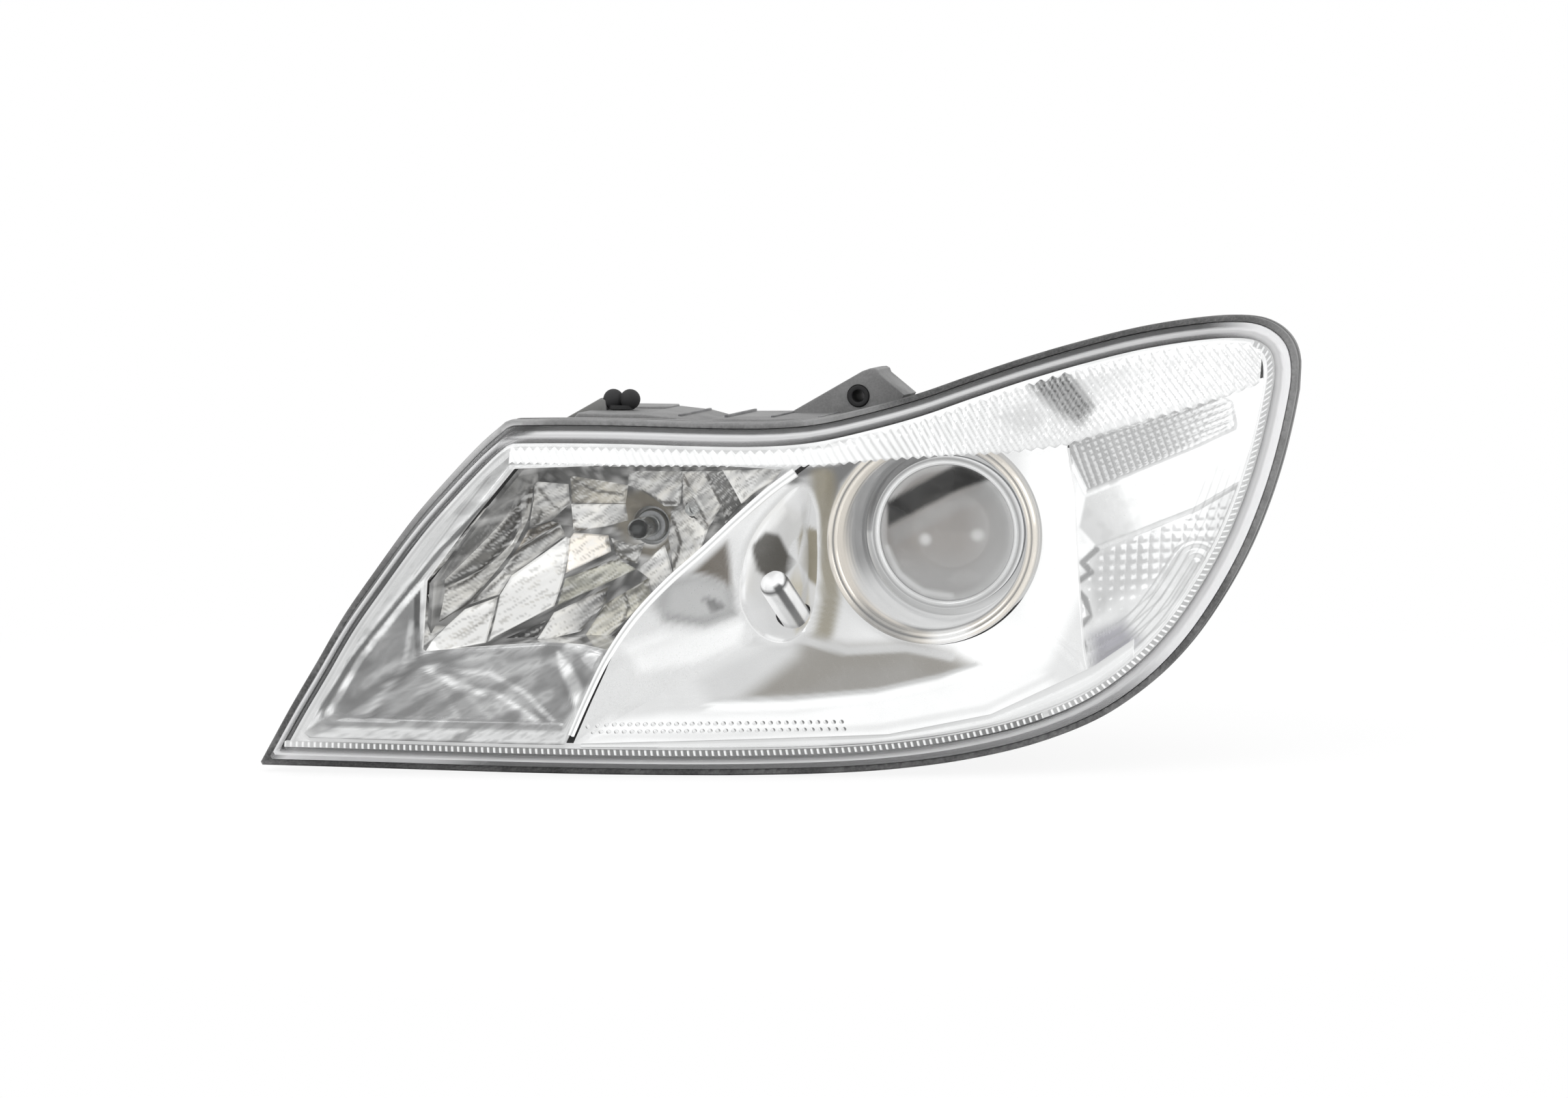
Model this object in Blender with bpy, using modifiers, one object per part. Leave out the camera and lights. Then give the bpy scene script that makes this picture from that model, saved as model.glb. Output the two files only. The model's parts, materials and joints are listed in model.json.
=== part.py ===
"""Left-hand car headlight: projector low beam, free-form high-beam reflector and turn lamp.

Frame: the origin is on the flat underside of the lower mounting foot. -Y is the driving
direction (front), +X points outboard to the wing and +Z is up. The lamp is laid out around its
optical centre, the middle of the projector lens, and everything hangs on an empty there.
Lengths are millimetres from that centre, written to Blender in metres. 2-D places are (x, z),
and an outline called clockwise is so when seen from the front.
"""

import math

import bmesh
import bpy
from mathutils import Vector

MM = 0.001

# ---------------------------------------------------------------- driving dimensions
FOOT = Vector((-126.0, 26.0, -106.0))    # the frame's origin, on the lower foot
GLASS = 3.0              # wall of the clear cover
SHEET = 2.2              # thickness of the trims inside the cover
WALL = 2.6               # wall of the housing's back and buckets, and of the high-beam dish
HOUSING_RIM = 7.5        # how far the housing's rim stands out from the cover's edge
LOW_BEAM = Vector((0.0, 0.0))
HIGH_BEAM = (-155.0, 0.0)
PARKING = (-129, 10)
AIM_X, AIM_Y, AIM_Z = -90.0, 46.0, 30.0     # the fixed ball: pitch axis along X, yaw along Z
LEVEL_Z = -60.0          # height of the levelling ball, under the fixed ball
TRIM_X = 74.0            # the horizontal-aim ball, beside the fixed ball
FIXED_AT, LEVEL_AT, TRIM_AT = (AIM_X, AIM_Z), (AIM_X, LEVEL_Z), (TRIM_X, AIM_Z)
BALL_R = 4.0
KNOB_AT = (-84, -69)     # vertical adjuster
BUCKET_R, BUCKET_BACK = 62.0, 128.0         # round bucket behind the projector
HIGH_BUCKET_R, HIGH_BUCKET_BACK = 41.0, 64.0
PAD_Z = 59.6             # flat seat on top of the housing, inboard
VENT_AT = (60, 62)
UPPER_HOLE_AT = (-52, 66)
FOOT_HOLE_X = -143
SIDE_FACE_X, SIDE_HOLE_Y, SIDE_HOLE_Z = 138, 90, 24
BUFFER_X, BUFFER_Y = -170, 6
CONNECTOR_X, CONNECTOR_Z = -10, -74
TURN_BASE = Vector((-68.0, -20.0, -49.0))   # where the turn lamp enters its bowl
TURN_AXIS = Vector((-0.22, -0.716, 0.661)).normalized()

FLANGE_R = 52            # shared by the projector's holder, shield and reflector
# screws of the projector, pillars of the high-beam dish, screws of the levelling motor
PROJECTOR_SCREWS = [(48 * math.cos(math.radians(a)), 48 * math.sin(math.radians(a)))
                    for a in (60, 180, 300)]
PILLARS = [(HIGH_BEAM[0] + 33 * math.cos(a), HIGH_BEAM[1] + 33 * math.sin(a))
           for a in (math.pi / 3, math.pi, -math.pi / 3)]
MOTOR_SCREWS = [(AIM_X - 19, LEVEL_Z + 20), (AIM_X + 19, LEVEL_Z - 20)]

LARGE, SMALL = 26, 14    # steps of large and small turned parts

# edge of the cover, (x, z): the inboard edge runs up, the rest runs clockwise from its top
INBOARD = [(-306, -103.3), (-296, -84), (-285, -64), (-273, -41.6), (-259.4, -20.3),
           (-243, 4.3), (-228, 23.3), (-213.3, 40.3), (-203, 50)]
ROUND = [(-203, 50), (-181, 50.3), (-148, 50.1), (-115, 49.2), (-83, 48.9), (-57, 50.8),
         (-32, 56.3), (-7, 63.4), (17, 72.1), (42, 80.8), (66, 88.1), (91, 94.5), (115, 98.5),
         (134, 99.9), (147, 98), (155.5, 91), (158.4, 79.4), (157.4, 64.4), (153.7, 41.2),
         (148, 18), (140, -5), (129, -27.4), (115.5, -48.3), (99, -66), (78, -81),
         (50.6, -92), (20, -99), (-11, -103), (-43, -105), (-90, -106), (-139, -106),
         (-188, -105.5), (-237, -104.6), (-277, -103.8), (-306, -103.3)]
# the divider between the two chambers, (x, z) from the top
DIVIDER = [(-52, 43), (-59, 36), (-73, 25), (-88, 11), (-103, -4), (-119, -19), (-134, -36),
           (-146, -55), (-155, -75), (-163, -95), (-166, -101)]
INBOARD_POINTS, ROUND_POINTS = 9, 31     # points on each part of every outline
OUTLINE_TRIM = 1.6       # how far those points stay from the outline's two corners
COVER_MIDDLE = Vector((-60.0, -20.0))
BACK_MIDDLE = Vector((-50.0, -15.0))     # the housing's body tapers towards this


def cover_y(x, z):
    """Depth of the cover's outer surface: swept back to the wing, leaning back to the bonnet."""
    over_projector = math.exp(-((x - 38) ** 2 + (z - 28) ** 2) / 7000)
    return (-60 + 0.36 * x + 0.000858 * x * x + 1.222e-6 * x ** 3 + 0.28 * z
            + 0.0009 * z * z - 6 * over_projector)


def smooth(t):
    t = max(0.0, min(1.0, t))
    return t * t * (3 - 2 * t)


def lip_depth(x):
    """How far the housing's lip stands behind the cover's edge; less on the swept wing side."""
    return 20 - 9 * smooth((x - 60) / 90)


def span(middle, half):
    return (middle - half, middle + half)


def at_y(place, y=0):
    """The 3-D point over an (x, z) place."""
    return (place[0], y, place[1])


# ---------------------------------------------------------------- curves in the X-Z plane
def spline(points, steps):
    """Catmull-Rom curve through the points, with this many steps on each stretch."""
    curve = []
    for i in range(len(points) - 1):
        start, end = Vector(points[i]), Vector(points[i + 1])
        before = Vector(points[i - 1]) if i else start * 2 - end
        after = Vector(points[i + 2]) if i + 2 < len(points) else end * 2 - start
        for k in range(steps):
            t = k / steps
            curve.append(0.5 * ((2 * start) + (end - before) * t
                                + (2 * before - 5 * start + 4 * end - after) * t * t
                                + (3 * start - before - 3 * end + after) * t ** 3))
    curve.append(Vector(points[-1]))
    return curve


def left_at(line, i):
    """Unit vector to the left of the line at its point i."""
    along = (line[min(len(line) - 1, i + 1)] - line[max(0, i - 1)]).normalized()
    return Vector((-along.y, along.x))


def beside(line, distance):
    """The line moved to its left, which is outwards on a clockwise outline."""
    return [p + left_at(line, i) * distance for i, p in enumerate(line)]


def cross(a, b):
    return a.x * b.y - a.y * b.x


def crossing(start_a, step_a, start_b, step_b):
    """Shares of the two steps at which their lines cross, or None when parallel."""
    area = cross(step_a, step_b)
    if abs(area) < 1e-9:
        return None
    gap = start_b - start_a
    return cross(gap, step_b) / area, cross(gap, step_a) / area


def on_step(share):
    return -1e-6 <= share <= 1.000001


def meeting(line_a, line_b):
    """(index on a, index on b, point) where the end of line a crosses the start of line b."""
    for i in range(len(line_a) - 1, max(0, len(line_a) - 60), -1):
        start, step = line_a[i - 1], line_a[i] - line_a[i - 1]
        for j in range(min(len(line_b) - 1, 60)):
            shares = crossing(start, step, line_b[j], line_b[j + 1] - line_b[j])
            if shares and on_step(shares[0]) and on_step(shares[1]):
                return i, j, start + step * shares[0]
    raise ValueError("the offset edges don't meet")


def stretched(line, by=30.0):
    """The line with a straight piece added to each end."""
    first = (line[0] - line[1]).normalized()
    last = (line[-1] - line[-2]).normalized()
    return [line[0] + first * by] + line + [line[-1] + last * by]


def spread(line, count, trim, bend=34.0):
    """Points along the line, closer where it bends, starting and ending trim short of it."""
    marks = [0.0]
    for i in range(1, len(line)):
        step = (line[i] - line[i - 1]).length
        turn = 0.0
        if 1 < i < len(line) - 1:
            turn = (line[i] - line[i - 1]).angle(line[i + 1] - line[i], 0.0)
        marks.append(marks[-1] + step + bend * turn)
    points = []
    for k in range(count):
        want = trim + (marks[-1] - 2 * trim) * k / (count - 1)
        i = next(j for j in range(1, len(marks)) if marks[j] >= want - 1e-9)
        t = (want - marks[i - 1]) / max(marks[i] - marks[i - 1], 1e-9)
        points.append(line[i - 1].lerp(line[i], t))
    return points


inboard_line, round_line = spline(INBOARD, 10), spline(ROUND, 10)
divider_line = spline(DIVIDER, 8)


def outline(distance):
    """The cover's edge moved outwards, as points clockwise from its lower inboard tip."""
    inboard = stretched(beside(inboard_line, distance))
    rest = stretched(beside(round_line, distance))
    inboard_end, rest_start, top = meeting(inboard, rest)
    rest_end, inboard_start, tip = meeting(rest, inboard)
    inboard = [tip] + inboard[inboard_start + 1:inboard_end] + [top]
    rest = [top] + rest[rest_start + 1:rest_end] + [tip]
    return (spread(inboard, INBOARD_POINTS, OUTLINE_TRIM, bend=10.0)
            + spread(rest, ROUND_POINTS, OUTLINE_TRIM))


def scaled(points, centre, scale):
    return [centre + (p - centre) * scale for p in points]


def reach(polygon, centre, angle):
    """Distance from centre to the polygon's edge in a direction."""
    ray = Vector((math.cos(angle), math.sin(angle)))
    far = 0.0
    for i, p in enumerate(polygon):
        shares = crossing(centre, ray, p, polygon[(i + 1) % len(polygon)] - p)
        if shares and shares[0] > 0 and on_step(shares[1]):
            far = max(far, shares[0])
    return far


def corner_angles(polygon, centre, count):
    """Even directions from centre, falling, with some moved onto the polygon's sharp corners."""
    full = 2 * math.pi
    angles = [full * k / count for k in range(count)]
    for i, p in enumerate(polygon):
        before, after = polygon[i - 1], polygon[(i + 1) % len(polygon)]
        if (p - before).angle(after - p) > 0.5:
            want = math.atan2(p.y - centre.y, p.x - centre.x) % full
            k = min(range(count),
                    key=lambda j: abs((angles[j] - want + math.pi) % full - math.pi))
            angles[k] = want
    return sorted(angles, reverse=True)


def star(polygon, centre, count):
    """(angle, reach) rays from centre to the polygon."""
    return [(a, reach(polygon, centre, a)) for a in corner_angles(polygon, centre, count)]


def at_angle(centre, angle, radius):
    return Vector((centre.x + radius * math.cos(angle), centre.y + radius * math.sin(angle)))


# ---------------------------------------------------------------- rings in 3-D
def at_depths(points, depths):
    return [Vector((p.x, y, p.y)) for p, y in zip(points, depths)]


def on_surface(points, depth_at):
    return [Vector((p.x, depth_at(p.x, p.y), p.y)) for p in points]


def behind_cover(points, depth):
    """Points lifted to this depth behind the cover's outer surface."""
    return on_surface(points, lambda x, z: cover_y(x, z) + depth)


EDGE = outline(0.0)
EDGE_Y = [cover_y(p.x, p.y) for p in EDGE]
LIP = [y + lip_depth(p.x) for p, y in zip(EDGE, EDGE_Y)]
BACK_Y = [0.30 * y + 78 for y in EDGE_Y]


def lip_ring(distance, depth):
    """The outline moved outwards, this deep behind the housing's lip."""
    return at_depths(outline(distance), [y + depth for y in LIP])


# ---------------------------------------------------------------- scene and materials
for old in list(bpy.data.objects):
    bpy.data.objects.remove(old, do_unlink=True)

scene = bpy.context.scene
scene.unit_settings.system = "METRIC"
headlight = bpy.data.collections.new("car_headlight")
cutters = bpy.data.collections.new("cutters")
scene.collection.children.link(headlight)
scene.collection.children.link(cutters)

# name: (base colour, roughness, metallic, alpha)
FINISHES = {
    "housing_plastic": ((0.10, 0.10, 0.105), 0.55, 0.0, 1.0),
    "clear_polycarbonate": ((0.95, 0.97, 0.97), 0.04, 0.0, 0.25),
    "sealant": ((0.03, 0.03, 0.03), 0.7, 0.0, 1.0),
    "bright_chrome": ((0.88, 0.88, 0.87), 0.12, 1.0, 1.0),
    "smoked_chrome": ((0.34, 0.34, 0.35), 0.22, 1.0, 1.0),
    "mirror_coating": ((0.93, 0.92, 0.90), 0.05, 1.0, 1.0),
    "lamp_glass": ((0.9, 0.93, 0.95), 0.03, 0.0, 0.3),
    "die_cast": ((0.55, 0.56, 0.57), 0.45, 0.9, 1.0),
    "zinc_steel": ((0.66, 0.66, 0.64), 0.35, 1.0, 1.0),
    "black_plastic": ((0.03, 0.03, 0.032), 0.45, 0.0, 1.0),
    "white_nylon": ((0.82, 0.81, 0.77), 0.5, 0.0, 1.0),
    "rubber": ((0.025, 0.025, 0.025), 0.75, 0.0, 1.0),
    "silver_cap": ((0.86, 0.86, 0.87), 0.1, 1.0, 1.0),
}


def make_material(name, colour, roughness, metallic, alpha):
    made = bpy.data.materials.new(name)
    made.use_nodes = True
    shader = made.node_tree.nodes["Principled BSDF"]
    shader.inputs["Base Color"].default_value = (*colour, 1.0)
    shader.inputs["Roughness"].default_value = roughness
    shader.inputs["Metallic"].default_value = metallic
    shader.inputs["Alpha"].default_value = alpha
    return made


MATERIALS = {name: make_material(name, *finish) for name, finish in FINISHES.items()}


# ---------------------------------------------------------------- making solids
def add_object(name, mesh, material):
    obj = bpy.data.objects.new(name, mesh)
    headlight.objects.link(obj)
    if material:
        mesh.materials.clear()
        mesh.materials.append(MATERIALS[material])
    mesh.shade_smooth()
    mesh.set_sharp_from_angle(angle=math.radians(30.0))
    return obj


def add_bmesh(name, bm, material):
    mesh = bpy.data.meshes.new(name)
    bm.to_mesh(mesh)
    bm.free()
    return add_object(name, mesh, material)


def cut(obj, other, operation="DIFFERENCE"):
    """Takes the other solid away from obj; the other becomes a hidden helper."""
    headlight.objects.unlink(other)
    cutters.objects.link(other)
    other.hide_render = True
    other.display_type = "WIRE"
    boolean = obj.modifiers.new(f"{operation.lower()}_{other.name}", "BOOLEAN")
    boolean.operation = operation
    boolean.object = other
    boolean.solver = "EXACT"


def join(obj, other):
    cut(obj, other, "UNION")


def turned(name, profile, material, steps=18, at=(0, 0, 0), axis=(0, 1, 0)):
    """A turned solid from (radius, height along the axis) points.

    It closes on the axis, or on itself when it starts off it.
    """
    closed = profile[0][0] > 1e-6
    area = sum(a[0] * b[1] - b[0] * a[1] for a, b in zip(profile, profile[1:] + profile[:1]))
    points = list(profile) if area < 0 else list(reversed(profile))
    edges = [(i, i + 1) for i in range(len(points) - 1)]
    if closed:
        edges.append((len(points) - 1, 0))
    mesh = bpy.data.meshes.new(name)
    mesh.from_pydata([(r * MM, 0, height * MM) for r, height in points], edges, [])
    obj = add_object(name, mesh, material)
    screw = obj.modifiers.new("screw", "SCREW")
    screw.steps = screw.render_steps = steps
    screw.use_merge_vertices = True
    screw.merge_threshold = 0.00001
    obj.rotation_mode = "QUATERNION"
    obj.rotation_quaternion = Vector((0, 0, 1)).rotation_difference(Vector(axis))
    obj.location = Vector(at) * MM
    return obj


def cone(name, radius, end_radius, length, sides, material=None):
    bm = bmesh.new()
    bmesh.ops.create_cone(bm, cap_ends=True, segments=sides, radius1=radius * MM,
                          radius2=end_radius * MM, depth=length * MM)
    return add_bmesh(name, bm, material)


def rod(name, radius, front, back, at=(0, 0), sides=20, back_radius=None):
    """A round bar along Y; it tapers when it has a back radius."""
    obj = cone(name, radius, back_radius or radius, back - front, sides)
    obj.rotation_euler = (-math.pi / 2, 0, 0)
    obj.location = (at[0] * MM, (front + back) / 2 * MM, at[1] * MM)
    return obj


def rod_between(name, radius, start, end, sides, material=None):
    start, end = Vector(start), Vector(end)
    obj = cone(name, radius, radius, (end - start).length, sides, material)
    obj.rotation_mode = "QUATERNION"
    obj.rotation_quaternion = Vector((0, 0, 1)).rotation_difference((end - start).normalized())
    obj.location = (start + end) / 2 * MM
    return obj


def ball(name, radius, at, material=None):
    bm = bmesh.new()
    bmesh.ops.create_uvsphere(bm, u_segments=12, v_segments=6, radius=radius * MM)
    obj = add_bmesh(name, bm, material)
    obj.location = Vector(at) * MM
    return obj


def block(name, x, y, z, material=None, bevel=0.0):
    """A box from (low, high) pairs."""
    bm = bmesh.new()
    bmesh.ops.create_cube(bm, size=1.0)
    size = Vector((x[1] - x[0], y[1] - y[0], z[1] - z[0])) * MM
    bmesh.ops.scale(bm, vec=size, verts=bm.verts)
    obj = add_bmesh(name, bm, material)
    obj.location = (sum(x) / 2 * MM, sum(y) / 2 * MM, sum(z) / 2 * MM)
    if bevel:
        modifier = obj.modifiers.new("bevel", "BEVEL")
        modifier.width = bevel * MM
        modifier.segments = 2
        modifier.limit_method = "ANGLE"
    return obj


def new_curve(name, dimensions, points):
    """Curve data with one poly line through (x, y, z) points."""
    curve = bpy.data.curves.new(name, "CURVE")
    curve.dimensions = dimensions
    line = curve.splines.new("POLY")
    line.points.add(len(points) - 1)
    for point, (x, y, z) in zip(line.points, points):
        point.co = (x * MM, y * MM, z * MM, 1)
    return curve


def plate(name, points, front, back, material=None):
    """A flat (x, z) outline given thickness along Y, from a filled 2-D curve."""
    curve = new_curve(name, "2D", [(x, z, 0) for x, z in points])
    curve.fill_mode = "BOTH"
    curve.extrude = abs(back - front) / 2 * MM
    curve.splines[0].use_cyclic_u = True
    flat = bpy.data.objects.new(name + "_outline", curve)
    scene.collection.objects.link(flat)
    flat.rotation_euler = (math.pi / 2, 0, 0)
    flat.location = (0, (front + back) / 2 * MM, 0)
    bpy.context.view_layer.update()
    depsgraph = bpy.context.evaluated_depsgraph_get()
    mesh = bpy.data.meshes.new_from_object(flat.evaluated_get(depsgraph))
    mesh.name = name
    # weld the caps to the sides
    bm = bmesh.new()
    bm.from_mesh(mesh)
    bmesh.ops.remove_doubles(bm, verts=bm.verts, dist=1e-6)
    bmesh.ops.recalc_face_normals(bm, faces=bm.faces)
    bm.to_mesh(mesh)
    bm.free()
    obj = add_object(name, mesh, material)
    obj.matrix_world = flat.matrix_world.copy()
    bpy.data.objects.remove(flat)
    return obj


def loft(name, rings, material=None, closed=False):
    """A solid skinned over rings of equal count.

    Its ends are fans to their middles unless it closes on itself.
    """
    bm = bmesh.new()
    rows = [[bm.verts.new(p * MM) for p in ring] for ring in rings]
    count = len(rows[0])
    pairs = list(zip(rows, rows[1:]))
    if closed:
        pairs.append((rows[-1], rows[0]))
    for a, b in pairs:
        for i in range(count):
            j = (i + 1) % count
            bm.faces.new((a[i], a[j], b[j], b[i]))
    if not closed:
        for row, flip in ((rows[0], True), (rows[-1], False)):
            hub = bm.verts.new(sum((v.co for v in row), Vector()) / count)
            for i in range(count):
                j = (i + 1) % count
                bm.faces.new((row[j], row[i], hub) if flip else (row[i], row[j], hub))
    bmesh.ops.recalc_face_normals(bm, faces=bm.faces)
    bmesh.ops.triangulate(bm, faces=bm.faces)
    return add_bmesh(name, bm, material)


def sheet(name, rings, material, thickness=SHEET, closed=False):
    """A loft over the front rings and the same rings moved back by the thickness."""
    back = Vector((0, thickness, 0))
    behind = [[p + back for p in ring] for ring in reversed(rings)]
    return loft(name, rings + behind, material, closed)


def screw(name, at, tip, seat, top, radius=1.8, head_radius=3.8):
    """A screw along Y, its head at the back."""
    profile = [(0, tip), (radius, tip), (radius, seat), (head_radius, seat),
               (head_radius, top), (0, top)]
    turned(name, profile, "zinc_steel", steps=8, at=at_y(at))


def cut_screw_holes(part, prefix, places, radius, front, back):
    for n, place in enumerate(places):
        cut(part, rod(f"{prefix}_{n}", radius, front, back, place, 8))


def join_lugs(part, prefix, radius, half_thickness, y):
    """Three lugs around the projector's axis, the first at the top."""
    for n in range(3):
        angle = math.radians(90 + 120 * n)
        lug = block(f"{prefix}_{n}", (-half_thickness, half_thickness), y, (-8, 8))
        lug.location.x = radius * MM * math.cos(angle)
        lug.location.z = radius * MM * math.sin(angle)
        lug.rotation_euler = (0, -angle, 0)
        join(part, lug)


# ---------------------------------------------------------------- clear cover and its sealant
def build_cover():
    face = outline(-9.0)
    scales = (0.4, 0.75, 1.0)
    outer = [behind_cover(scaled(face, COVER_MIDDLE, s), 0.0) for s in scales]
    inner = [behind_cover(scaled(face, COVER_MIDDLE, s), GLASS) for s in reversed(scales)]
    skirt = [
        behind_cover(outline(-4.0), 0.5),
        behind_cover(outline(-1.2), 2.4),
        at_depths(outline(0.0), [y + 5.5 for y in EDGE_Y]),
        lip_ring(1.5, 10.2),
        lip_ring(-1.5, 10.2),
        at_depths(outline(-3.0), [y + 6.5 for y in EDGE_Y]),
        behind_cover(outline(-5.0), GLASS + 1.0),
    ]
    loft("cover_lens", outer + skirt + inner, "clear_polycarbonate")


def build_sealant():
    outside, inside = 4.2, -3.4
    front, back = 10.6, 13.6
    loft("lens_sealant", [lip_ring(outside, front), lip_ring(outside, back),
                          lip_ring(inside, back), lip_ring(inside, front)],
         "sealant", closed=True)


# ---------------------------------------------------------------- housing
RIM_WALL = 6.5           # inset of the hollow at the housing's rim
BACK_SCALE = 0.80        # size of the body's back against its rim
HOLLOW_FRONT = -30       # the hollows start this far from the lip, clear of its front
HOLE_R, SINK_R = 5.8, 8.7        # grommet holes of the mounts and their counterbores
HUMP_FRONT, HUMP_BACK = -26, 50

# hump along the top, (x, z) clockwise
HUMP = [(-195, 30), (-192, 49), (-184, 58.6), (-162.5, 58.6), (-150, 58.6), (-134, 57),
        (-124, 54.5), (-113, 56.6), (-88, 57), (-60, 57.5), (-40, 52), (-38, 30)]
# mounting arm on top, (x, z) clockwise
UPPER_ARM = [(-100, 50), (-50, 78.6), (-43.5, 80.2), (-41, 77.2), (-28, 66.8), (-32, 60),
             (-60, 40)]

# rods along Y: (name, radius, front, back, (x, z), sides)
BUCKETS = [
    ("projector_bucket", BUCKET_R, 12, BUCKET_BACK, LOW_BEAM, 36),
    ("projector_collar", 53.5, 120, 142, LOW_BEAM, 36),
    ("high_beam_bucket", HIGH_BUCKET_R, 5, HIGH_BUCKET_BACK, HIGH_BEAM, 28),
    ("high_beam_collar", 37.0, 50, 72, HIGH_BEAM, 28),
]
ROUND_BOSSES = [
    ("stud_boss", 8.0, 50, 66, FIXED_AT, 12),
    ("trim_boss", 10.5, 60, 88, TRIM_AT, 16),
    ("vent_boss", 7.0, 62, 91, VENT_AT, 12),
]
BUCKET_HOLLOWS = [
    ("bucket_hollow", BUCKET_R - WALL, 20, BUCKET_BACK - WALL, LOW_BEAM, 36),
    ("bucket_mouth", 48.0, 100, 150, LOW_BEAM, 36),
    ("high_beam_hollow", HIGH_BUCKET_R - WALL, -5, HIGH_BUCKET_BACK - WALL, HIGH_BEAM, 28),
    ("high_beam_mouth", 33.5, 40, 80, HIGH_BEAM, 28),
    ("level_bore", 9.0, 20, 70, LEVEL_AT, 16),
]
BOSS_BORES = [
    ("fixed_bore", 3.4, 30, 62, FIXED_AT, 12),
    ("trim_recess", 7.4, 50, 80.5, TRIM_AT, 12),
    ("trim_bore", 4.8, 50, 95, TRIM_AT, 12),
    ("vent_bore", 4.2, 40, 98, VENT_AT, 12),
]
# rods in any direction: (name, radius, start, end, sides)
MOUNT_HOLES = [
    ("buffer_hole", 4.0, (BUFFER_X, BUFFER_Y, 50), (BUFFER_X, BUFFER_Y, 64), 12),
    ("lower_foot_hole", HOLE_R, (FOOT_HOLE_X, FOOT.y, -112), (FOOT_HOLE_X, FOOT.y, -97), 12),
    ("lower_foot_sink", SINK_R, (FOOT_HOLE_X, FOOT.y, -112), (FOOT_HOLE_X, FOOT.y, -103.6), 16),
    ("side_pad_hole", HOLE_R, (126, SIDE_HOLE_Y, SIDE_HOLE_Z),
     (144, SIDE_HOLE_Y, SIDE_HOLE_Z), 12),
    ("side_pad_sink", SINK_R, (135.6, SIDE_HOLE_Y, SIDE_HOLE_Z),
     (144, SIDE_HOLE_Y, SIDE_HOLE_Z), 16),
]


def body_ring(share, wall):
    """A section of the tapering body: share 0 at the rim, 1 at its back; wall is the inset."""
    outer = outline(1.0 - wall)
    back = scaled(outline(-wall), BACK_MIDDLE, BACK_SCALE)
    depths = [lip + 20 + (end - wall - lip - 20) * share for lip, end in zip(LIP, BACK_Y)]
    taper = smooth((share - 0.3) / 0.7)
    return [Vector((p.x + (q.x - p.x) * taper, y, p.y + (q.y - p.y) * taper))
            for p, q, y in zip(outer, back, depths)]


def join_bosses(housing):
    join(housing, plate("hump_outer", HUMP, HUMP_FRONT, HUMP_BACK))
    join(housing, block("upper_pad", (-182.6, -151.4), (21, 49.6), (54, PAD_Z)))
    for row in BUCKETS:
        join(housing, rod(*row))
    join(housing, block("level_boss", span(AIM_X, 25), (36, 60), span(LEVEL_Z, 26)))
    join(housing, block("fixed_boss", span(AIM_X, 17), (36, 60), span(AIM_Z, 15)))
    for row in ROUND_BOSSES:
        join(housing, rod(*row))
    join(housing, rod_between("turn_port", 13.8, TURN_BASE - TURN_AXIS * 40,
                              TURN_BASE - TURN_AXIS * 76, 18))


def join_mounts(housing):
    """An arm on top, a foot below and a pad on the wing side."""
    join(housing, plate("upper_outer_arm", UPPER_ARM, 28, 56))
    join(housing, block("lower_foot", (-153, -113), span(FOOT.y, 16), (FOOT.z, -70)))
    join(housing, block("side_pad", (104, SIDE_FACE_X), (62, 100), (6, 42)))


def hollow_housing(housing):
    cut(housing, loft("body_hollow", [
        lip_ring(-RIM_WALL, HOLLOW_FRONT), lip_ring(-RIM_WALL, 19),
        body_ring(0.04, RIM_WALL), body_ring(0.5, WALL), body_ring(1.0, WALL)]))
    # groove for the cover's skirt
    outside, inside, floor = 4.6, -3.8, 14
    cut(housing, loft("rim_groove", [
        lip_ring(outside, HOLLOW_FRONT), lip_ring(outside, floor),
        lip_ring(inside, floor), lip_ring(inside, HOLLOW_FRONT)], closed=True))
    wall = 2.4
    cut(housing, plate("hump_hollow", [(x * 0.985 - 1.7, z - wall) for x, z in HUMP],
                       HUMP_FRONT + wall, HUMP_BACK - wall))
    for row in BUCKET_HOLLOWS:
        cut(housing, rod(*row))


def bore_housing(housing):
    cut(housing, block("fixed_recess", span(AIM_X, 14.5), (30, 54.5), span(AIM_Z, 12.5)))
    cut(housing, block("level_recess", span(AIM_X, 11), (30, 54.5), span(LEVEL_Z, 11)))
    for row in BOSS_BORES:
        cut(housing, rod(*row))
    cut(housing, rod_between("turn_bore", 9.8, TURN_BASE - TURN_AXIS * 30,
                             TURN_BASE - TURN_AXIS * 80, 18))
    cut(housing, rod("upper_outer_hole", HOLE_R, 20, 64, UPPER_HOLE_AT, 12))
    cut(housing, rod("upper_outer_sink", SINK_R, 53.6, 64, UPPER_HOLE_AT, 16))
    for row in MOUNT_HOLES:
        cut(housing, rod_between(*row))
    cut(housing, block("connector_port", span(CONNECTOR_X, 18), (40, 90),
                       span(CONNECTOR_Z, 10)))
    cut_screw_holes(housing, "motor_screw_hole", MOTOR_SCREWS, 2.2, 51, 64)


def build_housing():
    housing = loft("housing", [
        lip_ring(HOUSING_RIM, 0), lip_ring(HOUSING_RIM, 17),
        body_ring(0.04, 0.0), body_ring(0.5, 0.0), body_ring(1.0, 0.0)], "housing_plastic")
    join_bosses(housing)
    join_mounts(housing)
    join_lugs(housing, "collar_lug", 53.0, 2.6, (136.0, 139.4))
    hollow_housing(housing)
    bore_housing(housing)


# ---------------------------------------------------------------- edges of the bright trims
PANEL_GAP = 7.8          # panels stop this far inside the cover's edge
STRIP_GAP = 7.4          # strips along the cover's edge stop this far inside it
STRIP_DEPTH = 6.0        # front of the strips behind the cover's outer surface

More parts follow.
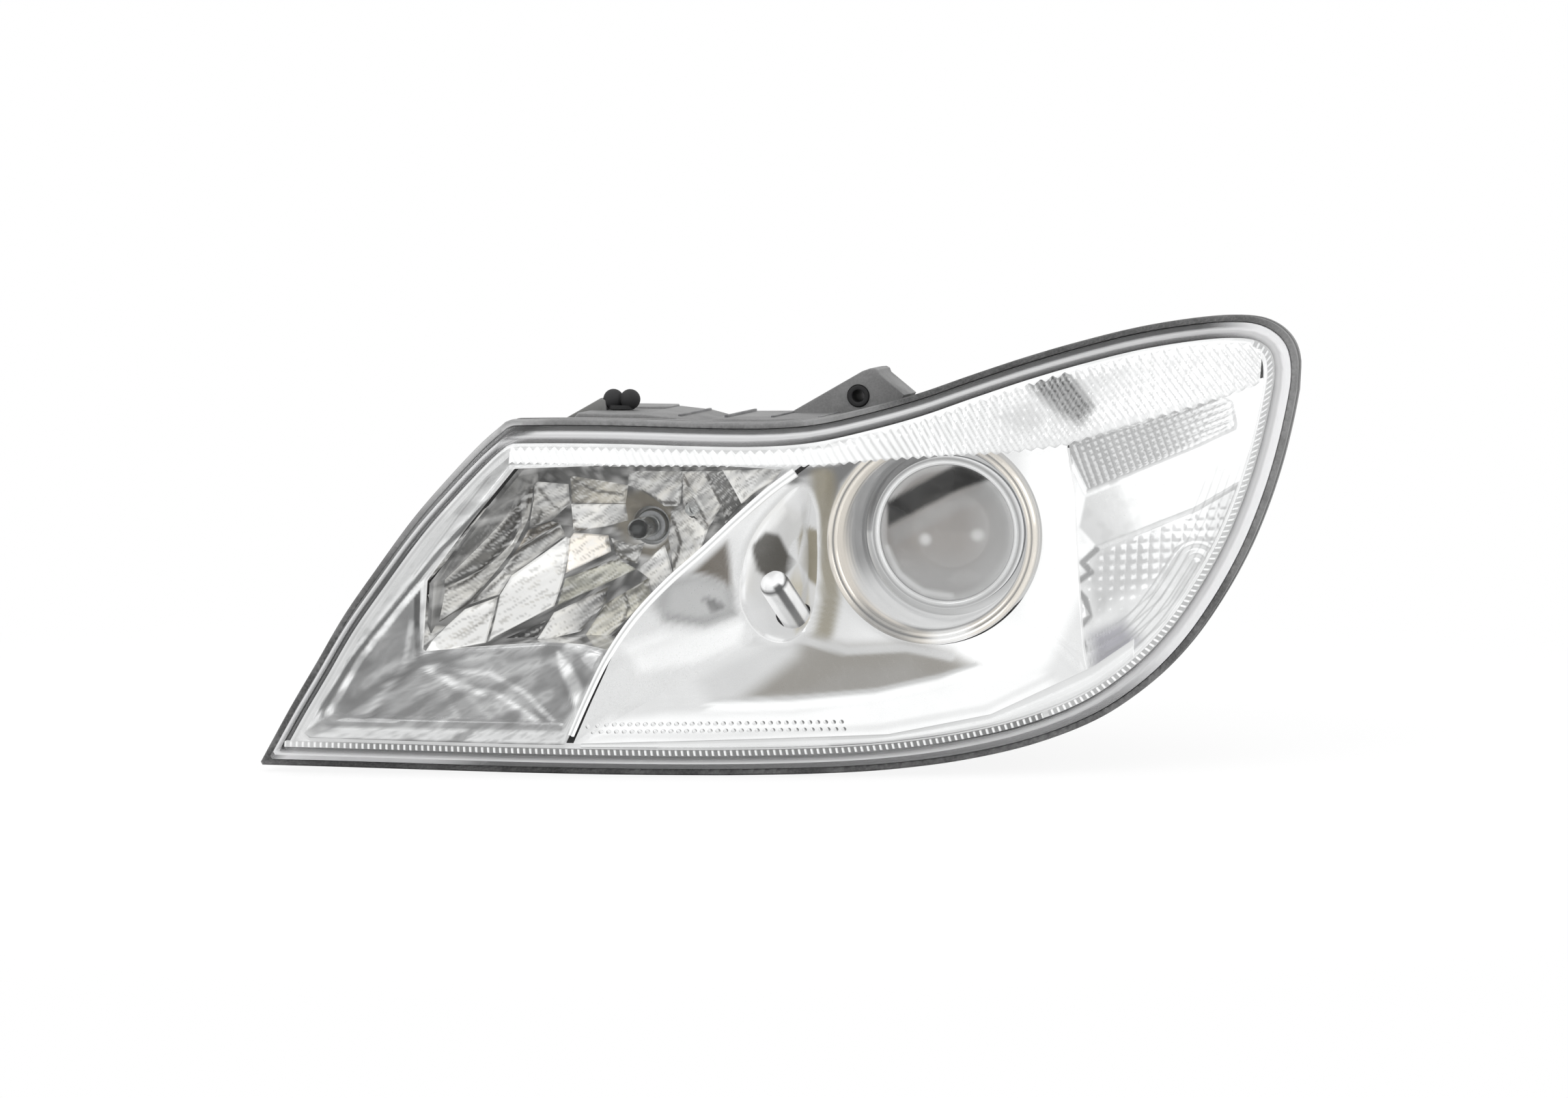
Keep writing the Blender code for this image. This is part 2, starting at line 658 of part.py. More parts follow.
# lower edge of the upper strip and upper edge of the lower one, (x, z) by rising x
UPPER_STRIP_LOW = [(-210, 37), (-149, 36), (-52, 36), (-20, 39), (12, 41), (37, 42), (62, 45),
                   (89, 54), (117, 62), (135, 68), (155, 76)]
LOWER_STRIP_HIGH = [(-170, -97), (-108, -95), (-13, -92), (34, -83), (80, -61), (104, -44)]
# section of the double rail: (across, depth)
RAIL_SECTION = [(-3.2, 2.4), (-2.6, 0.4), (-0.9, 0.2), (0, 1.2), (0.9, 0.0), (2.6, 0.2),
                (3.2, 2.4), (3.2, 4.4), (-3.2, 4.4)]


def edge_run(start, end):
    """The panels' outer edge, clockwise from its point nearest start to the one nearest end."""
    line = beside(round_line, -PANEL_GAP)
    first, last = [min(range(len(line)), key=lambda i: (line[i] - Vector(place)).length)
                   for place in (start, end)]
    return line[first:last + 1]


def edge_z(x, upper):
    """Height of the strips' outer edge at x, on its upper or lower side."""
    line = beside(round_line, -STRIP_GAP)
    found = []
    for p, q in zip(line, line[1:]):
        if (p.x - x) * (q.x - x) <= 0 and abs(q.x - p.x) > 1e-9:
            found.append(p.y + (q.y - p.y) * (x - p.x) / (q.x - p.x))
    return max(found) if upper else min(found)


def height_at(points, x):
    """Height at x of a run of points given by rising x."""
    for (x0, z0), (x1, z1) in zip(points, points[1:]):
        if x <= x1:
            return z0 + (z1 - z0) * (x - x0) / (x1 - x0)
    return points[-1][1]


def build_strip(name, first, last, count, low, high):
    """A strip behind the cover, between two heights given over x."""
    rows = []
    for k in range(count):
        x = first + (last - first) * k / (count - 1)
        bottom, top = low(x), high(x)
        section = [Vector((x, z)) for z in (bottom, (bottom + top) / 2, top)]
        rows.append(behind_cover(section, STRIP_DEPTH)
                    + behind_cover(section[::-1], STRIP_DEPTH + SHEET))
    loft(name, rows, "bright_chrome")


def build_strips():
    build_strip("upper_trim", -200, 149, 28,
                low=lambda x: height_at(UPPER_STRIP_LOW, x), high=lambda x: edge_z(x, True))
    build_strip("lower_trim", -157, 98, 20,
                low=lambda x: edge_z(x, False), high=lambda x: height_at(LOWER_STRIP_HIGH, x))


def build_divider():
    """The double rail between the chambers."""
    line = spread([p for p in divider_line if -94 < p.y < 34], 12, 0.5)
    rows = []
    for i, p in enumerate(line):
        left = left_at(line, i)
        base = cover_y(p.x, p.y) + 5.6
        rows.append([Vector((p.x + left.x * across, base + depth, p.y + left.y * across))
                     for across, depth in RAIL_SECTION])
    loft("divider_trim", rows, "bright_chrome")


# ---------------------------------------------------------------- projector chamber
DIVIDER_GAP = 4.2
MOUTH_R = 52.6           # opening of the bezel around the projector
MOUTH_TILT = Vector((0.12, 0.10))        # rise in Y over x and z, following the cover's sweep
outboard_of_divider = beside(divider_line, DIVIDER_GAP)
inboard_of_divider = beside(divider_line, -DIVIDER_GAP)

# side of the bezel next to the wing panel, (x, z) from the top
BEZEL_SIDE = [(60, 76), (60.5, 44), (66, 22), (68, 0), (70, -20), (73, -50), (76, -72)]
CHAMBER = (edge_run((-44, 50), (59, 86))[::4] + [Vector(p) for p in BEZEL_SIDE]
           + edge_run((74, -83), (-156, -106))[::5]
           + [p for p in reversed(outboard_of_divider) if p.y > -98][::6])

# opening of the turn lamp, (x, z) anticlockwise
TURN_MOUTH = [Vector(p) for p in (
    (-62, 26), (-75, 14), (-85, -1), (-90, -18), (-90, -35), (-82, -48), (-69, -51),
    (-60, -42), (-57, -24), (-57, 0), (-58, 16))]
TURN_MIDDLE = Vector((-71.0, -14.0))
BOWL_FLOOR_Y = -20
BOWL_RIM = 2.4           # how far the bowl reaches past the opening

# section of the shroud: (radius, depth, share of the mouth's tilt)
SHROUD_SECTION = [(51.8, -33, 1), (51.2, -36, 1), (48.5, -37.5, 1), (46.2, -35.5, 1),
                  (45.2, -31.5, 1), (44.6, -30, 1), (41.6, 2, 0), (43.4, 2, 0),
                  (46.8, -27.5, 1), (50.6, -25.6, 1)]
SHROUD_SIDES = 28


def tilt_y(x, z):
    return MOUTH_TILT.x * x + MOUTH_TILT.y * z


def chamber_y(x, z):
    """Depth of the bezel's front, from the shroud's mouth out to the cover's edge."""
    p = Vector((x, z))
    far = reach(CHAMBER, LOW_BEAM, math.atan2(z, x))
    share = max(0.0, (p.length - MOUTH_R) / max(far - MOUTH_R, 1e-6))
    direction = p.normalized()
    edge = direction * far
    # further back where it passes behind the upper and lower strips
    behind_strip = edge.y > height_at(UPPER_STRIP_LOW, edge.x) - 5 or edge.y < -60
    mouth = -30.5 + tilt_y(direction.x * MOUTH_R, direction.y * MOUTH_R)
    rim = cover_y(edge.x, edge.y) + (11.5 if behind_strip else 8.0)
    return mouth + (rim - mouth) * share ** 1.25


def build_bezel():
    rays = star(CHAMBER, LOW_BEAM, 44)
    rows = [[at_angle(LOW_BEAM, a, MOUTH_R + (far - MOUTH_R) * share) for a, far in rays]
            for share in (0.0, 0.3, 0.65, 0.99)]
    bezel = sheet("bezel", [on_surface(row, chamber_y) for row in rows], "bright_chrome",
                  closed=True)
    cut(bezel, plate("turn_opening", TURN_MOUTH, -110, 10))


def bowl_row(rays, scale):
    """A ring of the turn bowl; scale 1 is its rim."""
    row = []
    for angle, far in rays:
        p = at_angle(TURN_MIDDLE, angle, far * scale + (BOWL_RIM if scale >= 1 else 0.0))
        y = chamber_y(p.x, p.y) + 5.4
        if scale < 1:
            y += (BOWL_FLOOR_Y - y) * (1 - scale * scale) ** 0.7
        row.append(Vector((p.x, y, p.y)))
    return row


def build_turn_reflector():
    rays = star(TURN_MOUTH, TURN_MIDDLE, 24)
    bowl = sheet("turn_reflector", [bowl_row(rays, s) for s in (0.35, 0.65, 0.88, 1.0)],
                 "bright_chrome", thickness=2.0)
    cut(bowl, rod_between("turn_neck_hole", 8.6, TURN_BASE + TURN_AXIS * 26,
                          TURN_BASE - TURN_AXIS * 16, 16))


def build_shroud():
    """Double ring and cone around the projector."""
    rows = []
    for radius, depth, tilt_share in SHROUD_SECTION:
        row = []
        for i in range(SHROUD_SIDES):
            angle = -2 * math.pi * i / SHROUD_SIDES
            x, z = radius * math.cos(angle), radius * math.sin(angle)
            row.append(Vector((x, depth + tilt_share * tilt_y(x, z), z)))
        rows.append(row)
    loft("projector_shroud", rows, "smoked_chrome", closed=True)


# ---------------------------------------------------------------- wing panel
WING_MIDDLE = Vector((108.0, 12.0))
# side of the panel next to the bezel, (x, z) from the bottom
WING_SIDE = [(78, -72), (75, -50), (72, -20), (70, 0), (68, 23)]
WING = ([Vector((x, height_at(UPPER_STRIP_LOW, x) - 0.8))
         for x in (63, 76, 89, 103, 117, 135, 149)]
        + edge_run((158, 74), (92, -72))[::4] + [Vector(p) for p in WING_SIDE])


def build_side_reflector():
    rays = star(WING, WING_MIDDLE, 34)
    rows = [[at_angle(WING_MIDDLE, a, far * s) for a, far in rays] for s in (0.35, 0.7, 0.99)]
    sheet("side_reflector", [behind_cover(row, 9) for row in rows], "smoked_chrome")


# ---------------------------------------------------------------- high-beam chamber
SURROUND_MIDDLE = Vector((-165.0, -8.0))
# window of the chamber, (x, z) clockwise from the top inboard corner
WINDOW = [Vector(p) for p in (
    (-200, 34), (-151, 36), (-102, 36), (-70, 34), (-80, 23), (-95, 8), (-111, -8),
    (-126, -24), (-140, -40), (-147, -53), (-161, -50), (-178, -49), (-211, -51.5),
    (-238, -54), (-238, -20), (-219, 8))]
SURROUND = ([p for p in beside(inboard_line, -8.0) if p.y > -94][::6]
            + edge_run((-202, 50), (-60, 50))[::4]
            + [p for p in inboard_of_divider if p.y > -98][::6]
            + edge_run((-172, -106), (-292, -103.5))[::4])

# edge of the dish, (x, z) clockwise from the top inboard corner
DISH = [Vector(p) for p in (
    (-198, 33.5), (-150, 34.5), (-100, 34.5), (-72, 33), (-78, 20), (-91, 5), (-107, -11),
    (-122, -27), (-136, -43), (-143, -57), (-161, -54), (-178, -53), (-211, -55),
    (-238, -57), (-238, -22), (-217, 8))]
DISH_MIDDLE = Vector(HIGH_BEAM)
DISH_RAYS = star(DISH, DISH_MIDDLE, 32)
DISH_APEX_Y, DISH_FOCUS = 8.0, 22.0
DISH_HOLE_R = 10         # hole for the bulb
DISH_LIP_WIDTH = 2.2


def surround_row(rays, share):
    """A ring of the surround: share 0 at the window, 1 at the outer edge."""
    row = []
    for angle, far in rays:
        near = reach(WINDOW, SURROUND_MIDDLE, angle)
        p = at_angle(SURROUND_MIDDLE, angle, near + (far * 0.995 - near) * share)
        depth = 15.0 + (8.0 - 15.0) * share
        if p.y > 33:     # passes behind the upper strip
            depth = max(depth, 11.0)
        row.append(Vector((p.x, cover_y(p.x, p.y) + depth, p.y)))
    return row


def build_inner_bezel():
    rays = star(SURROUND, SURROUND_MIDDLE, 44)
    sheet("inner_bezel", [surround_row(rays, share) for share in (0.0, 0.5, 1.0)],
          "bright_chrome", closed=True)


def dish_y(p):
    """The paraboloid, kept clear of the cover."""
    bowl = DISH_APEX_Y - (p - DISH_MIDDLE).length_squared / (4 * DISH_FOCUS)
    return max(bowl, cover_y(p.x, p.y) + 28.5)


def dish_row(share, back=0.0, out=0.0, lip=False):
    """A ring of the dish: share 0 at the bulb's hole, 1 at the edge; out moves it outwards."""
    row = []
    for angle, far in DISH_RAYS:
        radius = DISH_HOLE_R + (far - DISH_HOLE_R) * share
        p = at_angle(DISH_MIDDLE, angle, radius)
        y = cover_y(p.x, p.y) + 27 if lip else dish_y(p)
        q = at_angle(DISH_MIDDLE, angle, radius + out)
        row.append(Vector((q.x, y + back, q.y)))
    return row


def build_high_reflector():
    shares = (0.0, 0.16, 0.38, 0.68)
    lip = [dish_row(1.0, lip=True), dish_row(1.0, out=DISH_LIP_WIDTH, lip=True),
           dish_row(1.0, back=WALL, out=DISH_LIP_WIDTH)]
    dish = loft("high_beam_reflector",
                [dish_row(s) for s in (*shares, 0.985)] + lip
                + [dish_row(s, back=WALL) for s in reversed(shares)],
                "mirror_coating", closed=True)
    for n, place in enumerate(PILLARS):
        join(dish, rod(f"dish_pillar_{n}", 4.6, -2.2, 31.6, place, 10))
        cut(dish, rod(f"dish_pillar_bore_{n}", 2.2, 18, 40, place, 8))
    cut(dish, rod("parking_hole", 6.6, -20, 20, PARKING, 16))
    for n, place in enumerate(PILLARS):
        screw(f"high_beam_screw_{n + 1}", place, tip=22, seat=39.9, top=42.6)


def build_high_bulb():
    turned("high_beam_bulb", [(0, -22), (3.4, -21), (5.2, -18.6), (5.6, -16), (5.6, 4),
                              (4.6, 6), (0, 6)],
           "lamp_glass", SMALL, at_y(HIGH_BEAM))
    turned("high_beam_bulb_base", [(0, 6.4), (7.6, 6.4), (8.2, 8), (8.2, 10.9), (13, 10.9),
                                   (13, 12.4), (8.4, 12.4), (8.4, 16.4), (0, 16.4)],
           "die_cast", at=at_y(HIGH_BEAM))
    block("high_beam_plug", span(HIGH_BEAM[0], 9), (16.8, 36), (-9, 9), "black_plastic",
          bevel=1.0)


def build_parking_lamp():
    turned("parking_bulb", [(0, -14), (2, -13.5), (3.2, -12), (3.6, -10), (3.6, -3), (2.8, -2),
                            (0, -2)],
           "lamp_glass", 16, at_y(PARKING))
    turned("parking_bulb_holder", [(0, -1.6), (5.6, -1.6), (5.9, 0), (5.9, 6.5), (9, 6.5),
                                   (9, 8.5), (6.5, 8.5), (6.5, 20), (0, 20)],
           "black_plastic", SMALL, at_y(PARKING))


# ---------------------------------------------------------------- carrier, swings when aimed
CARRIER_FRONT, CARRIER_BACK = 32, 39.5
# outboard and lower side of the frame, (x, z) clockwise from the top of the high-beam end
CARRIER_SIDE = [(-150, 35.5), (-130, 38), (-101, 42), (-78, 42), (-40, 40), (-40, -34),
                (-62, -40), (-76, -72), (-104, -72), (-106, -36), (-130, -36), (-150, -35.5)]
# arm to the horizontal-aim ball, (x, z) anticlockwise
CARRIER_ARM = [(30, 16), (84, 19), (86, 22), (86, 39), (83, 42), (30, 44)]


def build_carrier():
    end = [(HIGH_BEAM[0] + 35.5 * math.cos(math.radians(a)),
            HIGH_BEAM[1] + 35.5 * math.sin(math.radians(a))) for a in range(262, 97, -15)]
    carrier = plate("carrier_frame", end + CARRIER_SIDE, CARRIER_FRONT, CARRIER_BACK,
                    "black_plastic")
    # the hoop and arm are a hair thinner, so that no faces coincide
    join(carrier, rod("carrier_hoop", 54, CARRIER_FRONT + 0.01, CARRIER_BACK - 0.01, sides=32))
    join(carrier, plate("carrier_arm", CARRIER_ARM, CARRIER_FRONT + 0.02, CARRIER_BACK - 0.02))
    join(carrier, block("gimbal_saddle", span(AIM_X, 12), (38, 50), span(AIM_Z, 10)))
    join(carrier, block("carrier_rib", (-72, -64), (39, 46), (-36, 38)))
    cut(carrier, rod("carrier_bore", 38.9, 20, 60, sides=32))
    cut(carrier, rod("carrier_high_bore", 26, 20, 60, HIGH_BEAM, 24))
    cut(carrier, rod_between("trunnion_bore", 6.9, (AIM_X - 7, AIM_Y, AIM_Z),
                             (AIM_X + 7, AIM_Y, AIM_Z), 20))
    cut(carrier, block("gimbal_slot", span(AIM_X, 7), (AIM_Y, 60), span(AIM_Z, 5.4)))
    cut_screw_holes(carrier, "carrier_screw_hole", PROJECTOR_SCREWS, 2.3, 30, 42)
    cut_screw_holes(carrier, "carrier_pillar_hole", PILLARS, 2.3, 30, 42)


def build_ball_sockets():
    for prefix, place in (("level", LEVEL_AT), ("trim", TRIM_AT)):
        socket = block(f"{prefix}_socket", span(place[0], 8.5), (39.9, 50),
                       span(place[1], 8.5), "white_nylon")
        cut(socket, ball(f"{prefix}_cavity", 4.6, at_y(place, AIM_Y)))
        cut(socket, rod(f"{prefix}_cavity_mouth", 3.9, AIM_Y, 54, place, back_radius=4.5))


def build_trunnion():
    """The fixed ball's cup, in a trunnion along X."""
    half = 6.6
    trunnion = rod_between("pivot_socket", 6.4, (AIM_X - half, AIM_Y, AIM_Z),
                           (AIM_X + half, AIM_Y, AIM_Z), 20, "white_nylon")
    cut(trunnion, ball("pivot_cavity", 4.5, at_y(FIXED_AT, AIM_Y)))
    cut(trunnion, rod("pivot_cavity_mouth", 3.7, AIM_Y, 56, FIXED_AT, back_radius=4.6))


# ---------------------------------------------------------------- low-beam projector
# window above the cutoff edge, (x, z) anticlockwise
SHIELD_WINDOW = [(-36, 3), (-5, 3), (0, 0), (36, 0), (34, 14), (28, 24), (18, 31), (0, 36),
                 (-18, 31), (-28, 24), (-34, 14)]
MIRROR_OUTER = [(FLANGE_R, 48.4), (FLANGE_R, 51), (43, 51), (40.6, 74), (37.3, 86), (29, 103),
                (22.5, 109), (22.5, 113.6), (12.6, 113.6), (12.6, 111.6)]
MIRROR_INNER = [(18.5, 109.6), (25.5, 103), (34.1, 86), (38.3, 68), (38.7, 48.4)]


def build_projector():
    turned("projector_lens", [(0, -13), (8, -12.4), (16, -10.4), (24, -6.9), (30, -3.1),
                              (33, 0), (35, 0), (35, 3), (33, 3), (33, 8), (0, 8)],
           "lamp_glass", LARGE)
    turned("lens_retaining_ring", [(34.2, -0.4), (34.2, -1.6), (35.2, -2.4), (37, -2.4),
                                   (38, -1.4), (38, 5), (35.5, 5), (35.5, -0.4)],
           "bright_chrome", LARGE)
    holder = turned("lens_holder", [(33.5, 3.4), (35.1, 3.4), (35.1, 9), (37.8, 9), (37.8, 40),
                                    (FLANGE_R, 40), (FLANGE_R, 46), (37, 46), (37, 12),
                                    (33.5, 9.5)],
                    "die_cast", LARGE)
    shield = turned("cutoff_shield", [(0, 46.4), (FLANGE_R, 46.4), (FLANGE_R, 48), (0, 48)],
                    "zinc_steel", LARGE)
    cut(shield, plate("shield_window", SHIELD_WINDOW, 40, 54))
    mirror = turned("projector_reflector", MIRROR_OUTER + MIRROR_INNER, "mirror_coating",
                    LARGE)
    cut_screw_holes(holder, "holder_screw_hole", PROJECTOR_SCREWS, 2.3, 38, 48)
    cut_screw_holes(shield, "shield_screw_hole", PROJECTOR_SCREWS, 2.3, 44, 50)
    cut_screw_holes(mirror, "mirror_screw_hole", PROJECTOR_SCREWS, 2.3, 46, 53)
    for n, place in enumerate(PROJECTOR_SCREWS):
        screw(f"projector_screw_{n + 1}", place, tip=34, seat=51.4, top=54.2, radius=1.9)


def build_low_bulb():
    turned("low_beam_bulb", [(0, 84), (3, 85), (5, 87.6), (5.5, 90), (5.5, 110), (4.6, 112),
                             (0, 112)],
           "lamp_glass", SMALL)
    turned("low_beam_bulb_base", [(0, 112.4), (7.6, 112.4), (7.6, 114), (13, 114), (13, 115.4),
                                  (7.8, 115.4), (7.8, 119.6), (0, 119.6)],
           "die_cast")
    turned("bulb_retainer", [(8.6, 115.8), (21, 115.8), (21, 118.2), (8.6, 118.2)],
           "zinc_steel")
    block("low_beam_plug", (-9, 9), (120, 138), (-9, 9), "black_plastic", bevel=1.0)


# ---------------------------------------------------------------- turn lamp
def build_turn_lamp():
    turned("turn_bulb", [(0, 44), (2.8, 43.2), (4.8, 41), (5.9, 37), (5.9, 8), (4.8, 3),
                         (4.6, 1), (0, 1)],
           "silver_cap", at=TURN_BASE, axis=TURN_AXIS)
    holder = turned("turn_bulb_holder", [(0, 0.5), (7.6, 0.5), (7.6, -5), (6.6, -6),
                                         (6.6, -58), (9.2, -60), (9.2, -76.4), (13.4, -76.4),
                                         (13.4, -78.8), (8, -78.8), (8, -86.5), (0, -86.5)],
                    "black_plastic", at=TURN_BASE, axis=TURN_AXIS)
    grip = block("turn_grip", (-12, 12), (-2, 2), (-4.2, 3.6))
    grip.rotation_mode = "QUATERNION"
    grip.rotation_quaternion = Vector((0, 0, 1)).rotation_difference(TURN_AXIS)
    grip.location = (TURN_BASE - TURN_AXIS * 81.6) * MM
    join(holder, grip)


# ---------------------------------------------------------------- aiming gear
def build_ball_stud():
    stud = ball("pivot_ball_stud", BALL_R, at_y(FIXED_AT, AIM_Y), "zinc_steel")
    join(stud, rod("stud_shank", 2.4, AIM_Y, 56, FIXED_AT, 16))
    join(stud, rod("stud_root", 3.0, 55.5, 61.6, FIXED_AT, 16))


def build_motor():
    motor = block("leveling_motor", span(AIM_X, 15), (63, 95), span(LEVEL_Z, 20),
                  "black_plastic")
    join(motor, block("motor_ears", span(AIM_X, 23), (60.4, 64.4), span(LEVEL_Z, 24)))
    join(motor, rod("motor_nose", 8.6, 54.6, 62, LEVEL_AT, 24))
    join(motor, block("motor_socket", span(AIM_X, 9), (94, 99), (-56, -44)))
    cut(motor, rod("spindle_bore", 3.3, 40, 76, LEVEL_AT, 16))
    cut(motor, rod("knob_bore", 3.5, 84, 99, KNOB_AT, 16))
    cut_screw_holes(motor, "ear_hole", MOTOR_SCREWS, 2.2, 58, 67)
    for n, place in enumerate(MOTOR_SCREWS):
        screw(f"motor_screw_{n + 1}", place, tip=53, seat=64.8, top=67.6, head_radius=3.4)
    spindle = ball("motor_spindle", BALL_R, at_y(LEVEL_AT, AIM_Y), "white_nylon")
    join(spindle, rod("spindle_shaft", 2.6, AIM_Y, 70, LEVEL_AT, 16))


def build_vertical_adjuster():
    knob = turned("vertical_adjuster_knob", [(0, 87), (3, 87), (3, 95.8), (8.5, 95.8),
                                             (9, 96.4), (9, 104.4), (8, 106), (0, 106)],
                  "white_nylon", SMALL, at_y(KNOB_AT))
    cut(knob, block("knob_slot", span(KNOB_AT[0], 6), (103.4, 108), span(KNOB_AT[1], 1)))


def build_horizontal_adjuster():
    slider = ball("horizontal_adjuster_slider", BALL_R, at_y(TRIM_AT, AIM_Y), "white_nylon")
    join(slider, rod("slider_neck", 2.4, AIM_Y, 53, TRIM_AT, 16))
    join(slider, rod("slider_sleeve", 6.0, 52, 69, TRIM_AT, 20))
    cut(slider, rod("slider_bore", 3.4, 54, 80, TRIM_AT, 16))
    turned("horizontal_adjuster_bush", [(3.3, 81), (4.5, 81), (4.5, 88.4), (8, 88.4), (8, 90),
                                        (3.3, 90)],
           "white_nylon", SMALL, at_y(TRIM_AT))
    adjuster = turned("horizontal_adjuster_screw", [(0, 60), (2.4, 60), (3, 61), (3, 90.4),
                                                    (8, 90.4), (8, 100), (7, 101.4),
                                                    (0, 101.4)],
                      "zinc_steel", SMALL, at_y(TRIM_AT))
    cut(adjuster, rod("hex_recess", 3.0, 95, 104, TRIM_AT, 6))


# ---------------------------------------------------------------- covers on the back
def build_caps():
    cap = turned("low_beam_cap", [(0, 153), (30, 152.4), (50, 150.6), (57, 148.5),
                                  (59.5, 145.5), (59.5, 129), (57, 129), (57, 146), (46, 147),
                                  (30, 149.4), (0, 150)],
                 "black_plastic", LARGE)
    join(cap, block("cap_grip", (-27, 27), (151, 158), (-5, 5)))
    join_lugs(cap, "cap_lug", 56.1, 1.7, (131.6, 135.2))
    turned("low_beam_cap_seal", [(49, 142.4), (53, 142.4), (53, 145.4), (49, 145.4)],
           "rubber", LARGE)
    turned("high_beam_cap", [(0, 84), (22, 83), (32, 80.4), (37, 77.4), (40.6, 73),
                             (40.6, 64.6), (37.5, 64.6), (37.5, 72.4), (35, 75.2), (31, 77.8),
                             (21.5, 80.4), (0, 81.4)],
           "rubber", LARGE, at_y(HIGH_BEAM))


# ---------------------------------------------------------------- small parts on the housing
HARNESS = [(-8, 44.4, -73), (-6.5, 44.4, -64), (-5, 47, -58.6), (-5, 52, -56.6),
           (-5, 104, -56.6), (-4, 116, -50), (-2, 126, -32), (-0.8, 130, -20),
           (-0.4, 131.2, -14.4)]         # (x, y, z) from the connector to the low-beam plug


def build_vent_cap():
    turned("vent_cap", [(0, 80), (3.8, 80), (3.8, 91.4), (8.5, 91.4), (8.5, 95.4), (7.4, 97),
                        (0, 97)],
           "rubber", SMALL, at_y(VENT_AT))


def build_connector():
    connector = block("main_connector", span(CONNECTOR_X, 16.4), (47, 76),
                      span(CONNECTOR_Z, 8.4), "black_plastic")
    join(connector, block("connector_flange", span(CONNECTOR_X, 20), (63.5, 65.5),
                          (-85.5, -63)))
    cut(connector, block("connector_mouth", span(CONNECTOR_X, 14), (66, 80),
                         span(CONNECTOR_Z, 6.2)))


def build_harness():
    curve = new_curve("harness", "3D", HARNESS)
    curve.bevel_depth = 1.8 * MM
    curve.bevel_resolution = 2
    curve.use_fill_caps = True
    curve.materials.append(MATERIALS["rubber"])
    headlight.objects.link(bpy.data.objects.new("harness", curve))


def grommet(name, length, at, axis=(0, 1, 0), face=0):
    """A flanged sleeve reaching back along its axis from the mount's face."""
    bore, sleeve, flange = 3.2, 5.4, 8.2
    turned(name, [(bore, face - length), (sleeve, face - length), (sleeve, face - 2),
                  (flange, face - 2), (flange, face - 0.2), (bore, face - 0.2)],
           "rubber", SMALL, at, axis)


def build_grommets():
    grommet("upper_outer_grommet", 29, at_y(UPPER_HOLE_AT), face=56)
    grommet("lower_grommet", 8.4, (FOOT_HOLE_X, FOOT.y, FOOT.z), axis=(0, 0, -1))
    grommet("side_grommet", 11, (SIDE_FACE_X, SIDE_HOLE_Y, SIDE_HOLE_Z), axis=(1, 0, 0))


def build_buffer():
    """Rubber stop with two lobes, on top of the housing."""
    buffer = rod_between("upper_stop_buffer", 3.5, (BUFFER_X, BUFFER_Y, 51),
                         (BUFFER_X, BUFFER_Y, 60), 10, "rubber")
    join(buffer, rod_between("buffer_foot", 6.5, (BUFFER_X, BUFFER_Y, 59),
                             (BUFFER_X, BUFFER_Y, 61), 12))
    for n, x in enumerate(span(BUFFER_X, 4.4)):
        join(buffer, ball(f"buffer_lobe_{n}", 5.2, (x, BUFFER_Y, 64)))


# ---------------------------------------------------------------- frame and joints
# (joint, its place, the pieces that move with it)
JOINTS = [
    ("aim_yaw", at_y(FIXED_AT, AIM_Y), ["pivot_socket"]),
    ("aim_pitch", at_y(FIXED_AT, AIM_Y), [
        "carrier_frame", "level_socket", "trim_socket", "projector_lens",
        "lens_retaining_ring", "lens_holder", "cutoff_shield", "projector_reflector",
        "projector_screw_1", "projector_screw_2", "projector_screw_3", "low_beam_bulb",
        "low_beam_bulb_base", "bulb_retainer", "low_beam_plug", "high_beam_reflector",
        "high_beam_bulb", "high_beam_bulb_base", "high_beam_plug", "high_beam_screw_1",
        "high_beam_screw_2", "high_beam_screw_3", "parking_bulb", "parking_bulb_holder"]),
    ("spindle_slide", at_y(LEVEL_AT, AIM_Y), ["motor_spindle"]),
    ("vertical_adjuster_turn", at_y(KNOB_AT, 96), ["vertical_adjuster_knob"]),
    ("horizontal_slide", at_y(TRIM_AT, AIM_Y), ["horizontal_adjuster_slider"]),
    ("horizontal_adjuster_turn", at_y(TRIM_AT, 90), ["horizontal_adjuster_screw"]),
    ("low_beam_cap_twist", (0, 142, 0), ["low_beam_cap", "low_beam_cap_seal"]),
    ("high_beam_cap_pull", at_y(HIGH_BEAM, 72), ["high_beam_cap"]),
    ("turn_lamp_twist", TURN_BASE, ["turn_bulb", "turn_bulb_holder"]),
]


def empty(name, at, parent=None):
    obj = bpy.data.objects.new(name, None)
    obj.empty_display_size = 0.02
    obj.location = Vector(at) * MM
    obj.parent = parent
    headlight.objects.link(obj)
    return obj


def hang(pivot, names):
    """Hangs the moving pieces, and what cuts or joins them, on the joint's empty."""
    for name in names:
        obj = bpy.data.objects[name]
        helpers = [m.object for m in obj.modifiers if m.type == "BOOLEAN"]
        for piece in [obj] + helpers:
            piece.parent = pivot
            piece.location -= pivot.location


def build_frame():
    lamp_frame = empty("lamp_frame", -FOOT)
    for name, place, pieces in JOINTS:
        hang(empty(name, place, lamp_frame), pieces)
    for obj in list(headlight.objects) + list(cutters.objects):
        if obj.parent is None and obj is not lamp_frame:
            obj.parent = lamp_frame


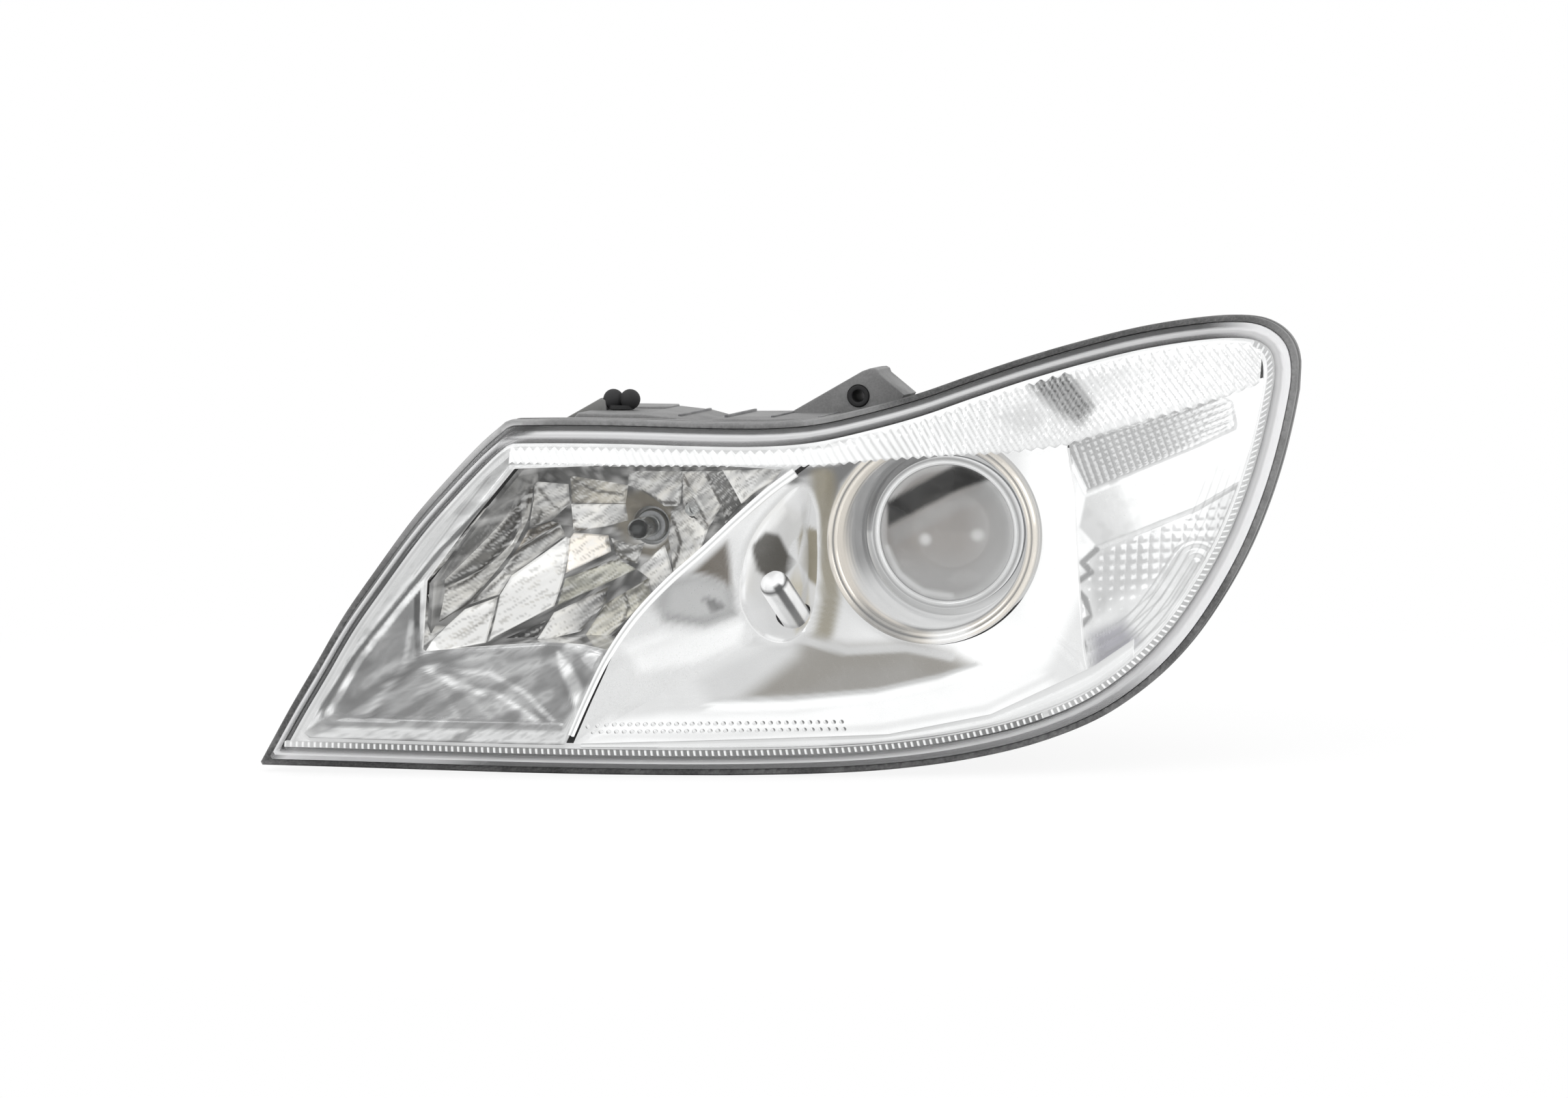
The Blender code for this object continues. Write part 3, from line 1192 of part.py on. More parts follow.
for build in (build_cover, build_sealant, build_housing, build_strips, build_divider,
              build_bezel, build_turn_reflector, build_shroud, build_side_reflector,
              build_inner_bezel, build_high_reflector, build_high_bulb, build_parking_lamp,
              build_carrier, build_ball_sockets, build_trunnion, build_projector,
              build_low_bulb, build_turn_lamp, build_ball_stud, build_motor,
              build_vertical_adjuster, build_horizontal_adjuster, build_caps, build_vent_cap,
              build_connector, build_harness, build_grommets, build_buffer, build_frame):
    build()
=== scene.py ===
"""Looks of a car headlight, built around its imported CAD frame.

Frame: origin under the lower mounting foot, -Y the driving direction, +X outboard, +Z up.
Lengths are millimetres from the lamp's optical centre, the middle of the projector lens, except
in materials and the studio, which use metres. Flat outlines are (x, z) points seen from the
front; depth is y and grows towards the back.
"""

import json
import math
from functools import cache

import bmesh
import bpy
import numpy as np
from mathutils import Matrix, Vector, noise
from mathutils.geometry import delaunay_2d_cdt


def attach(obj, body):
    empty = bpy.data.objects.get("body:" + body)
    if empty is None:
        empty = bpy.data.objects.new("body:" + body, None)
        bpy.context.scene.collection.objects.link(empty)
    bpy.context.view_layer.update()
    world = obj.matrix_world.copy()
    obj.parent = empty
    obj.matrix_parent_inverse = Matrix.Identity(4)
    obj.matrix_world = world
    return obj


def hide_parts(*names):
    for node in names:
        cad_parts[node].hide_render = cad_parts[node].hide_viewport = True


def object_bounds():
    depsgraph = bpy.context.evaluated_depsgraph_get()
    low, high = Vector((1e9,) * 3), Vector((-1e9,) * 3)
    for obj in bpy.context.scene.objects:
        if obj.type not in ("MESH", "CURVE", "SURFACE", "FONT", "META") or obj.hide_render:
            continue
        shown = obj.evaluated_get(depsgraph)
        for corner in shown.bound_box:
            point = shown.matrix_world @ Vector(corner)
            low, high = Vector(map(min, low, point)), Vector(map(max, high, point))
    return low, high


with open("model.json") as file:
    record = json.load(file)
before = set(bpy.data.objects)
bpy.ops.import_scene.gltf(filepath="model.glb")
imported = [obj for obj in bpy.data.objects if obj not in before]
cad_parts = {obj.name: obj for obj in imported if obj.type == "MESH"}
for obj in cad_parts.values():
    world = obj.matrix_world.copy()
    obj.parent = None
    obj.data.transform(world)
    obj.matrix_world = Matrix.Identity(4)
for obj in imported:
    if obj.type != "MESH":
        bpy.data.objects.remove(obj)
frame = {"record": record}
CAD_LO, CAD_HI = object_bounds()

MM = 0.001
OPTICAL_CENTRE = Vector((126.0, -26.0, 106.0))      # in the frame
COVER_WALL = 3.0
RIM_OUT = 7.5                                       # housing rim beyond the cover's edge
BEAM = (-155.0, 0.0)                                # axis of the high beam
DISH_APEX_Y, DISH_FOCUS = 8.0, 22.0
AIM_X, AIM_Y, AIM_Z = -90.0, 46.0, 30.0             # fixed pivot ball
LEVEL_Z, TRIM_X = -60.0, 74.0                       # the two moving balls
PIVOT, LEVEL, TRIM = (AIM_X, AIM_Z), (AIM_X, LEVEL_Z), (TRIM_X, AIM_Z)
BUCKET_R, BUCKET_Y = 62.0, 128.0
BEAM_BUCKET_R, BEAM_BUCKET_Y = 41.0, 64.0
FOOT_Z, PAD_Z = -106.0, 59.6
TURN_BASE = Vector((-68.0, -20.0, -49.0))
TURN_AXIS = Vector((-0.22, -0.716, 0.661)).normalized()
PARKING = (-129, 10)
UPPER_HOLE = (-52, 66)
VENT = (60, 62)
KNOB = (-84, -69)

# The cover's edge in two runs: its inboard side upwards, then clockwise round the rest.
INBOARD = [(-306, -103.3), (-296, -84), (-285, -64), (-273, -41.6), (-259.4, -20.3), (-243, 4.3),
           (-228, 23.3), (-213.3, 40.3), (-203, 50)]
ROUND = [(-203, 50), (-181, 50.3), (-148, 50.1), (-115, 49.2), (-83, 48.9), (-57, 50.8),
         (-32, 56.3), (-7, 63.4), (17, 72.1), (42, 80.8), (66, 88.1), (91, 94.5), (115, 98.5),
         (134, 99.9), (147, 98), (155.5, 91), (158.4, 79.4), (157.4, 64.4), (153.7, 41.2),
         (148, 18), (140, -5), (129, -27.4), (115.5, -48.3), (99, -66), (78, -81), (50.6, -92),
         (20, -99), (-11, -103), (-43, -105), (-90, -106), (-139, -106), (-188, -105.5),
         (-237, -104.6), (-277, -103.8), (-306, -103.3)]
# The joint between the high-beam chamber and the projector's, from the top down.
DIVIDER = [(-52, 43), (-59, 36), (-73, 25), (-88, 11), (-103, -4), (-119, -19), (-134, -36),
           (-146, -55), (-155, -75), (-163, -95), (-166, -101)]
# Opening in front of the high-beam dish.
WINDOW = [(-200, 34), (-151, 36), (-102, 36), (-70, 34), (-80, 23), (-95, 8), (-111, -8),
          (-126, -24), (-140, -40), (-147, -53), (-161, -50), (-178, -49), (-211, -51.5),
          (-238, -54), (-238, -20), (-219, 8)]


def cover_y(x, z):
    """Depth of the cover's outer surface. Works on numbers and on arrays."""
    over = np.exp(-((x - 38) ** 2 + (z - 28) ** 2) / 7000)
    return (-60 + 0.36 * x + 0.000858 * x * x + 1.222e-6 * x ** 3
            + 0.28 * z + 0.0009 * z * z - 6 * over)


def behind(setback):
    """A depth function that lies a setback behind the cover's outer surface."""
    return lambda x, z: cover_y(x, z) + setback


def smooth(share):
    share = max(0.0, min(1.0, share))
    return share * share * (3 - 2 * share)


def ramp(value, low, high):
    """Smooth step on arrays: 0 at low, 1 at high."""
    share = np.clip((value - low) / (high - low), 0, 1)
    return share * share * (3 - 2 * share)


def fall(value, low, high):
    """Smooth step on arrays: 1 at low, 0 at high."""
    return 1 - ramp(value, low, high)


def fold(value):
    """Triangle wave of period 1: 0 at whole numbers, 1 halfway."""
    return 2 * np.abs(value - np.floor(value + 0.5))


def stations(start, stop, step):
    while start < stop:
        yield start
        start += step


# ---------------------------------------------------------------- curves
def catmull(before, start, end, after, share):
    return 0.5 * ((2 * start) + (end - before) * share
                  + (2 * before - 5 * start + 4 * end - after) * share * share
                  + (3 * start - before - 3 * end + after) * share ** 3)


def spline(points, steps):
    line = [Vector(p) for p in points]
    line = [line[0] * 2 - line[1]] + line + [line[-1] * 2 - line[-2]]
    out = []
    for i in range(1, len(line) - 2):
        out += [catmull(*line[i - 1:i + 3], k / steps) for k in range(steps)]
    return out + [line[-2]]


def round_loop(points, steps):
    """A closed smooth curve through the points."""
    out, count = [], len(points)
    for i in range(count):
        four = [Vector(points[(i + k) % count]) for k in (-1, 0, 1, 2)]
        out += [catmull(*four, k / steps) for k in range(steps)]
    return out


def beside(line, offset):
    """The line moved sideways, to its left for a positive offset."""
    out = []
    for i, point in enumerate(line):
        along_line = (line[min(len(line) - 1, i + 1)] - line[max(0, i - 1)]).normalized()
        out.append(point + Vector((-along_line.y, along_line.x)) * offset)
    return out


def meeting(line_a, line_b):
    """Where the end of one line crosses the start of another: both indices and the point."""
    for i in range(len(line_a) - 1, max(0, len(line_a) - 60), -1):
        start_a, step_a = line_a[i - 1], line_a[i] - line_a[i - 1]
        for j in range(min(len(line_b) - 1, 60)):
            start_b, step_b = line_b[j], line_b[j + 1] - line_b[j]
            cross = step_a.x * step_b.y - step_a.y * step_b.x
            if abs(cross) < 1e-9:
                continue
            gap = start_b - start_a
            share_a = (gap.x * step_b.y - gap.y * step_b.x) / cross
            share_b = (gap.x * step_a.y - gap.y * step_a.x) / cross
            if -1e-6 <= share_a <= 1.000001 and -1e-6 <= share_b <= 1.000001:
                return i, j, start_a + step_a * share_a
    raise ValueError("the offset edges don't meet")


def stretched(line, by=30.0):
    first = (line[0] - line[1]).normalized()
    last = (line[-1] - line[-2]).normalized()
    return [line[0] + first * by] + line + [line[-1] + last * by]


def spread(line, count, trim, bend=34.0):
    """Points spaced evenly along the line, closer where it bends. Trim shortens both ends."""
    marks = [0.0]
    for i in range(1, len(line)):
        step = line[i] - line[i - 1]
        turn = 0.0
        if 1 < i < len(line) - 1:
            turn = step.angle(line[i + 1] - line[i], 0.0)
        marks.append(marks[-1] + step.length + bend * turn)
    out, j = [], 1
    for k in range(count):
        want = trim + (marks[-1] - 2 * trim) * k / (count - 1)
        while j < len(marks) - 1 and marks[j] < want - 1e-9:
            j += 1
        share = (want - marks[j - 1]) / max(marks[j] - marks[j - 1], 1e-9)
        out.append(line[j - 1].lerp(line[j], share))
    return out


INBOARD_LINE, ROUND_LINE = spline(INBOARD, 10), spline(ROUND, 10)
DIVIDER_LINE = spline(DIVIDER, 8)
INBOARD_COUNT, ROUND_COUNT, CORNER_TRIM = 56, 204, 1.6


@cache
def outline(offset):
    """The cover's edge moved outwards, clockwise from its lower inboard tip."""
    inboard = stretched(beside(INBOARD_LINE, offset))
    rest = stretched(beside(ROUND_LINE, offset))
    inboard_end, rest_start, top = meeting(inboard, rest)
    rest_end, inboard_start, tip = meeting(rest, inboard)
    inboard = [tip] + inboard[inboard_start + 1:inboard_end] + [top]
    rest = [top] + rest[rest_start + 1:rest_end] + [tip]
    return (spread(inboard, INBOARD_COUNT, CORNER_TRIM, bend=10.0)
            + spread(rest, ROUND_COUNT, CORNER_TRIM))


EDGE = outline(0.0)
EDGE_POLY = EDGE[::3]
EDGE_Y = [float(cover_y(p.x, p.y)) for p in EDGE]
MIDDLE = Vector((-60.0, -20.0))


def shift(depths, by):
    return [y + by for y in depths]


# Front of the housing's rim: deep inboard, shallower outboard.
LIP = [y + 20 - 9 * smooth((p.x - 60) / 90) for p, y in zip(EDGE, EDGE_Y)]


def ring(points, depth):
    if callable(depth):
        return [Vector((p.x, float(depth(p.x, p.y)), p.y)) for p in points]
    return [Vector((p.x, y, p.y)) for p, y in zip(points, depth)]


def edge_ring(offset, depths, by):
    return ring(outline(offset), shift(depths, by))


def about(points, centre, scale):
    return [centre + (p - centre) * scale for p in points]


def polar(radius, angle, centre=(0.0, 0.0)):
    return (centre[0] + radius * math.cos(angle), centre[1] + radius * math.sin(angle))


def turns(count, start=0.0):
    """Angles shared evenly round a circle."""
    return [2 * math.pi * (k + start) / count for k in range(count)]


def reach(polygon, centre, angle):
    """Distance from the centre to the polygon's farthest crossing at an angle."""
    ray = Vector((math.cos(angle), math.sin(angle)))
    far = 0.0
    for i, point in enumerate(polygon):
        side = polygon[(i + 1) % len(polygon)] - point
        cross = ray.x * side.y - ray.y * side.x
        if abs(cross) < 1e-9:
            continue
        gap = point - centre
        distance = (gap.x * side.y - gap.y * side.x) / cross
        share = (gap.x * ray.y - gap.y * ray.x) / cross
        if distance > 0 and -1e-6 <= share <= 1.000001:
            far = max(far, distance)
    return far


def star(polygon, centre, count):
    """(angle, reach) rays round the centre, clockwise, with one ray drawn to each corner."""
    angles = turns(count)
    for i, point in enumerate(polygon):
        before, after = polygon[i - 1], polygon[(i + 1) % len(polygon)]
        if (point - before).angle(after - point) > 0.4:
            want = math.atan2(point.y - centre.y, point.x - centre.x) % (2 * math.pi)
            k = min(range(count), key=lambda j: abs(
                (angles[j] - want + math.pi) % (2 * math.pi) - math.pi))
            angles[k] = want
    return [(angle, reach(polygon, centre, angle)) for angle in sorted(angles, reverse=True)]


def run(offset, start, end):
    """The part of the offset edge between the points nearest start and end."""
    line = beside(ROUND_LINE, offset)
    near = [min(range(len(line)), key=lambda i: (line[i] - Vector(p)).length)
            for p in (start, end)]
    return line[near[0]:near[1] + 1]


BAND_EDGE = beside(ROUND_LINE, -7.4)


def band_edge_z(x, pick):
    """Height of the trim bands' outer edge at x. Pick is max for the top, min for the bottom."""
    found = []
    for start, end in zip(BAND_EDGE, BAND_EDGE[1:]):
        if (start.x - x) * (end.x - x) <= 0 and abs(end.x - start.x) > 1e-9:
            found.append(start.y + (end.y - start.y) * (x - start.x) / (end.x - start.x))
    return pick(found)


def along(points, x):
    for (x0, z0), (x1, z1) in zip(points, points[1:]):
        if x <= x1:
            return z0 + (z1 - z0) * (x - x0) / (x1 - x0)
    return points[-1][1]


# ---------------------------------------------------------------- materials
def linear(tone):
    """A display tone of 0 to 255, or three of them, as linear red, green and blue."""
    values = tone if isinstance(tone, tuple) else (tone,) * 3
    return tuple(v / 255 / 12.92 if v / 255 <= 0.04045 else ((v / 255 + 0.055) / 1.055) ** 2.4
                 for v in values)


def scaled(colour, by):
    return tuple(c * by for c in colour)


class Nodes:
    """Short calls for building the node tree of a material or a world."""

    def __init__(self, owner, output="OutputMaterial"):
        self.owner = owner
        owner.use_nodes = True
        self.tree = owner.node_tree
        self.tree.nodes.clear()
        self.output = self.add(output)
        self.object_coord = None

    def plug(self, socket, value):
        if isinstance(value, bpy.types.NodeSocket):
            self.tree.links.new(value, socket)
        elif socket.type == "RGBA":
            socket.default_value = (*value, 1.0)
        else:
            socket.default_value = value

    def add(self, kind, inputs=None, **props):
        node = self.tree.nodes.new("ShaderNode" + kind)
        for key, value in props.items():
            setattr(node, key, value)
        for key, value in (inputs or {}).items():
            self.plug(node.inputs[key], value)
        return node

    def coord(self):
        if self.object_coord is None:
            self.object_coord = self.add("TexCoord").outputs["Object"]
        return self.object_coord

    def noise(self, scale, detail, rough=0.55, stretch=None):
        place = self.coord()
        if stretch:
            mapping = self.add("Mapping", {"Scale": stretch, "Vector": place})
            place = mapping.outputs["Vector"]
        return self.add("TexNoise", {"Scale": scale, "Detail": detail, "Roughness": rough,
                                     "Vector": place}).outputs["Fac"]

    def remap(self, value, span, to):
        return self.add("MapRange", {"From Min": span[0], "From Max": span[1], "To Min": to[0],
                                     "To Max": to[1], "Value": value}).outputs["Result"]

    def drift(self, scale, detail, span=(0.3, 0.7), to=(0, 1), **shape):
        """Noise whose span is stretched to the given range."""
        return self.remap(self.noise(scale, detail, **shape), span, to)

    def math(self, operation, first, second):
        return self.add("Math", {0: first, 1: second}, operation=operation).outputs[0]

    def mix(self, factor, first, second, blend="MIX"):
        return self.add("Mix", {0: factor, 6: first, 7: second},
                        data_type="RGBA", blend_type=blend).outputs[2]

    def tone(self, output="Color"):
        """The painted tone of the mesh."""
        return self.add("Attribute", attribute_name="tone").outputs[output]

    def bump(self, height, strength, distance, normal=None):
        inputs = {"Strength": strength, "Distance": distance, "Height": height}
        if normal is not None:
            inputs["Normal"] = normal
        return self.add("Bump", inputs).outputs["Normal"]

    def soft_edges(self, radius):
        return self.add("Bevel", {"Radius": radius}, samples=4).outputs["Normal"]

    def shader(self, kind, **inputs):
        inputs = {key.replace("_", " "): value for key, value in inputs.items()}
        return self.add(kind, inputs).outputs[0]

    def mix_shaders(self, factor, first, second):
        return self.add("MixShader", {0: factor, 1: first, 2: second}).outputs[0]

    def surface(self, shader):
        self.plug(self.output.inputs["Surface"], shader)
        return self.owner


def material(name):
    return Nodes(bpy.data.materials.new(name))


def rubbed(nodes, colour, worn, amount):
    """The colour with its sharp edges worn in patches."""
    sharp = nodes.add("NewGeometry").outputs["Pointiness"]
    edges = nodes.remap(sharp, span=(0.52, 0.6), to=(0, amount))
    patches = nodes.drift(scale=60, detail=5, span=(0.4, 0.6), to=(0.2, 1))
    return nodes.mix(nodes.math("MULTIPLY", edges, patches), colour, worn)


def grained(nodes, grain, edge, cells=2200):
    """Soft edges, fine spark-eroded grain and slow waviness."""
    cell = nodes.add("TexVoronoi", {"Scale": cells, "Vector": nodes.coord()})
    normal = nodes.bump(cell.outputs["Distance"], strength=grain, distance=0.00012,
                        normal=nodes.soft_edges(edge))
    return nodes.bump(nodes.noise(scale=35, detail=2), strength=0.12, distance=0.0006,
                      normal=normal)


def moulded(name, dark, light, rough=(0.42, 0.6), grain=0.25, edge=0.0005, worn=None, cells=2200):
    """Injection-moulded plastic with slow colour drift, specks and lighter rubbed edges."""
    nodes = material(name)
    dark, light = linear(dark), linear(light)
    colour = nodes.mix(nodes.drift(scale=18, detail=3), dark, light)
    speck = nodes.drift(scale=900, detail=2, rough=0.7, span=(0.35, 0.75), to=(0, 0.22))
    colour = nodes.mix(speck, colour, tuple(min(1, c * 1.5) for c in light))
    if worn:
        colour = rubbed(nodes, colour, linear(worn), amount=0.55)
    return nodes.surface(nodes.shader(
        "BsdfPrincipled", Base_Color=colour, Normal=grained(nodes, grain, edge, cells),
        Roughness=nodes.drift(scale=40, detail=4, to=rough), Specular_IOR_Level=0.45))


def toned_moulding(name):
    """Injection-moulded plastic whose colour is painted on the mesh."""
    nodes = material(name)
    colour = nodes.mix(nodes.drift(scale=18, detail=3, to=(0, 0.22)), nodes.tone(), (0.03,) * 3)
    speck = nodes.drift(scale=900, detail=2, rough=0.7, span=(0.4, 0.75), to=(0, 0.13))
    colour = rubbed(nodes, nodes.mix(speck, colour, (0.5,) * 3), linear(190), amount=0.35)
    return nodes.surface(nodes.shader(
        "BsdfPrincipled", Base_Color=colour, Normal=grained(nodes, grain=0.3, edge=0.0006),
        Roughness=nodes.drift(scale=40, detail=4, to=(0.45, 0.62)), Specular_IOR_Level=0.35))


def chrome(name, rough, wave, base=(1.0, 1.0, 1.0), glow=0.80, mirror=0.36, toned=True):
    """Vacuum-metallised plastic: a mirror with orange peel, hazy marks and dust.

    Toned chrome multiplies in the painted tone, which holds painted reflections and shade, glows
    with it as painted light and mirrors only a share.
    """
    nodes = material(name)
    colour = nodes.mix(nodes.drift(scale=22, detail=4, span=(0.35, 0.7)), base, scaled(base, 0.93))
    reflected = colour
    if toned:
        colour = nodes.mix(1.0, nodes.tone(), colour, "MULTIPLY")
        reflected = nodes.mix(1.0, colour, (mirror,) * 3, "MULTIPLY")
    peel = nodes.bump(nodes.noise(scale=260, detail=3, rough=0.5), strength=wave,
                      distance=0.00025)
    peel = nodes.bump(nodes.noise(scale=30, detail=2), strength=wave * 0.7, distance=0.0012,
                      normal=peel)
    dust = nodes.drift(scale=1400, detail=2, rough=0.6, span=(0.62, 0.72), to=(0, 0.16))
    haze = nodes.drift(scale=70, detail=5, span=(0.35, 0.7), to=rough)
    return nodes.surface(nodes.shader(
        "BsdfPrincipled", Base_Color=reflected, Roughness=nodes.math("ADD", haze, dust),
        Metallic=1.0, Normal=peel, Emission_Color=colour, Emission_Strength=glow))


def brushed(name, colour, rough, stretch, metal, scale):
    """Bare metal with drawn lines, or an even grain where the stretch is even, and stains."""
    nodes = material(name)
    lines = nodes.noise(scale, detail=4, rough=0.6, stretch=stretch)
    shade = nodes.mix(nodes.remap(lines, span=(0.3, 0.7), to=(0, 1)), scaled(colour, 0.8), colour)
    stain = nodes.drift(scale=45, detail=5, span=(0.52, 0.68), to=(0, 0.35))
    shade = nodes.mix(stain, shade, scaled(colour, 0.62))
    normal = nodes.bump(lines, strength=0.2, distance=0.00008, normal=nodes.soft_edges(0.0003))
    return nodes.surface(nodes.shader(
        "BsdfPrincipled", Base_Color=shade, Metallic=metal, Normal=normal,
        Roughness=nodes.drift(scale=90, detail=4, to=rough)))


def bulb_glass_material():
    """Thin clear glass: see-through, mirroring by Fresnel's law, with a faint haze."""
    nodes = material("bulb_glass")
    tint = (0.94, 0.96, 0.97)
    wave = nodes.bump(nodes.noise(scale=14, detail=2), strength=0.05, distance=0.001)
    fresnel = nodes.shader("Fresnel", IOR=1.5, Normal=wave)
    colour = nodes.mix(nodes.drift(scale=9, detail=3), tint, scaled(tint, 0.985))
    through = nodes.shader("BsdfTransparent", Color=colour)
    polish = nodes.drift(scale=600, detail=3, span=(0.4, 0.75), to=(0.015, 0.075))
    glossy = nodes.shader("BsdfGlossy", Normal=wave, Roughness=polish, Color=(1, 1, 1))
    haze = nodes.drift(scale=120, detail=4, span=(0.35, 0.7), to=(0.03, 0.065))
    return nodes.surface(nodes.mix_shaders(
        haze, nodes.mix_shaders(fresnel, through, glossy),
        nodes.shader("BsdfDiffuse", Color=(0.9, 0.9, 0.9))))


def cover_material():
    """Clear plastic that mirrors on its outward faces and turns pale where painted glare lies on
    it.
    """
    nodes = material("clear_cover_shaded")
    pale = nodes.tone("Fac")
    wave = nodes.bump(nodes.noise(scale=11, detail=2), strength=0.04, distance=0.001)
    fresnel = nodes.shader("Fresnel", IOR=1.38, Normal=wave)
    through = nodes.shader("BsdfTransparent", Color=(0.985, 0.988, 0.988))
    polish = nodes.drift(scale=600, detail=3, span=(0.4, 0.75), to=(0.012, 0.05))
    glossy = nodes.shader("BsdfGlossy", Normal=wave, Roughness=polish)
    outward = nodes.math("SUBTRACT", 1.0, nodes.add("NewGeometry").outputs["Backfacing"])
    clear = nodes.mix_shaders(nodes.math("MULTIPLY", fresnel, outward), through, glossy)
    body = nodes.shader("BsdfDiffuse", Color=linear((236, 236, 237)))
    scratch = nodes.drift(scale=160, detail=6, rough=0.6, stretch=(1, 6, 1), span=(0.55, 0.75),
                          to=(0.0, 0.025))
    # faint scratches, plus the painted glare that turns the rim pale
    scratch_and_painted_glare = nodes.math("ADD", scratch, nodes.math("MULTIPLY", pale, 0.93))
    return nodes.surface(nodes.mix_shaders(scratch_and_painted_glare, clear, body))


def lens_material():
    """Projector glass: the painted look glows, with a little real refraction mixed in."""
    nodes = material("projector_lens_glass")
    colour = nodes.mix(nodes.drift(scale=60, detail=4, span=(0.35, 0.7), to=(0, 0.10)),
                       nodes.tone(), (0.2,) * 3)
    painted = nodes.shader(
        "BsdfPrincipled", Base_Color=nodes.mix(1.0, colour, (0.4,) * 3, "MULTIPLY"),
        Roughness=nodes.drift(scale=500, detail=3, span=(0.4, 0.75), to=(0.05, 0.12)),
        Metallic=0.3,
        Normal=nodes.bump(nodes.noise(scale=12, detail=2), strength=0.03, distance=0.001),
        Coat_Weight=0.25, Specular_IOR_Level=0.25, Emission_Color=colour, Emission_Strength=0.72)
    glass = nodes.shader("BsdfGlass", Roughness=0.02, IOR=1.35, Color=(0.86, 0.87, 0.87))
    return nodes.surface(nodes.mix_shaders(0.12, painted, glass))


MAT = {
    "housing": moulded("housing_moulding", dark=(72, 72, 74), light=(92, 92, 95), worn=150),
    # a lighter copy of the housing plastic: painted light for parts on the housing's top
    "housing_painted_lit_top": moulded("housing_moulding_painted_lit", dark=(84, 84, 83), light=(112, 112, 110),
                           worn=170),
    "black": moulded("black_moulding", dark=(30, 30, 32), light=(44, 44, 46), worn=90),
    "nylon": moulded("white_nylon_moulding", dark=(205, 203, 196), light=(222, 220, 214),
                     rough=(0.38, 0.5), grain=0.12),
    "rubber": moulded("soft_rubber", dark=(24, 24, 25), light=(40, 40, 41), rough=(0.66, 0.85),
                      grain=0.35, edge=0.0008),
    "sealant": moulded("butyl_sealant", dark=26, light=38, rough=(0.5, 0.7), grain=0.1,
                       cells=400),
    "toned_plastic": toned_moulding("housing_toned"),
    "tone": chrome("bright_chrome_toned", rough=(0.10, 0.2), wave=0.06),
    "facet": chrome("mirror_facets", base=(1, 0.995, 0.98), rough=(0.05, 0.12), wave=0.04,
                    glow=0.84, mirror=0.30),
    "tone_soft": chrome("soft_chrome_toned", rough=(0.16, 0.28), wave=0.05, glow=0.93,
                        mirror=0.22),
    "satin": chrome("satin_chrome_toned", rough=(0.24, 0.36), wave=0.05),
    "mirror": chrome("projector_mirror", base=(0.9, 0.891, 0.873), rough=(0.03, 0.08), wave=0.10,
                     glow=0.0, toned=False),
    "cast": brushed("die_cast_metal", colour=(0.50, 0.51, 0.52), rough=(0.4, 0.55),
                    stretch=(1, 1, 1), metal=0.9, scale=900),
    "zinc": brushed("zinc_plated_steel", colour=(0.62, 0.62, 0.60), rough=(0.28, 0.42),
                    stretch=(1, 18, 1), metal=1.0, scale=500),
    "glass": bulb_glass_material(),
    "cover": cover_material(),
    "lens": lens_material(),
}


# ---------------------------------------------------------------- building pieces
def solid(bm, name="part"):
    """Links a scene object made from the bmesh."""
    mesh = bpy.data.meshes.new(name)
    bm.to_mesh(mesh)
    bm.free()
    obj = bpy.data.objects.new(name, mesh)
    bpy.context.scene.collection.objects.link(obj)
    return obj


def filleted(profile, closed, size):
    """The profile with its corners rounded in two steps."""
    points = [Vector(p) for p in profile]
    out, count = [], len(points)
    for i, point in enumerate(points):
        if not closed and i in (0, count - 1):
            out.append(point)
            continue
        back, ahead = points[i - 1] - point, points[(i + 1) % count] - point
        if back.length < 1e-6 or ahead.length < 1e-6:
            out.append(point)
            continue
        turn = math.pi - back.angle(ahead)
        cut_back = min(size, back.length * 0.35, ahead.length * 0.35)
        if turn < 0.45 or cut_back < 0.03:
            out.append(point)
            continue
        start = point + back.normalized() * cut_back
        end = point + ahead.normalized() * cut_back
        for share in (0.0, 0.5, 1.0):
            out.append(start * (1 - share) ** 2 + point * 2 * share * (1 - share)
                       + end * share * share)
    return [(p.x, p.y) for p in out]


def turned(profile, steps=72, at=(0, 0), axis=(0, 1, 0), fillet=0.45):
    """A turned solid. Profile points are (radius, height along the axis).

    A profile that starts off the axis is closed into a ring. The place is (x, z) or (x, y, z).
    """
    closed = profile[0][0] > 1e-6
    bm = bmesh.new()
    at = Vector(at if len(at) == 3 else (at[0], 0, at[1]))
    spin = Vector((0, 0, 1)).rotation_difference(Vector(axis)).to_matrix().to_4x4()
    place = Matrix.Translation(at) @ spin
    rows = []
    for radius, height in filleted(profile, closed, fillet):
        if radius < 1e-6:
            rows.append([bm.verts.new(place @ Vector((0, 0, height)) * MM)])
        else:
            rows.append([bm.verts.new(place @ Vector((*polar(radius, angle), height)) * MM)
                         for angle in turns(steps)])
    for low, high in list(zip(rows, rows[1:])) + ([(rows[-1], rows[0])] if closed else []):
        for k in range(steps):
            j = (k + 1) % steps
            if len(low) == 1:
                bm.faces.new((low[0], high[j], high[k]))
            elif len(high) == 1:
                bm.faces.new((low[k], low[j], high[0]))
            else:
                bm.faces.new((low[k], low[j], high[j], high[k]))
    bmesh.ops.recalc_face_normals(bm, faces=bm.faces)
    return solid(bm)


def rod(radius, y0, y1, at=(0, 0), steps=64, end_radius=None):
    end_radius = radius if end_radius is None else end_radius
    return turned([(0, y0), (radius, y0), (end_radius, y1), (0, y1)], steps, at, fillet=0.0)


def rod_between(radius, start, end, steps=48):
    start, end = Vector(start), Vector(end)
    length = (end - start).length
    return turned([(0, 0), (radius, 0), (radius, length), (0, length)], steps, start,
                  (end - start).normalized(), 0.0)


def turn_rod(radius, start, end, steps):
    """A rod on the turn bulb's axis between two heights above its base."""
    return rod_between(radius, TURN_BASE + TURN_AXIS * start, TURN_BASE + TURN_AXIS * end, steps)


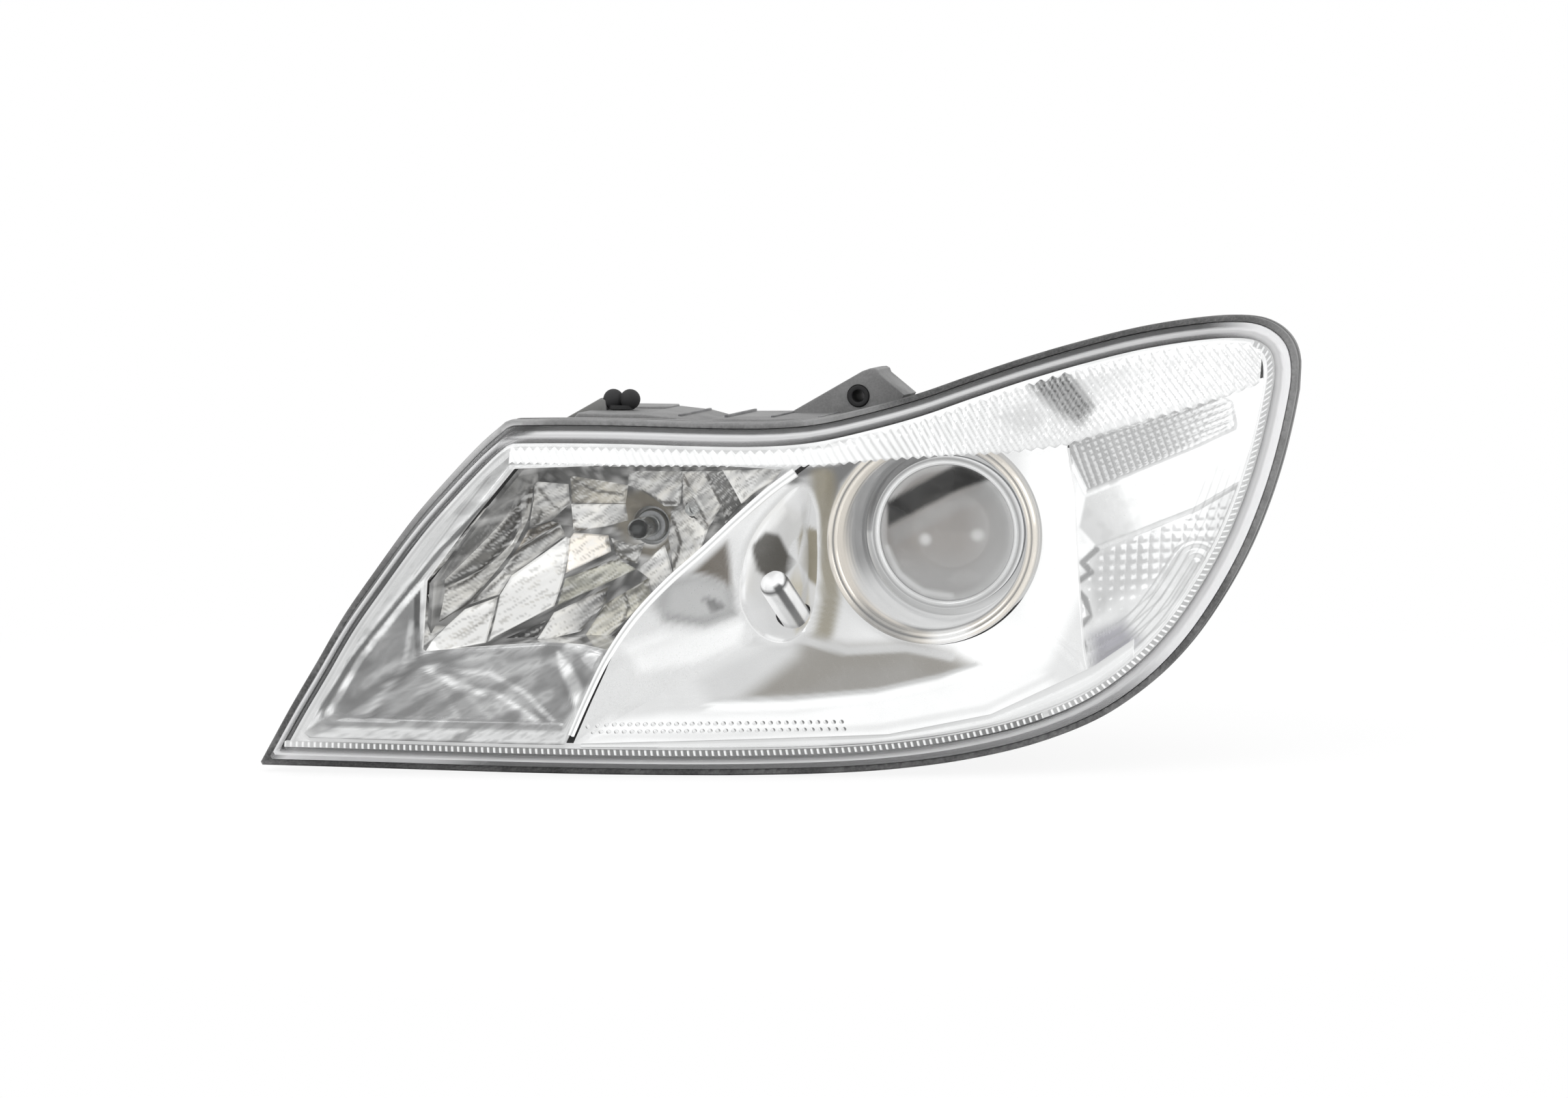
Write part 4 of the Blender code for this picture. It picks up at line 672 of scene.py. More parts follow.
def ball(radius, at, steps=40):
    angles = (math.pi * (k / 20 - 0.5) for k in range(1, 20))
    profile = [(0, -radius)] + [polar(radius, a) for a in angles] + [(0, radius)]
    return turned(profile, steps, at, fillet=0.0)


def block(x, y, z, bevel=0.0, turn=None, centre=None):
    """A box between pairs of bounds. A given centre and turn place it by its size alone."""
    bm = bmesh.new()
    bmesh.ops.create_cube(bm, size=1.0)
    size = Vector((x[1] - x[0], y[1] - y[0], z[1] - z[0]))
    bmesh.ops.scale(bm, vec=size * MM, verts=bm.verts)
    if bevel:
        bmesh.ops.bevel(bm, geom=list(bm.edges), offset=bevel * MM, segments=3, profile=0.5,
                        affect="EDGES")
    move = Matrix.Translation(Vector(centre or (sum(x) / 2, sum(y) / 2, sum(z) / 2)) * MM)
    bmesh.ops.transform(bm, matrix=move @ (turn.to_4x4() if turn else Matrix.Identity(4)),
                        verts=bm.verts)
    return solid(bm)


def spoke(size, bevel, degrees, radius, y, centre=(0, 0)):
    """A block of (radial, depth, tangential) size standing out from a Y axis."""
    angle = math.radians(degrees)
    x, z = polar(radius, angle, centre)
    return block(*((-s / 2, s / 2) for s in size), bevel,
                 turn=Matrix.Rotation(-angle, 3, "Y"), centre=(x, y, z))


def plate(points, y0, y1, bevel=0.0):
    bm = bmesh.new()
    front, back = [[bm.verts.new((x * MM, y * MM, z * MM)) for x, z in points] for y in (y0, y1)]
    caps = [bm.faces.new(front), bm.faces.new(list(reversed(back)))]
    for i in range(len(front)):
        j = (i + 1) % len(front)
        bm.faces.new((front[j], front[i], back[i], back[j]))
    bmesh.ops.recalc_face_normals(bm, faces=bm.faces)
    if bevel:
        rim = [e for f in caps for e in f.edges]
        bmesh.ops.bevel(bm, geom=list(set(rim)), offset=bevel * MM, segments=2, profile=0.5,
                        affect="EDGES")
    return solid(bm)


def loft(rings, closed=False):
    """Skin over closed rings, either joined last to first or capped at both ends."""
    bm = bmesh.new()
    rows = [[bm.verts.new(p * MM) for p in row] for row in rings]
    count = len(rows[0])
    for low, high in list(zip(rows, rows[1:])) + ([(rows[-1], rows[0])] if closed else []):
        for i in range(count):
            j = (i + 1) % count
            bm.faces.new((low[i], low[j], high[j], high[i]))
    if not closed:
        for row, flip in ((rows[0], True), (rows[-1], False)):
            hub = bm.verts.new(sum((v.co for v in row), Vector()) / count)
            for i in range(count):
                j = (i + 1) % count
                bm.faces.new((row[j], row[i], hub) if flip else (row[i], row[j], hub))
    bmesh.ops.recalc_face_normals(bm, faces=bm.faces)
    return solid(bm)


def fan(centre, rays, near, shares, far_scale=1.0):
    """Arrays of x and z on rays round a centre, one row for each share from near to far."""
    angles, far = np.array(rays).T
    radius = near + (far * far_scale - near) * np.array(shares)[:, None]
    return centre.x + radius * np.cos(angles), centre.y + radius * np.sin(angles)


def sheet(x, z, front, back, back_rows, closed=True):
    """A loft over all rows of a front surface and picked rows of a back one."""
    def rows(y, picked):
        return [[Vector(p) for p in zip(x[i], y[i], z[i])] for i in picked]
    return loft(rows(front, range(len(x))) + rows(back, back_rows), closed)


def pair(x, z, front, back):
    return Vector((x, front, z)), Vector((x, back, z))


def slab(grid):
    """A solid from an open grid of (front point, back point) pairs: rows by columns."""
    bm = bmesh.new()
    front, back = [[[bm.verts.new(p[side] * MM) for p in row] for row in grid] for side in (0, 1)]
    rows, cols = len(grid), len(grid[0])
    for i in range(rows - 1):
        for j in range(cols - 1):
            bm.faces.new((front[i][j], front[i][j + 1], front[i + 1][j + 1], front[i + 1][j]))
            bm.faces.new((back[i + 1][j], back[i + 1][j + 1], back[i][j + 1], back[i][j]))
    rim = ([(0, j) for j in range(cols)] + [(i, cols - 1) for i in range(1, rows)]
           + [(rows - 1, j) for j in range(cols - 2, -1, -1)]
           + [(i, 0) for i in range(rows - 2, 0, -1)])
    for k, (i, j) in enumerate(rim):
        m, n = rim[(k + 1) % len(rim)]
        bm.faces.new((front[m][n], front[i][j], back[i][j], back[m][n]))
    bmesh.ops.recalc_face_normals(bm, faces=bm.faces)
    return solid(bm)


def tube(points, radius, sides):
    """A round lead through the points."""
    line = spline(points, 8)
    rows, side = [], Vector((1, 0, 0))
    for i, point in enumerate(line):
        ahead = (line[min(i + 1, len(line) - 1)] - line[max(i - 1, 0)]).normalized()
        side = (side - ahead * side.dot(ahead)).normalized()
        over = ahead.cross(side)
        rows.append([point + (side * math.cos(a) + over * math.sin(a)) * radius
                     for a in turns(sides)])
    return loft(rows)


def combine(operation, obj, others):
    for other in others:
        modifier = obj.modifiers.new("boolean", "BOOLEAN")
        modifier.operation, modifier.object, modifier.solver = operation, other, "EXACT"
    return obj


def cut(obj, *others):
    return combine("DIFFERENCE", obj, others)


def join(obj, *others):
    return combine("UNION", obj, others)


def flutes(count, radius, y0, y1, circle, centre, steps, start=0.0):
    """Rods round a circle, for cutting grooves."""
    return [rod(radius, y0, y1, polar(circle, angle, centre), steps)
            for angle in turns(count, start)]


def merged(parts):
    """Several closed shells as one mesh."""
    bm = bmesh.new()
    for part in parts:
        bm.from_mesh(part.data)
        bpy.data.objects.remove(part)
    return solid(bm)


RECORD = frame["record"]
BODY_OF = {n: b for b, ns in RECORD["behaviour"]["bodies"].items() for n in ns}


def piece(node, obj, mat, angle=32.0, name=None, paint=None):
    """Bakes an object built in lamp millimetres into a piece of the model.

    It stands for its CAD node, unless it has a name of its own and only adds to the node.
    """
    bpy.context.view_layer.update()
    depsgraph = bpy.context.evaluated_depsgraph_get()
    mesh = bpy.data.meshes.new_from_object(obj.evaluated_get(depsgraph))
    mesh.transform(Matrix.Translation(OPTICAL_CENTRE * MM))
    mesh.name = name or node + "_look"
    new = bpy.data.objects.new(mesh.name, mesh)
    bpy.context.scene.collection.objects.link(new)
    for used in [obj] + [m.object for m in obj.modifiers]:
        bpy.data.objects.remove(used, do_unlink=True)
    bm = bmesh.new()
    bm.from_mesh(mesh)
    bmesh.ops.remove_doubles(bm, verts=bm.verts, dist=2e-6)
    for vert in bm.verts:
        for k in range(3):
            vert.co[k] = min(max(vert.co[k], CAD_LO[k]), CAD_HI[k])
    bm.to_mesh(mesh)
    bm.free()
    mesh.materials.clear()
    mesh.materials.append(MAT[mat])
    mesh.shade_smooth()
    mesh.set_sharp_from_angle(angle=math.radians(angle))
    if paint:
        write_tones(mesh, paint)
    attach(new, BODY_OF[node])
    if name is None:
        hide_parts(node)


def write_tones(mesh, paint):
    """Writes the tone attribute from a function of lamp coordinates, given as arrays."""
    places = np.zeros(len(mesh.vertices) * 3, np.float32)
    mesh.vertices.foreach_get("co", places)
    places = places.reshape(-1, 3).astype(float) / MM - np.array(OPTICAL_CENTRE)
    out = np.ones((len(places), 4), np.float32)
    out[:, :3] = np.clip(paint(*places.T), 0, 1)
    attribute = mesh.attributes.new("tone", "FLOAT_COLOR", "POINT")
    attribute.data.foreach_set("color", out.ravel())


# ---------------------------------------------------------------- tone painting
def segment_distance(start, end, x, z):
    (x0, z0), (x1, z1) = start, end
    side_x, side_z = x1 - x0, z1 - z0
    gap_x, gap_z = x - x0, z - z0
    share = (gap_x * side_x + gap_z * side_z) / (side_x * side_x + side_z * side_z + 1e-12)
    share = np.clip(share, 0, 1)
    return np.hypot(gap_x - side_x * share, gap_z - side_z * share)


def line_distance(line, x, z):
    best = np.full(x.shape, 1e9)
    for start, end in zip(line, line[1:]):
        best = np.minimum(best, segment_distance(start, end, x, z))
    return best


def side_distance(polygon, x, z):
    """Signed distance to a polygon's edge, positive inside."""
    inside = np.zeros(x.shape, bool)
    loop = list(polygon) + [polygon[0]]
    for (x0, z0), (x1, z1) in zip(loop, loop[1:]):
        rise = z1 - z0
        crossing = (z0 > z) != (z1 > z)
        inside ^= crossing & (x < x0 + (z - z0) * (x1 - x0) / (rise if abs(rise) > 1e-9 else 1e-9))
    best = line_distance(loop, x, z)
    return np.where(inside, best, -best)


def streaks(x, z, drift, across, pitch, seed):
    """Noise drawn out into slanting streaks."""
    return np.array([noise.noise(Vector((a * drift[0] + b * drift[1],
                                         (b * across[1] - a * across[0]) * pitch, seed)))
                     for a, b in zip(x, z)])


class Paint:
    """Display tones laid over one another on the points of a piece, as linear colours. On the
    chrome pieces most of these tones are painted reflections, highlights and shade.
    """

    def __init__(self, x, z, base):
        self.x, self.z = x, z
        self.colours = np.tile(np.array(linear(base)), (len(x), 1))

    def over(self, mask, tone):
        mask = mask[:, None]
        self.colours = self.colours * (1 - mask) + np.array(linear(tone)) * mask
        return self

    def layers(self, table):
        """Rows are (line width, tone, soft edge, amount, points). Width 0 fills the outline."""
        for width, tone, soft, amount, points in table:
            if width:
                mask = fall(line_distance(points, self.x, self.z), width / 2, width / 2 + soft)
            else:
                mask = ramp(side_distance(points, self.x, self.z), -soft / 2, soft / 2)
            self.over(amount * mask, tone)
        return self

    def clouds(self, scale, amount, tone, seed):
        cloud = np.array([noise.noise(Vector((a / scale + seed, b / scale, seed * 0.7)))
                          for a, b in zip(self.x, self.z)])
        return self.over(amount * ramp(cloud, -0.1, 0.45), tone)


# ---------------------------------------------------------------- clear cover and its sealant
def make_cover():
    inner = outline(-9.0)
    scales = (0.01, 0.12, 0.26, 0.4, 0.54, 0.67, 0.79, 0.9, 1.0)
    rows = [ring(about(inner, MIDDLE, s), cover_y) for s in scales]
    # rounded shoulder
    for inset in (-7.4, -6.0, -4.8, -3.7, -2.8, -2.0, -1.3, -0.7):
        setback = 5.5 * max(0.0, 1 + inset / 6.2) ** 2.2
        rows.append(ring(outline(inset), behind(setback)))
    # side wall out to the foot and back up its inside: (offset, depths, added depth)
    foot, end = shift(LIP, -0.9), shift(LIP, 10.2)
    halfway = [0.5 * (a + 6.2 + b - 1.2) for a, b in zip(EDGE_Y, foot)]
    for row in ((-0.2, EDGE_Y, 4.9), (0.0, EDGE_Y, 6.2), (0.35, halfway, 0.0), (0.8, foot, -1.2),
                (1.3, foot, -0.3), (2.1, foot, 0.0), (3.7, foot, 0.0), (4.2, foot, 0.5),
                (4.3, foot, 3.0), (4.3, end, -0.4), (3.9, end, 0.0), (-1.2, end, 0.0),
                (-1.5, end, -0.6), (-3.0, EDGE_Y, 7.4)):
        rows.append(edge_ring(*row))
    for inset, extra in ((-3.6, 2.6), (-5.0, 0.9), (-7.0, 0.15)):
        rows.append(ring(outline(inset), behind(COVER_WALL + extra)))
    return loft(rows + [ring(about(inner, MIDDLE, s), behind(COVER_WALL))
                        for s in reversed(scales)])


def paint_cover(x, y, z):
    """Painted glare: a pale rim, held back along the top, the inboard side and the bottom."""
    inside = side_distance(EDGE_POLY, x, z)
    pale = 0.58 * fall(inside, 0.4, 4.0) + 0.26 * fall(inside, -0.9, -0.1)
    top = ramp(z - 0.2 * np.maximum(x, 0), 40, 50) * fall(x, 120, 150) * ramp(x, -208, -196)
    pale = pale * (1 - 0.93 * top * fall(inside, -2.4, -0.6))
    pale = pale * (1 - 0.7 * top * ramp(inside, 0.2, 1.2))
    inboard = fall(x - 0.72 * z, -236, -226)
    pale = pale * (1 - 0.86 * inboard * fall(inside, -0.4, 0.4))
    bottom = fall(z, -84, -50) * ramp(x, -240, -200)
    pale = pale * (1 - 0.75 * bottom * fall(inside, -1.2, -0.4))
    return np.stack([pale, pale, pale], 1)


piece("cover_lens", make_cover(), "cover", 50, paint=paint_cover)
# rows: offset from the cover's edge, depth behind the lip
SEALANT = ((3.9, 10.6), (4.2, 11.1), (4.2, 13.6), (-3.4, 13.6), (-3.4, 11.1), (-3.0, 10.6))
piece("lens_sealant", loft([edge_ring(o, LIP, by) for o, by in SEALANT], closed=True), "sealant")

# ---------------------------------------------------------------- housing
BACK_CENTRE = Vector((-50.0, -15.0))
BACK_Y = [0.30 * y + 78 for y in EDGE_Y]
HUMP = [(-195, 30), (-192, 49), (-184, 58.6), (-162.5, 58.6), (-150, 58.6), (-134, 57),
        (-124, 54.5), (-113, 56.6), (-88, 57), (-60, 57.5), (-40, 52), (-38, 30)]
UPPER_ARM = [(-100, 50), (-50, 78.6), (-46, 80), (-43.5, 80.2), (-41.8, 79.2), (-41, 77.2),
             (-28, 66.8), (-32, 60), (-60, 40)]
PILLARS = [polar(33, angle, BEAM) for angle in (math.pi / 3, math.pi, -math.pi / 3)]
SCREWS = [polar(48, math.radians(degrees)) for degrees in (60, 180, 300)]
MOTOR_SCREWS = ((-109, -40), (-71, -80))


def body_ring(share, wall):
    """A ring of the housing body between the lip and the smaller back, inside a wall."""
    outer, back = outline(1.0 - wall), about(outline(-wall), BACK_CENTRE, 0.80)
    depths = [lip + 20 + (end - wall - lip - 20) * share for lip, end in zip(LIP, BACK_Y)]
    closing = smooth((share - 0.3) / 0.7)
    return [Vector((p.x + (q.x - p.x) * closing, y, p.y + (q.y - p.y) * closing))
            for p, q, y in zip(outer, back, depths)]


def make_housing():
    # rim with a groove round it: (inset from the rim, depth behind the lip)
    rim = ((0.8, 0), (0, 0.8), (0, 6.2), (0.9, 7.0), (0.9, 10.6), (0, 11.4), (0, 16.4),
           (0.7, 17.2))
    housing = loft([edge_ring(RIM_OUT - inset, LIP, by) for inset, by in rim]
                   + [body_ring(s, 0.0) for s in (0.03, 0.2, 0.35, 0.5, 0.65, 0.8, 0.95)]
                   + [body_ring(1.0, 0.6)])
    join(housing,
         plate(HUMP, -26, 50, 1.6),
         block((-182.6, -151.4), (21, 49.6), (54, PAD_Z), 0.7),
         # buckets and collars of the two lamps
         turned([(0, 12), (BUCKET_R, 12), (BUCKET_R, BUCKET_Y), (0, BUCKET_Y)], 96, fillet=2.2),
         turned([(0, 120), (53.5, 120), (53.5, 142), (0, 142)], 96, fillet=0.7),
         turned([(0, 5), (BEAM_BUCKET_R, 5), (BEAM_BUCKET_R, BEAM_BUCKET_Y), (0, BEAM_BUCKET_Y)],
                80, BEAM, fillet=2.0),
         turned([(0, 50), (37, 50), (37, 72), (0, 72)], 80, BEAM, fillet=0.7),
         # bosses: levelling motor, fixed pivot, its stud, horizontal adjuster, vent, turn bulb
         block((-115, -65), (36, 60), (-86, -34), 1.0),
         block((-107, -73), (36, 60), (15, 45), 1.0),
         turned([(0, 50), (8, 50), (8, 66), (0, 66)], 48, PIVOT),
         turned([(0, 60), (10.5, 60), (10.5, 88), (0, 88)], 48, TRIM),
         turned([(0, 62), (7, 62), (7, 91), (0, 91)], 48, VENT),
         turn_rod(13.8, -40, -76, 56),
         # mounts: upper outer arm, lower foot, side pad
         plate(UPPER_ARM, 28, 56, 0.8),
         block((-153, -113), (10, 42), (FOOT_Z, -70), 0.9),
         block((104, 138), (62, 100), (6, 42), 0.9),
         *(spoke((5.2, 3.4, 16), 0.4, 90 + 120 * n, 53.0, 137.7) for n in range(3)))
    ahead = shift(LIP, -30)
    hollow = ((0.04, 6.5), (0.3, 4.0), (0.5, 2.6), (0.75, 2.6), (1.0, 2.6))
    return cut(
        housing,
        loft([ring(outline(-6.5), ahead), edge_ring(-6.5, LIP, 19)]
             + [body_ring(share, wall) for share, wall in hollow]),
        # groove for the cover's foot
        loft([ring(outline(4.6), ahead), edge_ring(4.6, LIP, 14), edge_ring(-3.8, LIP, 14),
              ring(outline(-3.8), ahead)], closed=True),
        plate([(x * 0.985 - 1.7, z - 2.4) for x, z in HUMP], -23.6, 47.6),
        rod(BUCKET_R - 2.6, 20, BUCKET_Y - 2.6, steps=96),
        rod(48.0, 100, 150, steps=96),
        rod(BEAM_BUCKET_R - 2.6, -5, BEAM_BUCKET_Y - 2.6, BEAM, 80),
        rod(33.5, 40, 80, BEAM, 80),
        rod(9.0, 20, 70, LEVEL, 40),
        block((-104.5, -75.5), (30, 54.5), (17.5, 42.5)),
        block((-101, -79), (30, 54.5), (-71, -49)),
        rod(3.4, 30, 62, PIVOT, 32),
        rod(7.4, 50, 80.5, TRIM, 32),
        rod(4.8, 50, 95, TRIM, 32),
        rod(4.2, 40, 98, VENT, 32),
        turn_rod(9.8, -30, -80, 48),
        # mounting holes, each with its sink for a grommet, and the buffer's hole
        rod(5.8, 20, 64, UPPER_HOLE, 32),
        rod(8.7, 53.6, 64, UPPER_HOLE, 40),
        rod_between(4.0, (-170, 6, 50), (-170, 6, 64), 32),
        rod_between(5.8, (-143, 26, -112), (-143, 26, -97), 32),
        rod_between(8.7, (-143, 26, -112), (-143, 26, -103.6), 40),
        rod_between(5.8, (126, 90, 24), (144, 90, 24), 32),
        rod_between(8.7, (135.6, 90, 24), (144, 90, 24), 40),
        block((-28, 8), (40, 90), (-84, -64)),
        *(rod(2.2, 51, 64, at, 24) for at in MOTOR_SCREWS))


def housing_ribs():
    """Stiffening webs on the back of the housing, each sunk into what it braces."""
    parts = [spoke((12, 42, 1.6), 0.35, degrees, 63.0, 98)
             for degrees in (20, 48, 132, 160, 200, 228, 312, 340)]
    parts += [spoke((6, 26, 1.4), 0.3, degrees, 42.0, 48, BEAM)
              for degrees in (15, 75, 125, 235, 290, 345)]
    parts += [block((-135 + 24 * n, -133.4 + 24 * n), (-14, 46), (50, 57.9), 0.35)
              for n in range(4)]
    parts += [block((-151.5 + 9.2 * n, -150 + 9.2 * n), (41, 45.5), (-104, -74), 0.3)
              for n in range(5)]
    return merged(parts)


def paint_housing(x, y, z):
    out = -side_distance(EDGE_POLY, x, z)
    front = fall(y - cover_y(x, z), 16, 22)
    inboard = fall(x - 0.72 * z, -236, -224) * front
    top = ramp(z, 52.5, 56) * fall(x, -34, -22) * ramp(x, -200, -192)
    return (Paint(x, z, 58)
            .over(0.35 * ramp(np.sin(x * 0.021 + 1.3) * np.sin(z * 0.043), -0.6, 0.9), 72)
            # painted glare: near white on the inboard rim and down to the lower inboard tip, with
            # two darker lines in it
            .over(inboard, 236)
            .over(inboard * ramp(out, 6.6, 7.2), 108)
            .over(inboard * fall(np.abs(out - 4.7), 0.1, 0.5), 118)
            .over(fall(x, -318, -215) * fall(z, -100, -70) * front, 246)
            .over(ramp(x, 135, 162) * 0.8, 104)
            # painted light on the top
            .over(top * fall(y, 52, 60) * 0.85, 120)).colours


piece("housing", make_housing(), "toned_plastic", 34, paint=paint_housing)
piece("housing", housing_ribs(), "housing", 30, name="housing_webs")

# ---------------------------------------------------------------- bright surround of the projector
SHROUD_TILT = Vector((0.12, 0.10))
ORIGIN = Vector((0.0, 0.0))
MOUTH_R = 52.6
# Lower edge of the fluted top band and upper edge of the bottom band.
BAND_LOW = [(-210, 37), (-149, 36), (-52, 36), (-20, 39), (12, 41), (37, 42), (62, 45), (89, 54),
            (117, 62), (135, 68), (155, 76)]
RIB_HIGH = [(-170, -97), (-108, -95), (-13, -92), (34, -83), (80, -61), (104, -44)]
CHAMBER = (run(-7.8, (-44, 50), (59, 86))[::2]
           + [Vector(p) for p in ((62, 76), (62.7, 44.2), (67.6, 23), (69.6, 0), (71.6, -20),
                                  (74.6, -50), (77.4, -71))]
           + run(-7.8, (74, -83), (-156, -106))[::3]
           + [p for p in reversed(beside(DIVIDER_LINE, 1.0)) if p.y > -98][::3])
# Opening for the turn bulb.
TURN_CENTRE = Vector((-71.0, -14.0))
TURN_MOUTH = round_loop([(-62, 26), (-75, 14), (-85, -1), (-90, -18), (-90, -35), (-82, -48),
                         (-69, -51), (-60, -42), (-57, -24), (-57, 0), (-58, 16)], 6)
# Two shaded hollows left of and below the projector.
SWOOSH = [(-108.8, -68.6), (-100.3, -79.5), (-64, -78.8), (-24.1, -75.5), (6.1, -68.9),
          (23, -62.9), (9.7, -56.6), (-11.5, -52.2), (-40.7, -53.5), (-70.6, -45.3),
          (-73.1, -49.4), (-88.9, -57.6)]
SWIRL = [(-120.7, -19.5), (-110.1, -15.3), (-100.4, -18), (-91.8, -26.2), (-92.6, -35.7),
         (-105.9, -41.2), (-122.4, -38.6), (-126.9, -30.4)]
FLOOR_STEP = [(-160, -96), (20, -96), (66, -68), (60, -58), (30, -60), (6, -66), (-24, -73),
              (-64, -76), (-100, -77.5), (-128, -78), (-150, -84)]


def mouth_y(x, z, y=0.0):
    return y + SHROUD_TILT.x * x + SHROUD_TILT.y * z


def chamber_at(far, angle, radius):
    """Depth of the surround on a ray that meets its outline at the far radius."""
    ray = Vector((math.cos(angle), math.sin(angle)))
    share = max(0.0, (radius - MOUTH_R) / max(far - MOUTH_R, 1e-6))
    edge = ray * far
    under_band = max(smooth((edge.y - along(BAND_LOW, edge.x) + 9) / 6),
                     smooth((-56 - edge.y) / 8))
    mouth = mouth_y(ray.x * MOUTH_R, ray.y * MOUTH_R, -30.5)
    rim = float(cover_y(edge.x, edge.y)) + 8.0 + 3.5 * under_band
    return mouth + (rim - mouth) * share ** 1.25


def chamber_y(x, z):
    angle = math.atan2(z, x)
    return chamber_at(reach(CHAMBER, ORIGIN, angle), angle, math.hypot(x, z))


def relief_bezel(x, z):
    outside = -side_distance(TURN_MOUTH, x, z)
    return (0.3 * ramp(side_distance(SWOOSH, x, z), -3, 6.0)
            - 0.5 * ramp(side_distance(SWIRL, x, z), -2, 8)
            + 1.0 * ramp(side_distance(FLOOR_STEP, x, z), -1.6, 2.0) * fall(x, -10, 40)
            - 1.2 * ramp(outside, 4.5, 1.0) * ramp(outside, -1, 0.4))


def make_bezel():
    row_count = 44
    rays = star(CHAMBER, ORIGIN, 330)
    shares = [0.0, 0.008] + [0.02 + 0.965 * k / (row_count - 1) for k in range(row_count)]
    shares += [0.992]
    x, z = fan(ORIGIN, rays, MOUTH_R, shares)
    base = np.array([[chamber_at(far, angle, MOUTH_R + (far - MOUTH_R) * share)
                      for angle, far in rays] for share in shares])
    fade = np.array([min(1.0, s * 14, (0.995 - s) * 14) for s in shares])[:, None]
    front = base + relief_bezel(x, z) * np.clip(fade, 0, 1)
    shell = sheet(x, z, front, np.maximum(base + 2.2, front + 1.0),
                  (len(shares) - 1, 30, 20, 12, 6, 0))
    return cut(shell, plate(TURN_MOUTH, -110, 10))


# Tables of paint layers: (line width or 0 to fill, tone, soft edge, amount, points).
ABOVE_SHROUD = [
    (0, 122, 4, 1, [(-63.6, 36.5), (-51.4, 37.6), (-40, 38), (-30, 44), (-20, 47), (-34, 40),
                    (-46, 26), (-52.1, 8.3), (-54.7, 5.6), (-57.1, 21.9), (-68.5, 28.7)]),
    (0, 205, 3, 0.7, [(-62, 30), (-58.3, 21.6), (-54, 12), (-53, 22), (-52, 33)]),
]
BEZEL_LAYERS = [
    (4.0, (142, 136, 120), 5, 0.88, [(-53, 30), (-54, 4), (-52, -14), (-50, -30), (-52, -46),
                                     (-56, -56)]),
    # left of the turn bulb's bowl
    (0, (104, 98, 90), 3.5, 1, [(-109, -15), (-93.5, 0.0), (-94.0, -27.0), (-97.5, -21.1),
                                (-104.2, -16.7)]),
    (0, 168, 6, 1, SWIRL),
    (0, 188, 5, 0.7, [(-118, -22), (-108, -19), (-98, -24), (-96, -33), (-108, -38),
                      (-121, -35)]),
    (0, 118, 2.5, 1, [(-106.6, -27.6), (-101.1, -28.9), (-96.8, -33), (-102.1, -35.8)]),
    (0.8, 140, 3.0, 0.6, [(-121, -37), (-106, -40.5), (-93, -36)]),
    (0, 240, 5, 0.9, [(-140, -50), (-124, -44), (-106, -45), (-88, -40), (-92, -52),
                      (-110, -60), (-134, -64)]),
    # the lower hollow
    (0, 205, 9.0, 1, SWOOSH),
    (0, (148, 145, 140), 11, 1, [(-88, -79), (-24.1, -75.5), (6.1, -68.9), (23, -62.9),
                                 (9.7, -56.6), (-11.5, -52.2), (-40.7, -53.5), (-62, -49),
                                 (-64, -58)]),
    (0, (154, 152, 149), 9, 0.7, [(-60, -76), (-20, -73), (4, -67), (-10, -62), (-40, -64)]),
    (1.8, 205, 2.0, 0.8, [(-86, -52), (-70, -47.6), (-41, -55.4), (-12, -54), (10, -58)]),
    (1.6, 198, 1.4, 0.85, [(-100, -78), (-64, -77.4), (-24, -74), (6, -67.4), (22, -62)]),
    (2.2, 250, 2.2, 1, [(-100, -81), (-64, -80.4), (-24, -77), (6, -70.4), (24, -64)]),
    # the floor
    (0, 247, 6, 1, [(-160, -99), (20, -99), (66, -70), (60, -60), (26, -66), (0, -74),
                    (-60, -83), (-120, -84), (-150, -88)]),
    (0, 226, 9, 1, [(56, -64), (74, -26), (84, -60), (82, -78), (68, -78)]),
    (1.0, 214, 2, 0.5, [(-150, -94), (-100, -93.5), (-20, -90), (30, -81), (60, -66)]),
    (0, 213, 3, 1, [(-60, 36), (-46, 36), (-46, 46), (-60, 46)]),
]


def paint_bezel(x, y, z):
    radius = np.hypot(x, z)
    return (Paint(x, z, 234)
            .over(ramp(x, -30, 30) * fall(z, -50, -20), 252)
            .over(fall(x, -60, 0) * fall(z, -20, 20) * 0.8, 213)
            # shade round the shroud
            .over(fall(radius, 53, 57) * 0.20 * ramp(-x, -10, 24), 186)
            .over(fall(radius, 52, 62) * ramp(z, 10, 40) * ramp(-x, -20, 10) * 0.5, 156)
            .layers(ABOVE_SHROUD)
            .over(ramp(x, 36, 48), 254)
            .layers(BEZEL_LAYERS)
            .over(fall(-side_distance(TURN_MOUTH, x, z), 0.8, 2.6) * 0.9, 214)
            .clouds(scale=26, amount=0.07, tone=205, seed=3.1)).colours


piece("bezel", make_bezel(), "tone_soft", 30, paint=paint_bezel)

